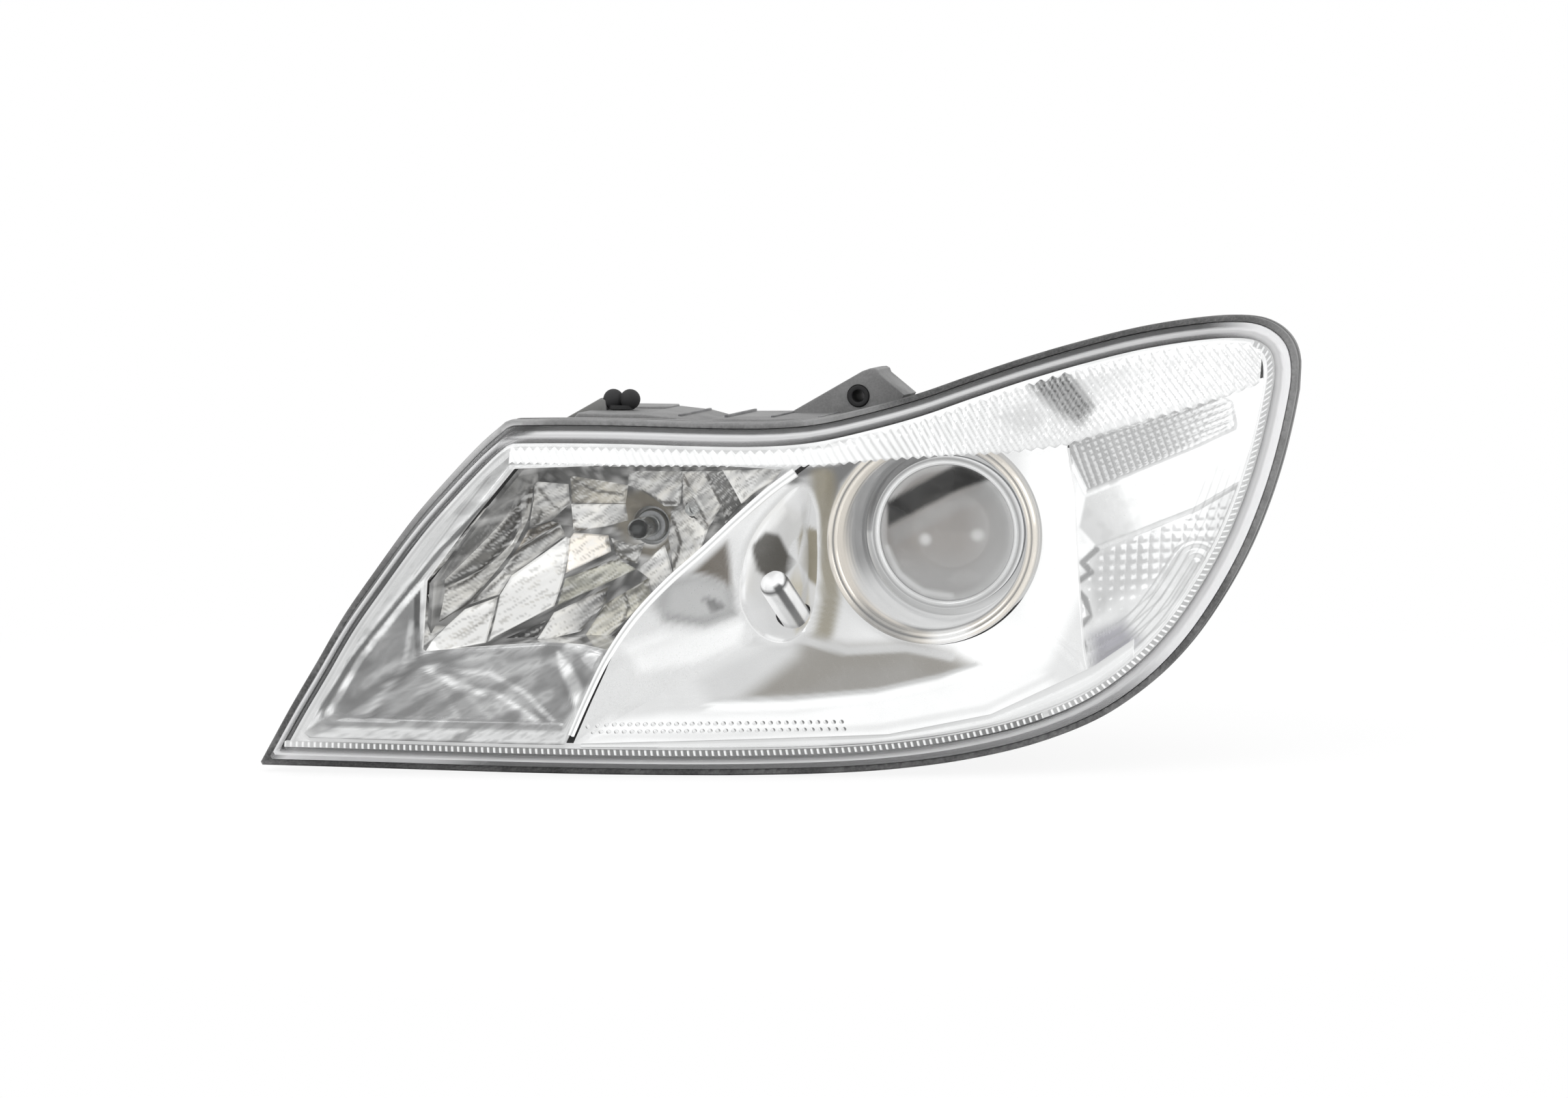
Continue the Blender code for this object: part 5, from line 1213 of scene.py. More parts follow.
# ---------------------------------------------------------------- bowl behind the turn bulb
BOWL_RAYS = star(TURN_MOUTH, TURN_CENTRE, 150)
BOWL_LAYERS = [
    (0, 232, 3, 1, [(-88, 2), (-79.3, 14.4), (-68.9, 21.2), (-64.5, 17.1), (-72, 7.5),
                    (-82.3, -2), (-87.7, -25.3), (-90.1, -30.8), (-89.6, -14.4)]),
    (0, (86, 84, 80), 3.0, 1, [(-85.3, -3.1), (-77.6, 3.8), (-70.7, 2.4), (-62.9, -12.7),
                               (-70.6, -20.9), (-76.2, -19.6), (-81.8, -15.5)]),
    (0, (139, 133, 117), 2.5, 1, [(-58.4, 7.6), (-50.1, 4.8), (-49, -14.3), (-47.1, -25.2),
                                  (-55.5, -19.8), (-62.5, -3.4)]),
    (0, (186, 181, 168), 3, 1, [(-66, -12), (-56, -22), (-55, -40), (-62, -46), (-66, -30)]),
    (0, 210, 3, 1, [(-90, -36), (-78, -34), (-74, -48), (-84, -50)]),
    (0, 214, 2.5, 1, [(-70, 21), (-61, 25), (-58, 12), (-64, 9)]),
    (1.2, 246, 1.0, 0.9, [(-63, 25), (-75, 13), (-84.6, -2), (-89.4, -18), (-89.4, -35),
                          (-82, -47), (-69, -50)]),
    (1.2, 190, 1.4, 0.8, [(-58, 16), (-57.4, 0), (-57.4, -24), (-60, -42)]),
]


def bowl_row(share, back=0.0):
    row = []
    for angle, far in BOWL_RAYS:
        x, z = Vector(polar(far * share + (2.4 if share >= 1 else 0.0), angle, TURN_CENTRE))
        rim = chamber_y(x, z) + 5.4
        y = rim if share >= 1 else rim + (-20 - rim) * (1 - share * share) ** 0.7
        row.append(Vector((x, y + back, z)))
    return row


def paint_bowl(x, y, z):
    """Painted slantwise, so that the layers shift with depth."""
    return Paint(x + (y + 62) * 0.249, z + (y + 62) * 0.087, 206).layers(BOWL_LAYERS).colours


BOWL = loft([bowl_row(s) for s in (0.35, 0.42, 0.5, 0.58, 0.65, 0.72, 0.79, 0.85, 0.9, 0.94,
                                   0.97, 0.99, 1.0)]
            + [bowl_row(s, 2.0) for s in (1.0, 0.94, 0.85, 0.72, 0.58, 0.35)])
piece("turn_reflector", cut(BOWL, turn_rod(8.6, 26, -16, 48)), "tone_soft", 40, paint=paint_bowl)


# ---------------------------------------------------------------- rings round the projector
def make_shroud():
    # (radius, depth, share of the mouth's tilt)
    profile = [(51.8, -33.2, 1), (51.9, -34.2, 1), (51.6, -35.4, 1), (50.9, -36.3, 1),
               (50.0, -36.9, 1), (49.2, -36.6, 1), (48.7, -35.9, 1), (48.5, -35.2, 1),
               (48.1, -35.9, 1), (47.5, -36.3, 1), (46.8, -36.0, 1), (46.2, -35.1, 1),
               (45.8, -33.8, 1), (45.3, -31.9, 1), (45.0, -31.0, 1), (44.6, -30.0, 1)]
    for k in range(1, 16):
        share = k / 16
        step = 0.22 if k % 2 else -0.1
        profile.append((44.6 + (41.6 - 44.6) * share + step, -30 + 32.0 * share, 1 - share))
    profile += [(41.6, 2, 0), (43.4, 2, 0), (45.2, -14, 0.5), (46.8, -27.5, 1), (50.6, -25.6, 1),
                (51.2, -29, 1)]
    rows = []
    for radius, y, tilt in profile:
        points = [polar(radius, -angle) for angle in turns(144)]
        rows.append([Vector((x, y + tilt * mouth_y(x, z), z)) for x, z in points])
    return loft(rows, closed=True)


def paint_shroud(x, y, z):
    radius = np.hypot(x, z)
    angle = np.degrees(np.arctan2(z, x))
    face = ramp(radius, 45, 46)
    wall = fall(radius, 44.2, 45.2)
    return (Paint(x, z, (224, 218, 209))
            # painted shade round the inner edge of the ring, and on the wall, darker above and
            # lighter below
            .over(fall(radius + 1.9 * ramp(-x, 0, 30), 45.2, 46.6), 150)
            .over(fall(radius, 42.6, 44.2) * ramp(-x, 10, 40) * 0.5, 108)
            .over(wall * ramp(z, -20, 20), 128)
            .over(wall * ramp(-z, 10, 30), 205)
            # painted shade in the groove in the face
            .over(fall(np.abs(radius - 48.6), 0.1, 0.8) * (radius > 46) * 0.9, 138)
            .over(ramp(radius, 51.0, 51.8) * 0.8, 160)
            .over(fall(np.abs(angle - 68), 6, 26) * face * 0.4, 150)
            .over(fall(np.abs(angle + 118), 8, 32) * face * 0.75, 136)
            .over(fall(np.abs(angle + 78), 6, 18) * face * 0.8, 236)).colours


piece("projector_shroud", make_shroud(), "tone", 36, paint=paint_shroud)


# ---------------------------------------------------------------- bands along the top and bottom
def flute(x, height):
    """Slanting flutes of the top band: 0 in a groove, 1 on a crest. They widen inboard."""
    return fold((x + 0.62 * height) / (2.7 + fall(x, -40, 10)))


def make_upper_trim():
    rows, steps, phase, pitch = [], 30, 0.0, 0.55
    for x in stations(-200.0, 149, pitch):
        # both long edges are toothed, with teeth that widen outboard
        phase += pitch / (4.1 + 1.5 * smooth((x + 200) / 330))
        low_line, high_line = along(BAND_LOW, x), band_edge_z(x, max)
        outboard = smooth((x + 40) / 50)
        low = low_line + 0.5 + 0.75 * (2 * fold(phase) - 1)
        high = high_line + 1.2 + 1.1 * (2 * fold(phase + 0.25) - 1)
        row = []
        for j in range(steps + 1):
            share = j / steps
            z = low + (high - low) * share
            height = (0.32 + 0.62 * outboard) * min(1, share * 9, (1 - share) * 9)
            if high_line - low_line < 22:
                height *= 0.55 + 0.45 * outboard
            step = 0.9 * smooth((share - 0.72) / 0.06) * (1 - outboard)
            cover = float(cover_y(x, z))
            row.append(pair(x, z, cover + 6.0 + height * flute(x, z - low_line) + step,
                            cover + 8.2))
        rows.append(row)
    return slab(rows)


def paint_band(x, y, z):
    height = z - np.interp(x, *zip(*BAND_LOW))
    crest = flute(x, height)
    patch = [(38, 80), (48, 88), (58, 86), (66, 76), (75, 64), (69, 55), (59, 60), (48, 70)]
    inside = ramp(side_distance(patch, x, z), -3, 4)
    speckle = ramp(np.sin(x * 2.1 + z * 0.7) * np.sin(x * 0.9 - z * 1.9), -0.35, 0.35)
    ledge = ramp(x, -200, -188) * fall(x, -52, -40) * ramp(height, 8.2, 9.4)
    return (Paint(x, z, 250)
            # painted shade in the flutes' grooves and painted highlights on their crests
            .over(fall(crest, 0.0, 0.6) * (0.18 + 0.62 * ramp(x, -60, 0)), 168)
            .over(ramp(crest, 0.7, 0.95) * 0.5 * ramp(x, -60, 0), 255)
            .over(ramp(x, -20, 60) * 0.6, 222)
            .over(fall(height, 0.2, 1.6) * 0.6, 176)
            .over(ledge * 0.75, 190)
            .over(inside * (0.62 + 0.38 * fall(crest, 0.25, 0.75)), 62)
            .over(inside * speckle * 0.45, 186)
            .layers([(0, 198, 6, 0.5, [(30, 60), (44, 66), (52, 58), (44, 50)])])
            .clouds(scale=30, amount=0.16, tone=205, seed=5.0)).colours


piece("upper_trim", make_upper_trim(), "tone", 24, paint=paint_band)


def make_lower_trim():
    rows, steps = [], 26
    for x in stations(-157.0, 98, 0.7):
        low, high = band_edge_z(x, min), along(RIB_HIGH, x)
        row = []
        for j in range(steps + 1):
            share = j / steps
            z = low + (high - low) * share
            cover = float(cover_y(x, z))
            ripple = 0.35 * fold(share * 3.0) * smooth((x + 20) / 25)
            row.append(pair(x, z, cover + 7.1 - 0.9 * (1 - abs(2 * share - 1) ** 4) + ripple,
                            cover + 8.2))
        rows.append(row)
    return slab(rows)


def bead_rows():
    """Two rows of small round studs low on the projector's surround, each sunk into it."""
    parts = []
    for row, row_z in enumerate((-88.4, -91.6)):
        for x in stations(-156.0 + 1.8 * row, -34, 3.7):
            z = row_z + 0.012 * (x + 100)
            relief = float(relief_bezel(np.array([x]), np.array([z]))[0])
            bm = bmesh.new()
            bmesh.ops.create_uvsphere(bm, u_segments=14, v_segments=8, radius=1.25 * MM)
            place = Vector((x, chamber_y(x, z) + relief + 0.15, z))
            bmesh.ops.translate(bm, vec=place * MM, verts=bm.verts)
            parts.append(solid(bm))
    return merged(parts)


def paint_beads(x, y, z):
    return Paint(x, z, 226).over(ramp(np.sin(x * 1.7 + z), -0.4, 0.6), 112).colours


def paint_lower(x, y, z):
    low = np.interp(x, np.linspace(-160, 100, 60),
                    [band_edge_z(float(v), min) for v in np.linspace(-157, 97.8, 60)])
    high = np.interp(x, *zip(*RIB_HIGH))
    share = (z - low) / np.maximum(high - low, 1e-6)
    return (Paint(x, z, 205)
            .over(fall(np.abs(share - 0.5), 0.05, 0.3) * 0.8, 244)
            .over(fall(share, 0.02, 0.16), 118)
            .over(ramp(share, 0.88, 0.99) * 0.8, 178)
            .over(ramp(x, 0, 60) * 0.5, 228)
            .layers([(0, 232, 3, 0.5, [(-120, -100), (-40, -98), (-40, -94), (-120, -96)])])
            ).colours


piece("lower_trim", make_lower_trim(), "tone", 26, paint=paint_lower)
piece("bezel", bead_rows(), "tone", 60, name="bezel_beads", paint=paint_beads)

KNURL_SETBACK = 7.8
KNURL_PITCH, KNURL_STEPS = 2.9, 8


def make_knurl(start, end):
    """A toothed strip that follows the inside of the cover's edge."""
    outer, inner = run(-3.7, start, end), run(-6.6, start, end)
    length = sum((q - p).length for p, q in zip(outer, outer[1:]))
    count = int(length / (KNURL_PITCH / KNURL_STEPS)) + 1
    outer, inner = [spread(line, count, 0.0, bend=0.0) for line in (outer, inner)]
    rows = []
    for k in range(count):
        tooth = max(0.0, math.cos(2 * math.pi * k / KNURL_STEPS)) ** 0.6
        row = []
        for share in (0.0, 0.12, 0.3, 0.5, 0.7, 0.88, 1.0):
            point = outer[k].lerp(inner[k], share)
            base = cover_y(point.x, point.y) + KNURL_SETBACK
            rise = 0.0 if share in (0.0, 1.0) else 1.0 * tooth
            row.append(pair(point.x, point.y, base - rise, base + 1.8))
        rows.append(row)
    return slab(rows)


def paint_teeth(light, dark):
    def paint(x, y, z):
        return (Paint(x, z, dark)
                # painted highlight on the raised teeth over a darker tone between them; near white
                # towards the inboard end
                .over(ramp(cover_y(x, z) + KNURL_SETBACK - y, 0.12, 0.75), light)
                .over(fall(x, -305, -250) * 0.6, 235)).colours
    return paint


for part, start, end, light, dark in (("lower", (60, -88), (-300, -103), 236, 128),
                                      ("side", (146, 98), (60.5, -87.5), 244, 176)):
    piece("lower_trim", make_knurl(start, end), "satin", 20, name=part + "_inner_knurl",
          paint=paint_teeth(light, dark))


# ---------------------------------------------------------------- strip between the chambers
def make_divider():
    # (distance across, depth): two rolls with a raised middle between them
    profile = ((-3.2, 1.9), (-3.1, 1.4), (-2.8, 0.7), (-2.4, 0.35), (-1.9, 0.25), (-1.4, 0.45),
               (-0.9, 1.0), (-0.45, 1.5), (0, 1.6), (0.45, 1.5), (0.9, 0.9), (1.4, 0.3),
               (1.9, 0.1), (2.4, 0.2), (2.8, 0.6), (3.1, 1.4), (3.2, 1.9), (3.1, 2.3),
               (-3.1, 2.3))
    line = spread([p for p in DIVIDER_LINE if -94 < p.y < 34], 110, 0.5)
    rows = []
    for i, point in enumerate(line):
        ahead = (line[min(i + 1, len(line) - 1)] - line[max(i - 1, 0)]).normalized()
        base = float(cover_y(point.x, point.y)) + 5.6
        width = 0.76 - 0.30 * i / len(line)
        rows.append([Vector((point.x - ahead.y * across * width, base + depth,
                             point.y + ahead.x * across * width)) for across, depth in profile])
    return loft(rows)


def paint_divider(x, y, z):
    distance = line_distance(DIVIDER_LINE[::2], x, z)
    return (Paint(x, z, 250).over(fall(distance, 0.1, 0.7) * 0.7, 176)
            .over(ramp(distance, 1.7, 2.3) * 0.6, 186)).colours


piece("divider_trim", make_divider(), "tone", 50, paint=paint_divider)

# ---------------------------------------------------------------- wing panels
WING = ([Vector((x, along(BAND_LOW, x) + 3.0)) for x in (63, 76, 89, 103, 117, 135, 150)]
        + run(-7.8, (158, 74), (92, -72))[::2]
        + [Vector(p) for p in ((78, -72), (75, -50), (72, -20), (70, 0), (68, 23))])
WING_CENTRE = Vector((108.0, 12.0))
UPPER_PANEL = [(60, 47.8), (75.6, 51.1), (95.5, 56.7), (118.6, 65.9), (129.7, 69.3),
               (136.7, 65.5), (139.8, 52.1), (121.2, 42.9), (72.9, 22.4)]
LOWER_PANEL = [(78.7, -4.1), (122.7, 13.9), (148.9, 30), (150.5, 20.2), (141.5, -3.7),
               (126.7, -27.3), (100.7, -52.9), (75.4, -73.7), (71.7, -61.5), (75.5, -37.6),
               (67.1, -22.9), (74.5, -11.1)]
PANEL_STRIP = [(72.9, 20.4), (121.2, 41), (140, 50.5), (148.8, 32.4), (138.1, 20.6),
               (121.7, 12.7), (78.7, -2.9), (71, 6)]
WING_RIB = [(77.3, -59.3), (96, -47.9), (112.3, -32.8), (123.9, -12.7)]
RIB_PITCH = 4.6


def pillow_cosines(x, z):
    """Cosines of the slanting grid of pillows on the upper panel."""
    return (np.abs(np.cos(math.pi * ((x * 0.93 + z * 0.37) / 3.1))),
            np.abs(np.cos(math.pi * ((-x * 0.37 + z * 0.93) / 3.1))))


def rib_side(x, z):
    """Distance from the wing's rib line, positive towards the lower outboard corner."""
    distance = line_distance(WING_RIB, x, z)
    corner = WING_RIB + [(160, -12), (160, -80), (77, -80)]
    return np.where(side_distance(corner, x, z) > 0, distance, -distance)


def relief_wing(x, z):
    upper, lower = side_distance(UPPER_PANEL, x, z), side_distance(LOWER_PANEL, x, z)
    first, second = pillow_cosines(x, z)
    side = rib_side(x, z)
    dimple = np.abs(np.cos(math.pi * (x / 5.0))) * np.abs(np.cos(math.pi * (z / 5.0)))
    return (0.8 * ramp(upper, -0.6, 2.0)
            - 0.55 * first ** 0.8 * second ** 0.8 * ramp(upper, 0.8, 3.0)
            + 1.1 * ramp(lower, -0.8, 2.2)
            + 0.8 * ramp(lower, 1, 2) * fold(side / RIB_PITCH) * ramp(side, -12, -8)
            - 0.3 * ramp(lower, 2, 4) * fall(side, -14, -9) * dimple)


def make_wing():
    shares = [0.01] + [0.03 + 0.94 * k / 95 for k in range(96)] + [0.985, 0.99]
    x, z = fan(WING_CENTRE, star(WING, WING_CENTRE, 440), 0.0, shares)
    base = cover_y(x, z) + 9
    relief = relief_wing(x, z)
    relief[-1] = 0
    front = base + np.minimum(relief, 3.4)
    return sheet(x, z, front, np.maximum(base + 2.2, front + 0.9),
                 range(len(shares) - 1, -1, -12), closed=False)


PANEL_LAYERS = [
    (0, 208, 1.6, 1, PANEL_STRIP),
    (0.5, 190, 1.0, 0.6, [(84, 26.4), (121.2, 41.9), (139.8, 51.2)]),
    (0.6, 176, 1.2, 0.7, [(78.7, -3.6), (121.7, 12.9), (138.1, 21.2), (148.8, 31)]),
    (0, 224, 3, 1, LOWER_PANEL),
    (0, 196, 8, 0.9, [(78.7, -6), (108, 6), (120, 0), (112, -18), (92, -26), (80, -36),
                      (76, -20)]),
    (0, (166, 165, 171), 9, 1, [(80, -66), (100, -50), (92, -40), (78, -46)]),
]
# Jagged inboard edge of the lower panel.
JAGGED_LAYER = [
    (1.6, 140, 1.2, 0.85, [(79, -5), (73, -11), (77, -16), (69, -22), (75, -29), (77, -37),
                           (72, -44), (75, -52), (72, -61), (76, -73)]),
]


def paint_wing(x, y, z):
    upper, lower = side_distance(UPPER_PANEL, x, z), side_distance(LOWER_PANEL, x, z)
    first, second = pillow_cosines(x, z)
    side = rib_side(x, z)
    grooves = fall(fold(side / RIB_PITCH), 0, 0.35) * 0.5 * ramp(lower, 0.5, 1.5)
    inside = side_distance(EDGE_POLY, x, z)
    zone = ramp(inside, 7, 9) * fall(inside, 22, 26) * fall(z, 20, 44) * ramp(x, 84, 100)
    return (Paint(x, z, 246)
            .layers([(0, 176, 5, 1, UPPER_PANEL)])
            .over(ramp(x, 100, 136) * ramp(upper, -0.5, 1) * 0.6, 232)
            .over(ramp(1 - first * second, 0.5, 0.95) * 0.45 * ramp(upper, 0.4, 1.4), 150)
            .layers(PANEL_LAYERS)
            .over(ramp(x, 112, 136) * ramp(lower, 0, 1) * 0.8, 178)
            .over(grooves * ramp(side, -12, -8), 158)
            .layers(JAGGED_LAYER)
            # arcs along the cover's edge
            .over(fall(fold(inside / 3.3), 0.05, 0.4) * zone * 0.6, 168)
            .clouds(scale=20, amount=0.10, tone=190, seed=9.0)
            .clouds(scale=5, amount=0.12, tone=150, seed=4.0)).colours


piece("side_reflector", make_wing(), "tone", 26, paint=paint_wing)


def seam_strip():
    """A bright backing behind the joint between the projector's surround and the wing; its pale
    tone paints out the shade in the joint.
    """
    joint = [(-73.5, 77.8), (-50, 75), (-20, 72), (0, 70), (23, 68), (44, 63)]      # (z, x)
    rows = []
    for k in range(61):
        z = -73.5 + 117.5 * k / 60
        row = []
        for across in (-3.2, -1.6, 0.0, 1.6, 3.2):
            x = along(joint, z) + across
            cover = float(cover_y(x, z))
            row.append(pair(x, z, cover + 11.9 + 0.25 * abs(across) / 3, cover + 13.4))
        rows.append(row)
    return slab(rows)


def paint_seam(x, y, z):
    return Paint(x, z, 238).clouds(scale=8, amount=0.2, tone=210, seed=6.1).colours


piece("side_reflector", seam_strip(), "tone", 40, name="wing_seam_strip", paint=paint_seam)


def rim_liner():
    """A light lip right inside the clear cover's wall, behind the edges of the bright pieces; its
    pale tones paint out the shade in the gaps between them.
    """
    # (offset from the cover's edge, depth behind the cover's surface)
    section = ((-3.7, 9.6), (-4.4, 8.9), (-5.6, 8.8), (-6.8, 9.4), (-8.8, 11.2), (-8.8, 12.2),
               (-5.6, 9.9), (-3.7, 10.8))
    return loft([ring(outline(offset), behind(depth)) for offset, depth in section], closed=True)


def paint_liner(x, y, z):
    inside = side_distance(EDGE_POLY, x, z)
    top = ramp(z - 0.2 * np.maximum(x, 0), 40, 50) * ramp(x, -206, -196)
    dashes = ramp(np.cos(x * 1.75), 0.1, 0.7) * fall(np.abs(inside - 6.0), 0.7, 1.3)
    return (Paint(x, z, 214)
            .over(fall(np.abs(inside - 5.2), 0.2, 0.7) * 0.5, 150)
            .over(top, 252)
            .over(top * fall(x, -60, 0) * dashes * 0.8, 172)
            .over(ramp(x, 20, 110) * 0.6, 236)
            .clouds(scale=14, amount=0.2, tone=170, seed=4.4)).colours


piece("bezel", rim_liner(), "tone_soft", 40, name="rim_liner", paint=paint_liner)

# ---------------------------------------------------------------- surround of the high-beam chamber
SURROUND_CENTRE = Vector((-165.0, -8.0))
SURROUND = ([p for p in beside(INBOARD_LINE, -8.0) if p.y > -94][::3]
            + run(-7.8, (-202, 50), (-60, 50))[::3]
            + [p for p in beside(DIVIDER_LINE, -1.0) if p.y > -98][::3]
            + run(-7.8, (-172, -106), (-292, -103.5))[::3])


def relief_surround(x, z):
    """Rails round the window, a groove below it and a rail up the inboard side."""
    outside = -side_distance(WINDOW, x, z)
    groove = [(-283, -85.4), (-240, -86.2), (-200, -86.6), (-167.5, -86.7)]
    rail = [(-283.2, -82.4), (-269.1, -57.6), (-250, -32), (-231, -5.5), (-214, 14), (-200, 30)]
    return (-0.8 * ramp(outside, 0.0, 0.8) * fall(outside, 1.6, 2.4)
            - 0.5 * ramp(outside, 5.2, 6.0) * fall(outside, 6.4, 7.2) * ramp(z, -50, -44)
            + 0.8 * fall(line_distance(groove, x, z), 0.4, 1.6)
            - 1.0 * fall(line_distance(rail, x, z), 0.8, 1.8))


def make_surround():
    rays = star(SURROUND, SURROUND_CENTRE, 420)
    window = [Vector(p) for p in WINDOW]
    near = np.array([reach(window, SURROUND_CENTRE, angle) for angle, _ in rays])
    shares = [0.0, 0.012, 0.03] + [0.05 + 0.92 * k / 47 for k in range(48)] + [0.985, 0.995, 1.0]
    x, z = fan(SURROUND_CENTRE, rays, near, shares, far_scale=0.995)
    share = np.array(shares)[:, None]
    setback = 15.0 + (8.0 - 15.0) * share
    setback = np.maximum(setback, setback + (11.0 - setback) * ramp(z, 29, 35))
    base = cover_y(x, z) + setback
    relief = relief_surround(x, z) * np.clip((1.0 - share) * 20, 0, 1)
    front = base + np.clip(relief, -(setback - 6.4), 2.0)
    return sheet(x, z, front, np.maximum(base + 2.2, front + 0.9),
                 (len(shares) - 1, 44, 34, 24, 14, 0))


SURROUND_LAYERS = [
    # below and inboard of the window
    (0, 142, 4, 1, [(-241.9, -25), (-237.3, -56.4), (-279, -85.6), (-262, -45)]),
    (0, 156, 4, 1, [(-241.9, -56), (-236, -54.6), (-206, -50), (-186.4, -88.7), (-283, -86.5)]),
    (0, 168, 8, 1, [(-222, -54), (-200, -50.5), (-171, -49), (-166, -60), (-186, -88),
                    (-206, -88)]),
    (0, 140, 5, 1, [(-178, -49), (-147.9, -57), (-165.8, -88.6), (-184, -88.7)]),
    (0, 112, 5, 0.95, [(-279, -85.6), (-262, -70), (-246, -62), (-238, -57.5), (-252, -80),
                       (-258, -86)]),
    (1.0, 249, 2.2, 1, [(-235.3, -61.1), (-226, -66.5), (-216.9, -71), (-200.3, -74.1),
                        (-177.9, -87.5)]),
    (0.9, 232, 1.4, 0.7, [(-236, -58), (-220, -63), (-204, -64), (-186, -73), (-172, -86)]),
    (0, 250, 3, 1, [(-172.4, -53), (-165.3, -59.7), (-158, -70.6), (-160.6, -80),
                    (-170.9, -60)]),
    (1.8, 78, 1.0, 0.95, [(-241.5, -24), (-241, -40), (-239.4, -56.5)]),
    (1.2, 120, 1.6, 0.8, [(-239, -58.4), (-232, -59), (-214, -55), (-200, -53.2)]),
    (0.8, 214, 1.6, 0.6, [(-243.5, -40), (-246, -62), (-262, -84)]),
    *((0.5, 205 if dx % 2 else 128, 1.6, 0.45, [(-236 + dx * 0.3, -60), (-232 + dx * 1.6, -85)])
      for dx in (0, 9, 19, 30)),
    # bottom rail
    (0, 178, 2, 1, [(-290, -94.9), (-167.2, -97), (-160, -110), (-300, -108)]),
    (0, 140, 2, 0.8, [(-283.1, -85.2), (-167.5, -86.7), (-166.5, -91), (-288, -90)]),
    (1.8, 214, 1.2, 1, [(-288, -92.6), (-167, -94.2)]),
    (1.0, 112, 1.0, 0.9, [(-290, -96.2), (-167, -98)]),
    # inboard rail
    (4.0, 196, 2.0, 1, [(-300, -95), (-284.5, -72), (-268, -46), (-250, -20), (-234, 0),
                        (-216, 22), (-205, 36)]),
    (1.6, 100, 1.2, 0.95, [(-283.2, -82.4), (-269.1, -57.6), (-250, -31), (-231, -5.5),
                           (-213, 15), (-198.3, 31.4)]),
    (1.6, 245, 1.0, 0.9, [(-279.2, -82.4), (-266.1, -57.6), (-247, -31), (-228.5, -6),
                          (-211, 13)]),
    # above the window
    (0, 159, 2.5, 1, [(-204, 36), (-150, 37.5), (-60, 38), (-55, 52), (-204, 52)]),
    (1.4, 246, 1.2, 1, [(-200, 34.4), (-150, 36.2), (-66, 37)]),
    # outboard of the window, beside the divider
    (2.2, 176, 2.0, 0.75, [(-70, 33), (-84, 19), (-99, 3.6), (-115, -12), (-130, -28.6),
                           (-143, -46), (-151, -58)]),
]


def paint_surround(x, y, z):
    low = fall(z + 0.05 * x, -62, -50)
    broad = streaks(x, z, drift=(0.05, 0.035), across=(0.5, 0.86), pitch=0.17, seed=2.0)
    fine = streaks(x, z, drift=(0.12, 0.09), across=(0.5, 0.86), pitch=0.55, seed=5.0)
    return (Paint(x, z, 222).layers(SURROUND_LAYERS)
            .clouds(scale=22, amount=0.14, tone=190, seed=1.7)
            # painted streaks of reflection, strongest low on the shelf
            .over(ramp(broad, 0.02, 0.45) * (0.30 + 0.30 * low), 104)
            .over(ramp(-broad, 0.05, 0.5) * (0.10 + 0.26 * low), 222)
            .over(ramp(np.abs(fine), 0.12, 0.4) * (0.10 + 0.24 * low), 118)).colours


piece("inner_bezel", make_surround(), "tone", 30, paint=paint_surround)

# ---------------------------------------------------------------- high-beam reflector
DISH = [Vector(p) for p in ((-198, 33.5), (-150, 34.5), (-100, 34.5), (-72, 33), (-78, 20),
                            (-91, 5), (-107, -11), (-122, -27), (-136, -43), (-143, -57),
                            (-161, -54), (-178, -53), (-211, -55), (-238, -57), (-238, -22),
                            (-217, 8))]
DISH_CENTRE = Vector(BEAM)
DISH_HOLE_R = 10
DISH_RAYS = star(DISH, DISH_CENTRE, 200)


def dish_depth(x, z):
    bowl = DISH_APEX_Y - ((x - BEAM[0]) ** 2 + (z - BEAM[1]) ** 2) / (4 * DISH_FOCUS)
    return max(bowl, float(cover_y(x, z)) + 28.5)


def dish_row(share, back=0.0, out=0.0, lip=False):
    """A ring of the dish. Out moves it outwards at the same depth; the lip stands in front."""
    row = []
    for angle, far in DISH_RAYS:
        radius = DISH_HOLE_R + (far - DISH_HOLE_R) * share
        x, z = Vector(polar(radius, angle, DISH_CENTRE))
        y = float(cover_y(x, z)) + 27 if lip else dish_depth(x, z)
        x, z = polar(radius + out, angle, DISH_CENTRE)
        row.append(Vector((x, y + back, z)))
    return row
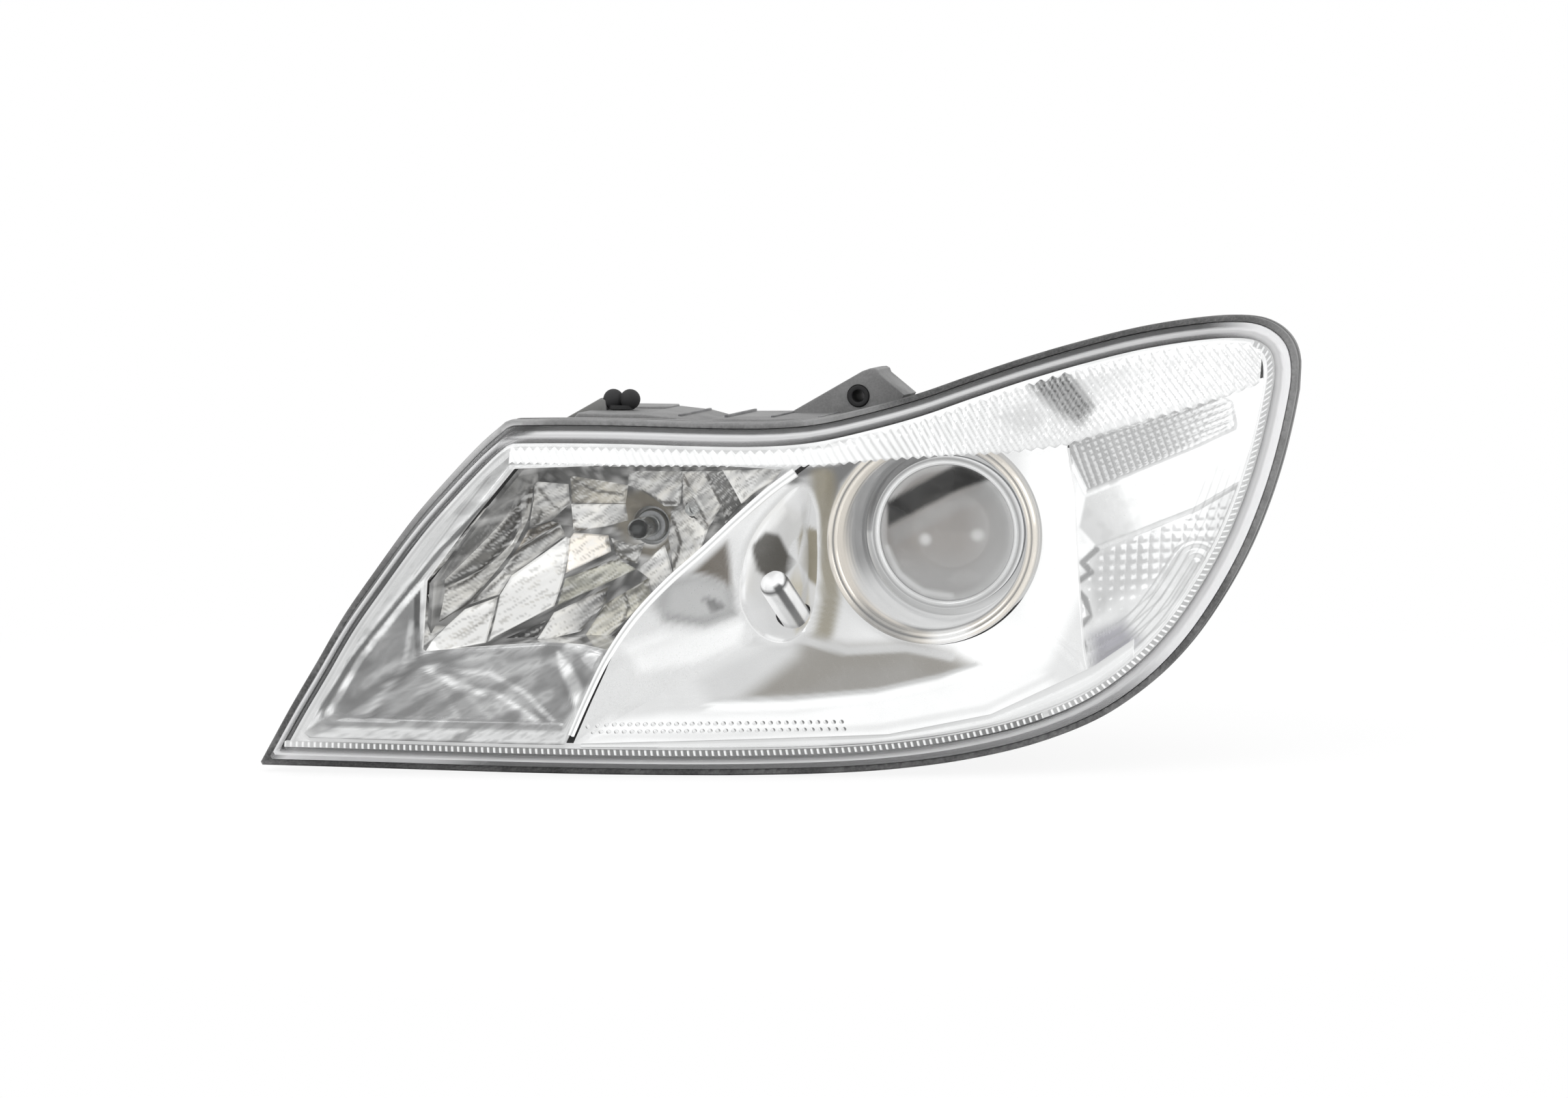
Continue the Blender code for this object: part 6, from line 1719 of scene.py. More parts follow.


# Facets of the dish, each with its painted reflection tone: (tone, outline).
FACETS = [
    (178, [(-244.3, -22.8), (-239, -10.6), (-225.6, 11.2), (-211.5, 25.4), (-210.9, 17.2),
           (-218.9, 6.2), (-235.4, -9), (-242.7, -21.7)]),
    (120, [(-242.5, -23.1), (-235.4, -9), (-218.9, 6.2), (-210.9, 17.2), (-210.9, 9.8),
           (-215.8, -7), (-225.2, -18.6), (-239.3, -27.5)]),
    (160, [(-242.8, -28.3), (-225.2, -18.6), (-215.8, -7), (-211.7, 2.6), (-211.6, 24.6),
           (-205.7, 24.2), (-209.4, 5.3), (-215.6, -11.3), (-228.9, -35.6), (-237.7, -43.5)]),
    (172, [(-241.2, -56.8), (-242.8, -29.3), (-238.2, -42.6), (-233.9, -44)]),
    (182, [(-205.7, 24.2), (-192.3, 22), (-192.7, 11.6), (-200.6, 3.3), (-209.5, -0.4)]),
    ((148, 141, 131), [(-209.5, -0.4), (-200.6, 3.3), (-197.2, 1.6), (-211.5, -8.8),
                       (-215.5, -14.1)]),
    (188, [(-215.5, -14.1), (-211.5, -8.8), (-197.2, 1.6), (-194.8, -4.3), (-214.7, -22.4),
           (-218.1, -19.4)]),
    (222, [(-218.1, -19.4), (-214.7, -22.4), (-218, -31.6), (-228.9, -35.6)]),
    (251, [(-194.8, -5), (-192.4, -5.8), (-194.2, -26.7), (-195.6, -38.8), (-215.7, -51.4),
           (-217.3, -53.1), (-217.7, -31.6), (-214.7, -22.4)]),
    (248, [(-241.2, -56.8), (-233.4, -43.2), (-228.9, -36.6), (-218.3, -32.3), (-218.2, -53.6)]),
    ((176, 173, 165), [(-191.1, 26.4), (-165.3, 20.7), (-167.6, 11), (-192.1, 11.6)]),
    (207, [(-192.1, 11.6), (-167.6, 11), (-166.6, 2.2), (-176.1, -0.6), (-191.3, -3)]),
    ((233, 226, 217), [(-191.3, -3), (-176.1, -4.9), (-174.3, -13.5), (-193.5, -23.3),
                       (-193, -5.8)]),
    (168, [(-174.7, -6.4), (-164, -10), (-157.9, -8.4), (-161.3, -19.2), (-171.4, -16.4)]),
    ((184, 184, 173), [(-193.2, -25.4), (-171.4, -16.4), (-160.9, -22), (-194.4, -38.8)]),
    (205, [(-195.1, -41.4), (-173.6, -30.2), (-173.3, -38.3), (-181.6, -51.2), (-195.2, -54.3),
           (-198.9, -53.5)]),
    ((199, 197, 186), [(-173.3, -38.3), (-154.5, -26), (-151.1, -35.4), (-169.9, -55.2),
                       (-179.4, -54.4)]),
    (86, [(-212.3, -52.3), (-197.7, -45.2), (-199.1, -52.8)]),
    (86, [(-169.7, -55.9), (-151.6, -39.5), (-155, -48.7), (-164, -60.3)]),
    (190, [(-164.1, 28.2), (-134.6, 29), (-138.9, 10.2), (-147, 9.8), (-157.1, 17),
           (-165.3, 20.7)]),
    (180, [(-134.6, 29), (-120.1, 29.9), (-111.4, 13.6), (-121.8, -0.4), (-137.2, 10.2)]),
    (124, [(-120.1, 29.9), (-108.2, 30.9), (-96.5, 15.2), (-110.1, 3.6), (-111.4, 13.6)]),
    (208, [(-108, 31.6), (-68.1, 35.3), (-74.4, 29.2), (-96.5, 15.2)]),
    (196, [(-137.2, 10.2), (-121.8, -0.4), (-126.7, -12.1), (-140.4, -25.5), (-145.7, -6.1),
           (-143.8, 8)]),
    (206, [(-160.9, -22), (-147.6, -9.5), (-140.4, -25.5), (-150.6, -34.1), (-154.5, -26)]),
]


def drawn_in(loop, by):
    """A closed anticlockwise loop moved inwards."""
    out = []
    for i, point in enumerate(loop):
        ahead = (loop[(i + 1) % len(loop)] - loop[i - 1]).normalized()
        out.append(point + Vector((-ahead.y, ahead.x)) * by)
    return out


def tile_points(outline_points):
    """Flat points of a tile and the number of them that form its rim."""
    loop = []
    for start, end in zip(outline_points, outline_points[1:] + outline_points[:1]):
        start, end = Vector(start), Vector(end)
        count = max(1, int((end - start).length / 1.0))
        loop += [start.lerp(end, j / count) for j in range(count)]
    rim = drawn_in(loop, 0.28)      # leaves a dark joint between tiles
    second = drawn_in(loop, 0.75)
    clear = side_distance(outline_points, *np.array(second).T)
    second = [p for p, distance in zip(second, clear) if distance > 0.55]
    (x0, z0), (x1, z1) = np.min(outline_points, 0), np.max(outline_points, 0)
    x, z = [axis.ravel() for axis in np.meshgrid(np.arange(x0, x1, 0.9), np.arange(z0, z1, 0.9))]
    clear = side_distance(outline_points, x, z)
    return rim + second + [Vector(p) for *p, d in zip(x, z, clear) if d > 1.1], len(rim)


def facet_tile(k, points):
    """A solid tile with its own tilt and bulge, standing on the dish."""
    area = sum(a[0] * b[1] - b[0] * a[1] for a, b in zip(points, points[1:] + points[:1]))
    points = points if area > 0 else points[::-1]
    corners = np.array(points)
    centre_x, centre_z = corners.mean(0)
    radius = max(np.hypot(corners[:, 0] - centre_x, corners[:, 1] - centre_z))
    flat, rim = tile_points(points)
    places, _, faces, *_ = delaunay_2d_cdt(flat, [(i, (i + 1) % rim) for i in range(rim)], [],
                                           1, 1e-5)
    tilt_x, tilt_z = 0.05 * math.sin(k * 2.4), 0.05 * math.cos(k * 1.7)
    bulge = 0.6 + 0.5 * math.sin(k * 1.3)
    inside = side_distance(points, *np.array(places).T)
    bm = bmesh.new()
    front, back = [], []
    for (x, z), depth in zip(places, inside):
        base = dish_depth(x, z) - 2.4
        off_x, off_z = x - centre_x, z - centre_z
        y = base + tilt_x * off_x + tilt_z * off_z
        y -= bulge * (1 - (off_x ** 2 + off_z ** 2) / radius ** 2)
        y += 0.45 * (1 - min(1.0, depth / 0.7))
        front.append(bm.verts.new((x * MM, y * MM, z * MM)))
        back.append(bm.verts.new((x * MM, (base + 3.4) * MM, z * MM)))
    edges = {}      # directed edges, in the order they are met
    for face in faces:
        bm.faces.new([front[i] for i in face])
        bm.faces.new([back[i] for i in reversed(face)])
        edges.update(dict.fromkeys(zip(face, [*face[1:], face[0]])))
    for i, j in edges:
        if (j, i) not in edges:
            bm.faces.new((front[j], front[i], back[i], back[j]))
    bmesh.ops.recalc_face_normals(bm, faces=bm.faces)
    return solid(bm)


# Lines drawn over the facets, painted dark reflections and light glints: (width, tone, amount,
# points).
ACCENTS = [
    (1.0, (74, 70, 64), 0.9, [(-243, -25), (-232, -16), (-222, -4), (-214, 8), (-211.5, 20)]),
    (0.7, (60, 57, 52), 0.9, [(-242, -31), (-228, -22), (-219, -9), (-213, 6), (-211, 22)]),
    (1.4, (66, 62, 56), 0.9, [(-236, -42), (-227, -33), (-217, -14), (-210, 4), (-206.5, 20)]),
    (2.2, (205, 204, 200), 0.7, [(-232, -14), (-222, 0), (-215, 12)]),
    (1.6, (188, 186, 180), 0.6, [(-238, -34), (-226, -27), (-217, -16)]),
    (1.0, (86, 78, 68), 0.9, [(-208, -3), (-198, 2.4), (-190, 3)]),
    (0.8, (70, 64, 56), 0.8, [(-214, -12), (-204, -5), (-196, 0)]),
    (1.2, (92, 82, 68), 0.9, [(-191, -1), (-180, -3), (-172, -5)]),
    (1.4, (84, 80, 68), 0.9, [(-192, -24), (-180, -20), (-168, -16), (-160, -20)]),
    (1.6, (78, 74, 66), 0.7, [(-176, -8), (-170, -14), (-160, -12)]),
    (1.2, (96, 92, 78), 0.85, [(-195, -40), (-183, -34), (-173, -31)]),
    (1.2, (90, 88, 72), 0.85, [(-173, -36), (-163, -30), (-154, -27)]),
    (0.9, (84, 82, 72), 0.8, [(-181, -50), (-174, -42), (-170, -36)]),
    (0.8, (80, 76, 70), 0.7, [(-205, 22), (-200, 12), (-194, 6)]),
    (1.0, (98, 96, 90), 0.8, [(-190, 24), (-180, 18), (-168, 16)]),
    (1.0, (214, 214, 212), 0.8, [(-163, 25), (-152, 22), (-140, 22)]),
    (1.0, (74, 70, 66), 0.8, [(-158, 18), (-148, 12), (-139, 12)]),
    (1.2, (82, 78, 74), 0.8, [(-134, 27), (-128, 14), (-122, 2)]),
    (1.2, (70, 68, 64), 0.8, [(-119, 28), (-113, 16), (-108, 8)]),
    (1.6, (222, 222, 220), 0.7, [(-131, 20), (-124, 10)]),
    (1.3, (80, 76, 70), 0.85, [(-143, 4), (-138, -8), (-141, -20)]),
    (1.0, (214, 212, 206), 0.8, [(-136, 4), (-130, -6), (-128, -12)]),
    (0.6, (130, 126, 120), 0.6, [(-230, -50), (-222, -44), (-219, -38)]),
    (2.6, (222, 220, 216), 0.7, [(-240, -24), (-228, -10), (-219, 6), (-213, 20)]),
    (2.2, (214, 212, 207), 0.6, [(-234, -36), (-223, -22), (-213, -4), (-207, 12)]),
    (1.0, (70, 67, 62), 0.8, [(-226, -34), (-218, -24), (-210, -8), (-204, 8)]),
    (6.5, (132, 130, 118), 0.7, [(-157, -30), (-152, -38), (-154, -48)]),
    (0.9, (66, 64, 58), 0.8, [(-166, -31), (-161, -40), (-163, -50)]),
]


def facet_colours(k, tone, points, inside, x, z, broad, fine):
    """One facet's colour: a painted reflection, shaded across its own slant, streaked and warmed;
    the facet is dark at its edge.
    """
    colour = np.array(linear(tone)) * 1.12
    corners = np.array(points)
    centre_x, centre_z = corners.mean(0)
    size = max(np.ptp(corners[:, 0]), np.ptp(corners[:, 1]))
    slant = ((x - centre_x) * math.cos(k * 1.9) + (z - centre_z) * math.sin(k * 1.9)) / size
    # how strongly the slant and both streaks show: weaker on bright facets
    across, wide, thin = (0.42, 0.5, 0.12) if colour[0] < 0.8 else (0.08, 0.1, 0.03)
    shade = colour[None, :] * (1 + across * 2 * slant + wide * broad + thin * fine)[:, None]
    shade = np.maximum(shade, 0.01) ** 1.22 * 1.12
    warm = np.array((1.0, 0.975, 0.92))
    shade = shade * (warm[None, :] ** (1.5 * np.clip(0.3 + broad, 0, 1))[:, None])
    return shade * (1 - 0.62 * (1 - np.clip(inside / 0.9, 0, 1))[:, None])


def paint_tiles(x, y, z):
    paint = Paint(x, z, 90)
    best = np.full(len(x), -1e9)
    broad = streaks(x, z, drift=(0.035, 0.055), across=(0.62, 0.9), pitch=0.24, seed=4.0)
    fine = streaks(x, z, drift=(0.10, 0.14), across=(0.62, 0.9), pitch=0.9, seed=9.0)
    for k, (tone, points) in enumerate(FACETS):
        inside = side_distance(points, x, z)
        shade = facet_colours(k, tone, points, inside, x, z, broad, fine)
        paint.colours = np.where((inside > best)[:, None], shade, paint.colours)
        best = np.maximum(best, inside)
    paint.layers([(width, tone, 0.7, amount, line) for width, tone, amount, line in ACCENTS])
    # painted light and dark streaks of reflection over the facets
    paint.over(0.5 * ramp(fine, 0.1, 0.36), 236).over(0.45 * ramp(-fine, 0.1, 0.36), 88)
    return paint.colours * 0.6 + paint.colours.mean(axis=1, keepdims=True) * 0.4


def paint_dish(x, y, z):
    paint = (Paint(x, z, 96)
             .clouds(scale=9, amount=0.7, tone=66, seed=2.2)
             .clouds(scale=5, amount=0.5, tone=205, seed=7.2)
             .layers([(0, (116, 112, 104), 3, 1,
                       [(-171, 14), (-160, 18), (-146, 14), (-140, 2), (-144, -12), (-156, -16),
                        (-168, -10), (-173, 2)]),
                      (0, (92, 89, 83), 3, 1,
                       [(-165, 8), (-156, 11), (-147, 6), (-146, -4), (-154, -9), (-164, -6)])]))
    # arcs round the bulb, open at the upper left
    radius = np.hypot(x + 155, z - 1.6)
    angle = np.degrees(np.arctan2(z - 1.6, x + 155))
    for arc, tone in ((11.5, 205), (15.0, 150), (18.5, 214)):
        paint.over(fall(np.abs(radius - arc), 0.3, 1.1) * 0.7
                   * fall(np.abs(angle + 60), 60, 110), tone)
    return paint.colours


def make_dish():
    front = (0.0, 0.05, 0.1, 0.16, 0.23, 0.3, 0.38, 0.46, 0.54, 0.62, 0.7, 0.78, 0.86, 0.93,
             0.985)
    back = (0.86, 0.7, 0.54, 0.38, 0.23, 0.1, 0.0)
    dish = loft([dish_row(s) for s in front]
                + [dish_row(1.0, lip=True), dish_row(1.0, out=2.2, lip=True),
                   dish_row(1.0, back=2.6, out=2.2)]
                + [dish_row(s, back=2.6) for s in back], closed=True)
    for at in PILLARS:
        join(dish, rod(4.6, -2.2, 31.6, at, 32))
        cut(dish, rod(2.2, 18, 40, at, 24))
    return cut(dish, rod(6.6, -20, 20, PARKING, 40))


piece("high_beam_reflector", make_dish(), "facet", 34, paint=paint_dish)
piece("high_beam_reflector", merged([facet_tile(k, p) for k, (_, p) in enumerate(FACETS)]),
      "facet", 22, name="high_beam_facets", paint=paint_tiles)


# ---------------------------------------------------------------- high-beam and parking bulbs
def beam_point(x, y):
    """A point at the height of the high beam's axis, x from it."""
    return BEAM[0] + x, y, BEAM[1]


def plug_block(x, y, z):
    """A push-on plug: ribbed sides and a latch recess on top."""
    plug = block(x, y, z, 1.0)
    middle = sum(z) / 2
    for k in range(5):
        groove = y[0] + 3.2 + k * (y[1] - y[0] - 6.4) / 4
        depth, height = (groove - 0.7, groove + 0.7), (middle - 6, middle + 6)
        cut(plug, block((x[0] - 1, x[0] + 0.7), depth, height),
            block((x[1] - 0.7, x[1] + 1), depth, height))
    return cut(plug, block((x[0] + 5, x[1] - 5), (y[1] - 9, y[1] - 3), (z[1] - 1.1, z[1] + 1)))


piece("high_beam_bulb", turned([(0, -22), (3.4, -21), (5.2, -18.6), (5.6, -16), (5.6, 4),
                                (4.6, 6), (0, 6)], 56, BEAM, fillet=0.8), "glass", 60)
piece("high_beam_bulb", merged([
    turned([(0, -21.2), (2.6, -20.6), (4.3, -18.8), (4.7, -16.6), (4.7, -14.8), (0, -14.8)],
           40, BEAM, fillet=0.3),
    rod_between(1.1, beam_point(-3, -8), beam_point(3, -8), 24),
    rod_between(0.35, beam_point(-3, -8), beam_point(-2.4, 5), 12),
    rod_between(0.35, beam_point(3, -8), beam_point(2.4, 5), 12)]),
    "black", 40, name="high_beam_filament")
piece("high_beam_bulb_base",
      turned([(0, 6.4), (7.6, 6.4), (8.2, 8), (8.2, 10.9), (13, 10.9), (13, 12.4), (8.4, 12.4),
              (8.4, 16.4), (0, 16.4)], 72, BEAM, fillet=0.4), "cast")
piece("high_beam_plug", plug_block((BEAM[0] - 9, BEAM[0] + 9), (16.8, 36), (-9, 9)), "black")
piece("parking_bulb", turned([(0, -14), (2, -13.5), (3.2, -12), (3.6, -10), (3.6, -3), (2.8, -2),
                              (0, -2)], 56, PARKING, fillet=0.8), "glass", 60)
piece("parking_bulb_holder",
      turned([(0, -1.6), (5.6, -1.6), (5.9, 0), (5.9, 6.5), (9, 6.5), (9, 8.5), (6.5, 8.5),
              (6.5, 20), (0, 20)], 64, PARKING, fillet=0.5), "black")


# ---------------------------------------------------------------- carrier
def make_carrier():
    round_beam = [polar(35.5, math.radians(degrees), BEAM) for degrees in range(262, 97, -5)]
    carrier = plate(round_beam + [(-150, 35.5), (-130, 38), (-101, 42), (-78, 42), (-40, 40),
                                  (-40, -34), (-62, -40), (-76, -72), (-104, -72), (-106, -36),
                                  (-130, -36), (-150, -35.5)], 32, 39.5, 0.6)
    join(carrier,
         rod(54, 32.01, 39.49, steps=96),
         plate([(30, 16), (84, 19), (86, 22), (86, 39), (83, 42), (30, 44)], 32.02, 39.48, 0.5),
         block((-102, -78), (38, 50), (20, 40), 0.7),
         block((-72, -64), (39, 46), (-36, 38), 0.6))
    return cut(
        carrier,
        rod(38.9, 20, 60, steps=96),
        rod(26, 20, 60, BEAM, 72),
        rod_between(6.9, (-97, AIM_Y, AIM_Z), (-83, AIM_Y, AIM_Z), 48),
        block((-97, -83), (AIM_Y, 60), (AIM_Z - 5.4, AIM_Z + 5.4)),
        block((-128, -108), (36.5, 45), (6, 30), 1.0),
        block((-60, -44), (36.5, 45), (8, 34), 1.0),
        block((-128, -108), (36.5, 45), (-30, -6), 1.0),
        *(rod(2.3, 30, 42, at, 24) for at in SCREWS + PILLARS))


def aim_ball(radius, at, steps=40):
    return ball(radius, (at[0], AIM_Y, at[1]), steps)


piece("carrier_frame", make_carrier(), "black")
for node, at in (("level_socket", LEVEL), ("trim_socket", TRIM)):
    socket = block((at[0] - 8.5, at[0] + 8.5), (39.9, 50), (at[1] - 8.5, at[1] + 8.5), 0.9)
    piece(node, cut(socket, aim_ball(4.6, at), rod(3.9, AIM_Y, 54, at, 40, 4.5)), "nylon")
piece("pivot_socket", cut(rod_between(6.4, (-96.6, AIM_Y, AIM_Z), (-83.4, AIM_Y, AIM_Z), 56),
                          aim_ball(4.5, PIVOT), rod(3.7, AIM_Y, 56, PIVOT, 40, 4.6)), "nylon")

# ---------------------------------------------------------------- low-beam projector
LENS_R = 33.0
LENS_PROFILE = ([(0, -13)]
                + [(r, -13 + 12.98 * (r / LENS_R) ** 2.25)
                   for r in [LENS_R * k / 26 for k in range(1, 26)]]
                + [(33, 0), (33.6, -0.1), (34.6, 0), (35, 0.5), (35, 2.5), (34.5, 3), (33, 3),
                   (33, 8), (0, 8)])
# Painted dark reflection across the lens, with a softer grey band below it: (line width or 0 to
# fill, tone, soft edge, amount, points).
LENS_BAR = [
    (0, (10, 9, 8), 3.0, 1.0, [(-31, 14.7), (3.6, 33.7), (20.8, 36.8), (28, 29.0), (7.5, 22.0),
                               (-29.5, 2.8)]),
    (0, 168, 6, 0.5, [(-29, 1), (7, 20), (24, 27), (29, 19), (8, 12), (-26, -6)]),
]
# A painted light arc of reflection low on the lens.
LENS_ARC = [(1.0, 214, 2.2, 0.7, [(-30, -8), (-24, -21), (-12, -29.5), (2, -31.5)])]


def paint_lens(x, y, z):
    radius = np.hypot(x, z)
    return (Paint(x, z, (152, 148, 145))
            .over(ramp(-z, 2, 24) * 0.7, 166)
            .over(ramp(x, 8, 28) * 0.7, 182)
            .over(ramp(radius, 29, 33) * 0.6, 196)
            .layers(LENS_BAR)
            # two painted highlights
            .over(fall(np.hypot(x + 8.5, z + 2.6), 1.0, 4.5) * 0.7, 222)
            .over(fall(np.hypot(x - 17.4, z), 1.0, 4.5) * 0.6, 226)
            .layers(LENS_ARC)
            .over(ramp(radius, 33.3, 34.2), 120)).colours


def paint_ring(x, y, z):
    radius = np.hypot(x, z)
    return (Paint(x, z, 224)
            .over(ramp(radius, 35.3, 36.0) * 0.9, 168)
            .over(ramp(radius, 37.2, 37.8) * 0.8, 216)
            .over(ramp(-z, 10, 34) * 0.3, 170)).colours


def paint_collar(x, y, z):
    angle = np.degrees(np.arctan2(z, x))
    return (Paint(x, z, 196)
            .over(fall(np.abs(angle - 140), 20, 60) * 0.9, 104)
            .over(fall(np.abs(angle + 120), 20, 60) * 0.5, 160)).colours


def screw_holes(y0, y1):
    return [rod(2.3, y0, y1, at, 24) for at in SCREWS]


def screw(at, radius, y0, y1, head_radius, y2):
    """A pan-head screw from its tip y0 to under its head y1 and its top y2.

    The thread is drawn as rings and the head has a cross recess.
    """
    profile = [(0, y0), (radius * 0.55, y0)]
    for y in stations(y0 + 0.6, y1 - 2.0, 0.9):
        profile += [(radius * 0.82, y), (radius, y + 0.35), (radius * 0.82, y + 0.7)]
    profile += [(radius, y1 - 1.2), (radius, y1), (head_radius, y1), (head_radius, y2 - 0.9),
                (head_radius * 0.72, y2 - 0.1), (0, y2)]
    (x, z), arm, depth = at, head_radius * 0.62, (y2 - 1.1, y2 + 1)
    return cut(turned(profile, 32, at, fillet=0.15),
               block((x - arm, x + arm), depth, (z - 0.42, z + 0.42)),
               block((x - 0.42, x + 0.42), depth, (z - arm, z + arm)))


HOLDER = turned([(33.5, 3.4), (35.1, 3.4), (35.1, 9), (37.8, 9), (37.8, 40), (52, 40), (52, 46),
                 (37, 46), (37, 12), (33.5, 9.5)], 120, fillet=0.5)
SHIELD_WINDOW = [(-36, 3), (-5, 3), (0, 0), (36, 0), (34, 14), (28, 24), (18, 31), (0, 36),
                 (-18, 31), (-28, 24), (-34, 14)]
SHIELD = turned([(0, 46.4), (52, 46.4), (52, 48), (0, 48)], 120, fillet=0.2)
MIRROR = turned([(52, 48.4), (52, 51), (43, 51), (42.3, 59), (40.6, 74), (37.3, 86),
                 (33.4, 95.6), (29, 103), (22.5, 109), (22.5, 113.6), (12.6, 113.6),
                 (12.6, 111.6), (18.5, 109.6), (25.5, 103), (30.4, 95), (34.1, 86),
                 (36.9, 76.4), (38.3, 68), (38.7, 57), (38.7, 48.4)], 120, fillet=0.8)

piece("projector_lens", turned(LENS_PROFILE, 128, fillet=0.0), "lens", 40, paint=paint_lens)
piece("lens_retaining_ring",
      turned([(34.2, -0.4), (34.2, -1.6), (35.2, -2.4), (37, -2.4), (38, -1.4), (38, 5),
              (35.5, 5), (35.5, -0.4)], 128, fillet=0.35), "tone", paint=paint_ring)
piece("lens_holder", cut(HOLDER, *screw_holes(38, 48)), "cast")
piece("lens_holder", turned([(38.0, 8.8), (49, 8.8), (49, 10.2), (38.0, 10.2)], 128, fillet=0.4),
      "tone", name="lens_holder_collar", paint=paint_collar)
piece("cutoff_shield", cut(SHIELD, plate(SHIELD_WINDOW, 40, 54), *screw_holes(44, 50)), "zinc")
piece("projector_reflector", cut(MIRROR, *screw_holes(46, 53)), "mirror")
for n, at in enumerate(SCREWS):
    piece(f"projector_screw_{n + 1}", screw(at, 1.9, 34, 51.4, 3.8, 54.2), "zinc")
for n, at in enumerate(PILLARS):
    piece(f"high_beam_screw_{n + 1}", screw(at, 1.8, 22, 39.9, 3.2, 40.9), "zinc")
piece("low_beam_bulb", turned([(0, 84), (3, 85), (5, 87.6), (5.5, 90), (5.5, 110), (4.6, 112),
                               (0, 112)], 56, fillet=0.8), "glass", 60)
piece("low_beam_bulb_base",
      turned([(0, 112.4), (7.6, 112.4), (7.6, 114), (13, 114), (13, 115.4), (7.8, 115.4),
              (7.8, 119.6), (0, 119.6)], fillet=0.3), "cast")
piece("bulb_retainer", turned([(8.6, 115.8), (21, 115.8), (21, 118.2), (8.6, 118.2)],
                              fillet=0.4), "zinc")
piece("low_beam_plug", plug_block((-9, 9), (120, 138), (-9, 9)), "black")

# ---------------------------------------------------------------- turn lamp
TURN_BULB_R = 7.4


def paint_turn(x, y, z):
    """Painted reflections: light and dark bands along the bulb, set by how far each point lies
    across it as seen from the camera.
    """
    from_base = np.stack([x - TURN_BASE.x, y - TURN_BASE.y, z - TURN_BASE.z], 1)
    height = from_base @ np.array(TURN_AXIS)
    radial = from_base - height[:, None] * np.array(TURN_AXIS)
    across = TURN_AXIS.cross(Vector((-0.2414, 0.9665, -0.0871))).normalized()
    side = (radial @ np.array(across)) * (1 if across.x > 0 else -1) / TURN_BULB_R
    return (Paint(x, z, 214)
            .over(fall(side, -0.75, -0.55), 236)
            .over(ramp(side, -0.3, -0.1) * 0.95, 88)
            .over(ramp(side, 0.25, 0.42), 248)
            .over(ramp(side, 0.8, 0.95), 120)
            .over(ramp(height, 39.6, 40.4) * fall(height, 41.6, 42.2) * 0.95, 84)
            .over(ramp(height, 42.3, 43.2), 244)
            .over(fall(height, 6, 12) * 0.7, 170)).colours


piece("turn_bulb",
      turned([(0, 44), (2.4, 43.9), (4.4, 43.3), (5.9, 42.2), (6.9, 40.6), (TURN_BULB_R, 38.4),
              (TURN_BULB_R, 9), (7.0, 7), (6.2, 4), (5.2, 1), (0, 1)],
             72, TURN_BASE, TURN_AXIS, 0.5), "satin", 50, paint=paint_turn)
STEM = turned([(0, 0.5), (7.6, 0.5), (7.6, -5), (6.6, -6), (6.6, -58), (9.2, -60), (9.2, -76.4),
               (13.4, -76.4), (13.4, -78.8), (8, -78.8), (8, -86.5), (0, -86.5)],
              72, TURN_BASE, TURN_AXIS, 0.5)
GRIP_TURN = Vector((0, 0, 1)).rotation_difference(TURN_AXIS).to_matrix()
piece("turn_bulb_holder", join(STEM, block((-12, 12), (-2, 2), (-3.9, 3.9), 0.5, turn=GRIP_TURN,
                                           centre=TURN_BASE - TURN_AXIS * 81.9)), "black")


# ---------------------------------------------------------------- aiming gear
def make_motor():
    motor = join(block((-105, -75), (63, 95), (-80, -40), 1.6),
                 block((-113, -67), (60.4, 64.4), (-84, -36), 1.2),
                 rod(8.6, 54.6, 62, LEVEL, 56),
                 block((-99, -81), (93, 99), (-56, -44), 0.8))
    cut(motor, rod(3.3, 40, 76, LEVEL, 40), rod(3.5, 84, 99, KNOB, 40),
        block((-97.2, -82.8), (95.6, 101), (-54.2, -45.8), 0.3))
    for k in range(4):
        groove = (68 + 6.4 * k, 70.4 + 6.4 * k)
        cut(motor, block((-106, -104.3), groove, (-76, -44)),
            block((-75.7, -74), groove, (-76, -44)))
    return cut(motor, *(rod(2.2, 58, 67, at, 24) for at in MOTOR_SCREWS))


piece("pivot_ball_stud", join(aim_ball(4.0, PIVOT, 48), rod(2.4, AIM_Y, 56, PIVOT, 40),
                              rod(3.0, 55.5, 61.6, PIVOT, 40)), "zinc")
piece("leveling_motor", make_motor(), "black")
for n, at in enumerate(MOTOR_SCREWS):
    piece(f"motor_screw_{n + 1}", screw(at, 1.8, 53, 64.8, 3.4, 67.6), "zinc")
piece("motor_spindle", join(aim_ball(4.0, LEVEL, 48), rod(2.6, AIM_Y, 70, LEVEL, 40)), "nylon")
piece("vertical_adjuster_knob",
      cut(turned([(0, 87), (3, 87), (3, 95.8), (8.5, 95.8), (9, 96.4), (9, 104.4), (8, 106),
                  (0, 106)], 72, KNOB, fillet=0.4),
          block((-90, -78), (103.4, 108), (-70, -68)),
          *flutes(18, 0.9, 97.4, 103.6, 9.3, KNOB, 14)), "nylon")
SLIDER = join(aim_ball(4.0, TRIM, 48), rod(2.4, AIM_Y, 53, TRIM, 40), rod(6.0, 52, 69, TRIM, 56))
piece("horizontal_adjuster_slider", cut(SLIDER, rod(3.4, 54, 80, TRIM, 40)), "nylon")
piece("horizontal_adjuster_bush",
      turned([(3.3, 81), (4.5, 81), (4.5, 88.4), (8, 88.4), (8, 90), (3.3, 90)],
             56, TRIM, fillet=0.2), "nylon")
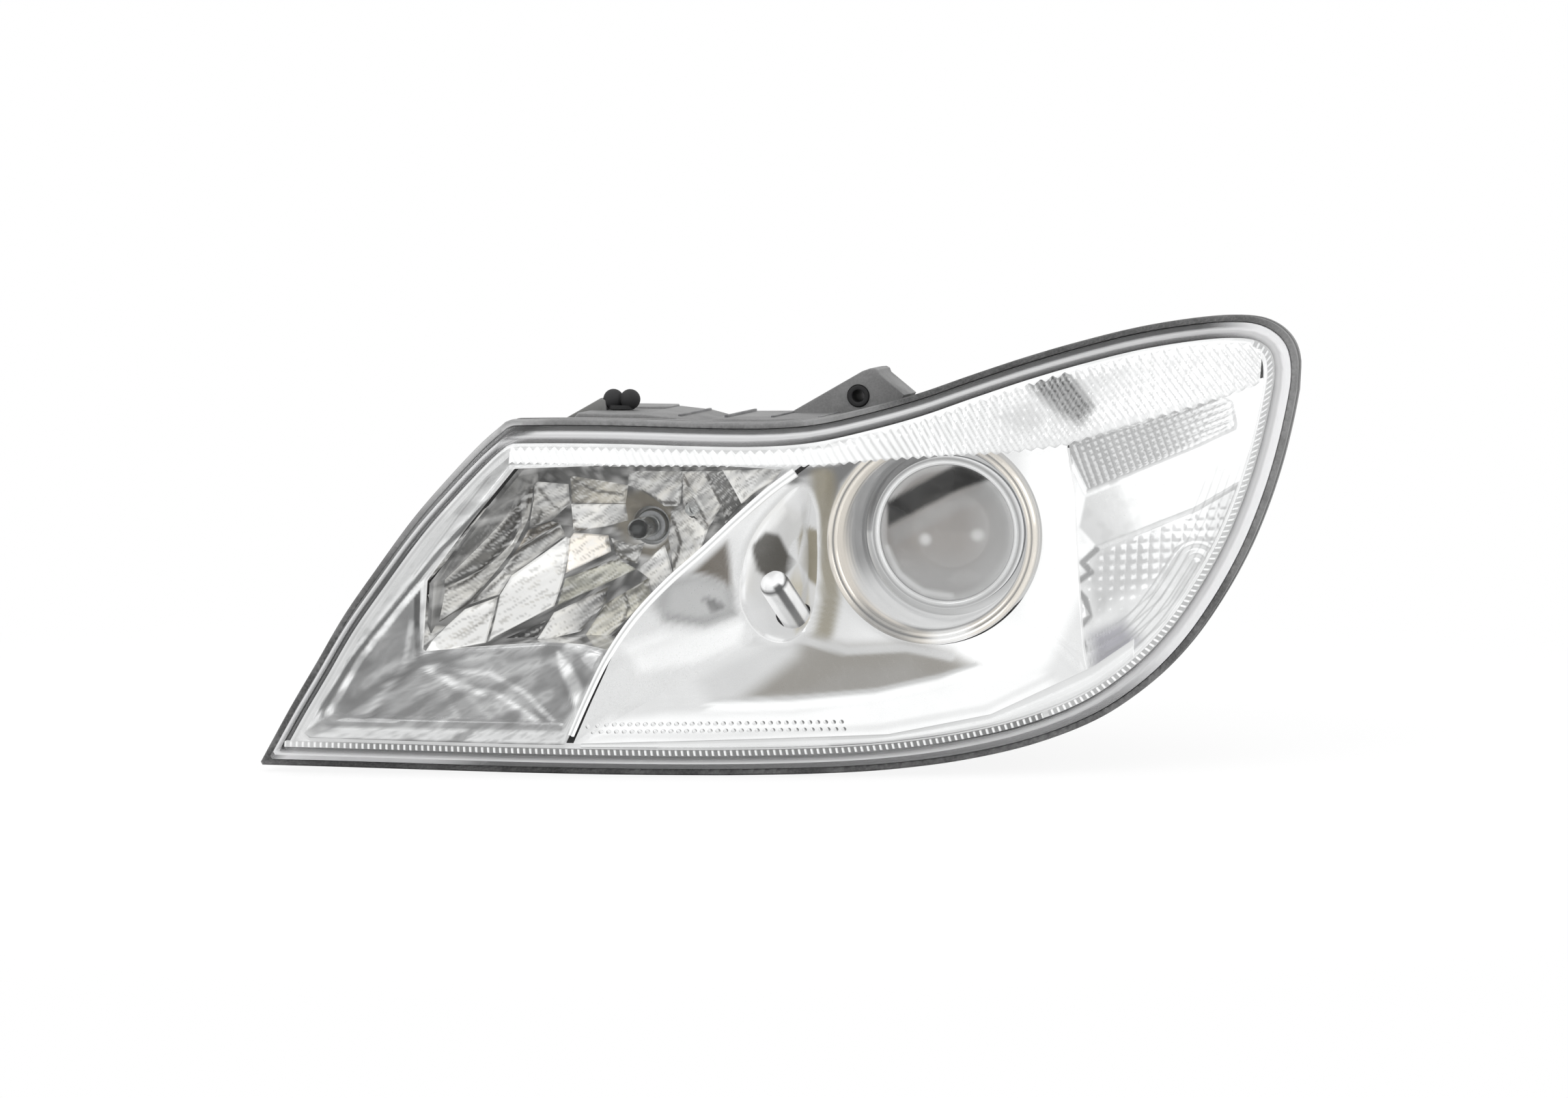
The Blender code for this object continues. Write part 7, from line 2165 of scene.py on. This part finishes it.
piece("horizontal_adjuster_screw",
      cut(turned([(0, 60), (2.4, 60), (3, 61), (3, 90.4), (8, 90.4), (8, 100), (7, 101.4),
                  (0, 101.4)], 56, TRIM, fillet=0.3),
          rod(3.0, 95, 104, TRIM, 6),
          *flutes(12, 0.9, 92, 99.4, 8.3, TRIM, 14, start=0.5)), "zinc")


# ---------------------------------------------------------------- covers on the back
def make_low_cap():
    """Turned cap with a bar grip, three inner lugs, a fluted rim and three rings on its back."""
    cap = turned([(0, 153), (12, 152.9), (30, 152.4), (50, 150.6), (57, 148.5), (59.5, 145.5),
                  (59.5, 129), (57, 129), (57, 146), (46, 147), (30, 149.4), (0, 150)],
                 144, fillet=0.8)
    join(cap, block((-27, 27), (150.5, 158), (-5, 5), 1.5),
         *(spoke((3.4, 3.6, 16), 0.3, 90 + 120 * n, 56.1, 133.4) for n in range(3)))
    cut(cap, *flutes(48, 1.2, 131.5, 144.0, 60.2, (0, 0), 12))
    for k in range(3):
        inner, fade = 34 + 5.5 * k, 0.02 * k
        cut(cap, turned([(inner, 151.6 - fade), (inner, 156), (inner + 1.2, 156),
                         (inner + 1.2, 151.3 - fade)], 120, fillet=0.0))
    return cap


piece("low_beam_cap", make_low_cap(), "black", 30)
piece("low_beam_cap_seal", turned([(49, 142.4), (53, 142.4), (53, 145.4), (49, 145.4)],
                                  120, fillet=0.7), "rubber")
piece("high_beam_cap",
      turned([(0, 84), (10, 83.8), (18, 83.3), (19, 82.5), (20, 83.1), (22, 83), (24, 82.2),
              (28, 81.5), (30, 81.9), (32, 80.4), (37, 77.4), (40.6, 73), (40.6, 70.6),
              (40.0, 70.0), (40.0, 69.2), (40.6, 68.6), (40.6, 64.6), (37.5, 64.6),
              (37.5, 72.4), (35, 75.2), (31, 77.8), (21.5, 80.4), (0, 81.4)],
             120, BEAM, fillet=0.6), "rubber")

# ---------------------------------------------------------------- small parts on the housing
piece("vent_cap",
      cut(turned([(0, 80), (3.8, 80), (3.8, 91.4), (8.5, 91.4), (8.5, 95.4), (7.4, 97), (0, 97)],
                 56, VENT, fillet=0.5),
          *(block((54, 66), (96.0, 99), (61.6 + (k - 1) * 3.4 - 0.1, 62.5 + (k - 1) * 3.4))
            for k in range(3))), "rubber")
CONNECTOR = join(block((-26.4, 6.4), (47, 76), (-82.4, -65.6), 0.9),
                 block((-30, 10), (63.5, 65.5), (-85.5, -63), 0.5))
piece("main_connector", cut(CONNECTOR, block((-24, 4), (66, 80), (-80.2, -67.8), 0.6)), "black")
# two rows of pins, the upper one short of its last
PINS = [block((-21.2 + 4.4 * k, -20.4 + 4.4 * k), (64, 74),
              (-74.4 + 3.6 * j, -73.8 + 3.6 * j), 0.15)
        for k in range(6) for j in (-1, 1) if (k, j) != (5, 1)]
piece("main_connector", merged(PINS), "zinc", name="connector_pins")
# (x, y, z) from the connector to the low-beam plug
LEAD = [(-8, 44.4, -73), (-6.5, 44.4, -64), (-5, 47, -58.6), (-5, 52, -56.6), (-5, 104, -56.6),
        (-4, 116, -50), (-2, 126, -32), (-0.8, 130, -20), (-0.4, 131.2, -14.4)]
piece("harness", tube(LEAD, 1.8, 20), "rubber", 60)
piece("upper_outer_grommet",
      turned([(3.2, 27), (5.4, 27), (5.4, 54), (8.2, 54), (8.2, 55.8), (3.2, 55.8)],
             48, UPPER_HOLE, fillet=0.35), "rubber")
piece("lower_grommet",
      turned([(3.2, -0.2), (3.2, -8.4), (5.4, -8.4), (5.4, -2), (8.2, -2), (8.2, -0.2)],
             48, (-143, 26, FOOT_Z), (0, 0, -1), 0.35), "rubber")
piece("side_grommet",
      turned([(3.2, -11), (5.4, -11), (5.4, -2), (8.2, -2), (8.2, -0.2), (3.2, -0.2)],
             48, (138, 90, 24), (1, 0, 0), 0.35), "rubber")
piece("upper_stop_buffer",
      join(rod_between(3.5, (-170, 6, 51), (-170, 6, 60), 40),
           rod_between(6.5, (-170, 6, 59), (-170, 6, 61), 48),
           ball(5.2, (-174.4, 6, 64)), ball(5.2, (-165.6, 6, 64))), "rubber")
# the gusset on the housing's top takes the lighter copy of its plastic, as painted light
piece("housing", plate([(-199, 54), (-180, 64.6), (-177.2, 63.4), (-176.8, 57), (-184, 54)],
                       1.5, 10.5, 0.6), "housing_painted_lit_top", name="buffer_gusset")


# ---------------------------------------------------------------- studio, in metres
def make_world():
    """Light that brightens upwards and dims towards one spot in front; the camera sees white."""
    world = bpy.data.worlds.new("studio")
    bpy.context.scene.world = world
    nodes = Nodes(world, "OutputWorld")
    seen = nodes.add("LightPath").outputs["Is Camera Ray"]
    direction = nodes.add("TexCoord").outputs["Generated"]
    height = nodes.add("SeparateXYZ", {0: direction}).outputs["Z"]
    rising = nodes.remap(height, span=(-0.4, 1.0), to=(0.92, 1.18))
    facing = nodes.add("VectorMath", {0: direction, 1: (0.24, -0.965, 0.10)},
                       operation="DOT_PRODUCT").outputs["Value"]
    dimmed = nodes.remap(facing, span=(0.86, 0.99), to=(1.0, 0.80))
    lighting = nodes.shader("Background", Color=(1, 1, 1),
                            Strength=nodes.math("MULTIPLY", rising, dimmed))
    backdrop = nodes.shader("Background", Color=(1, 1, 1))
    nodes.surface(nodes.mix_shaders(seen, lighting, backdrop))


def aim(obj, place, target):
    obj.location = place
    obj.rotation_euler = (Vector(target) - Vector(place)).to_track_quat("-Z", "Y").to_euler()
    bpy.context.scene.collection.objects.link(obj)


def area_light(name, place, size, power):
    data = bpy.data.lights.new(name, "AREA")
    data.shape, data.energy = "RECTANGLE", power
    data.size, data.size_y = size
    aim(bpy.data.objects.new(name, data), place, target=(0.05, -0.05, 0.1))


def make_floor():
    bm = bmesh.new()
    bmesh.ops.create_grid(bm, x_segments=24, y_segments=24, size=6.0)
    bmesh.ops.translate(bm, vec=(0, 0, CAD_LO[2] - 0.0005), verts=bm.verts)
    floor = solid(bm, "floor")
    nodes = material("pale_floor")
    grey = nodes.mix(nodes.drift(scale=3, detail=3), (0.90,) * 3, (0.93,) * 3)
    matt = nodes.shader("BsdfDiffuse", Color=grey)
    white = nodes.shader("Emission", Color=(1, 1, 1), Strength=1.0)
    # to the camera the floor fades into the white backdrop
    distance = nodes.add("VectorMath", {0: nodes.coord()}, operation="LENGTH").outputs["Value"]
    fade = nodes.math("MULTIPLY", nodes.remap(distance, span=(0.25, 0.7), to=(0.9, 1.0)),
                      nodes.add("LightPath").outputs["Is Camera Ray"])
    floor.data.materials.append(nodes.surface(nodes.mix_shaders(fade, matt, white)))


def make_camera():
    data = bpy.data.cameras.new("camera")
    data.lens, data.sensor_width = 101.46, 36.0
    data.clip_start = 0.05
    camera = bpy.data.objects.new("camera", data)
    aim(camera, (0.57753, -2.17288, 0.28961), target=(0.04733, -0.04635, 0.09787))
    bpy.context.scene.camera = camera


make_world()
area_light("key", place=(-0.7, -1.1, 1.5), size=(1.2, 0.8), power=9)
area_light("side", place=(1.5, -0.5, 0.8), size=(0.8, 0.8), power=4)
make_floor()
make_camera()
bpy.context.scene.view_settings.view_transform = "Standard"
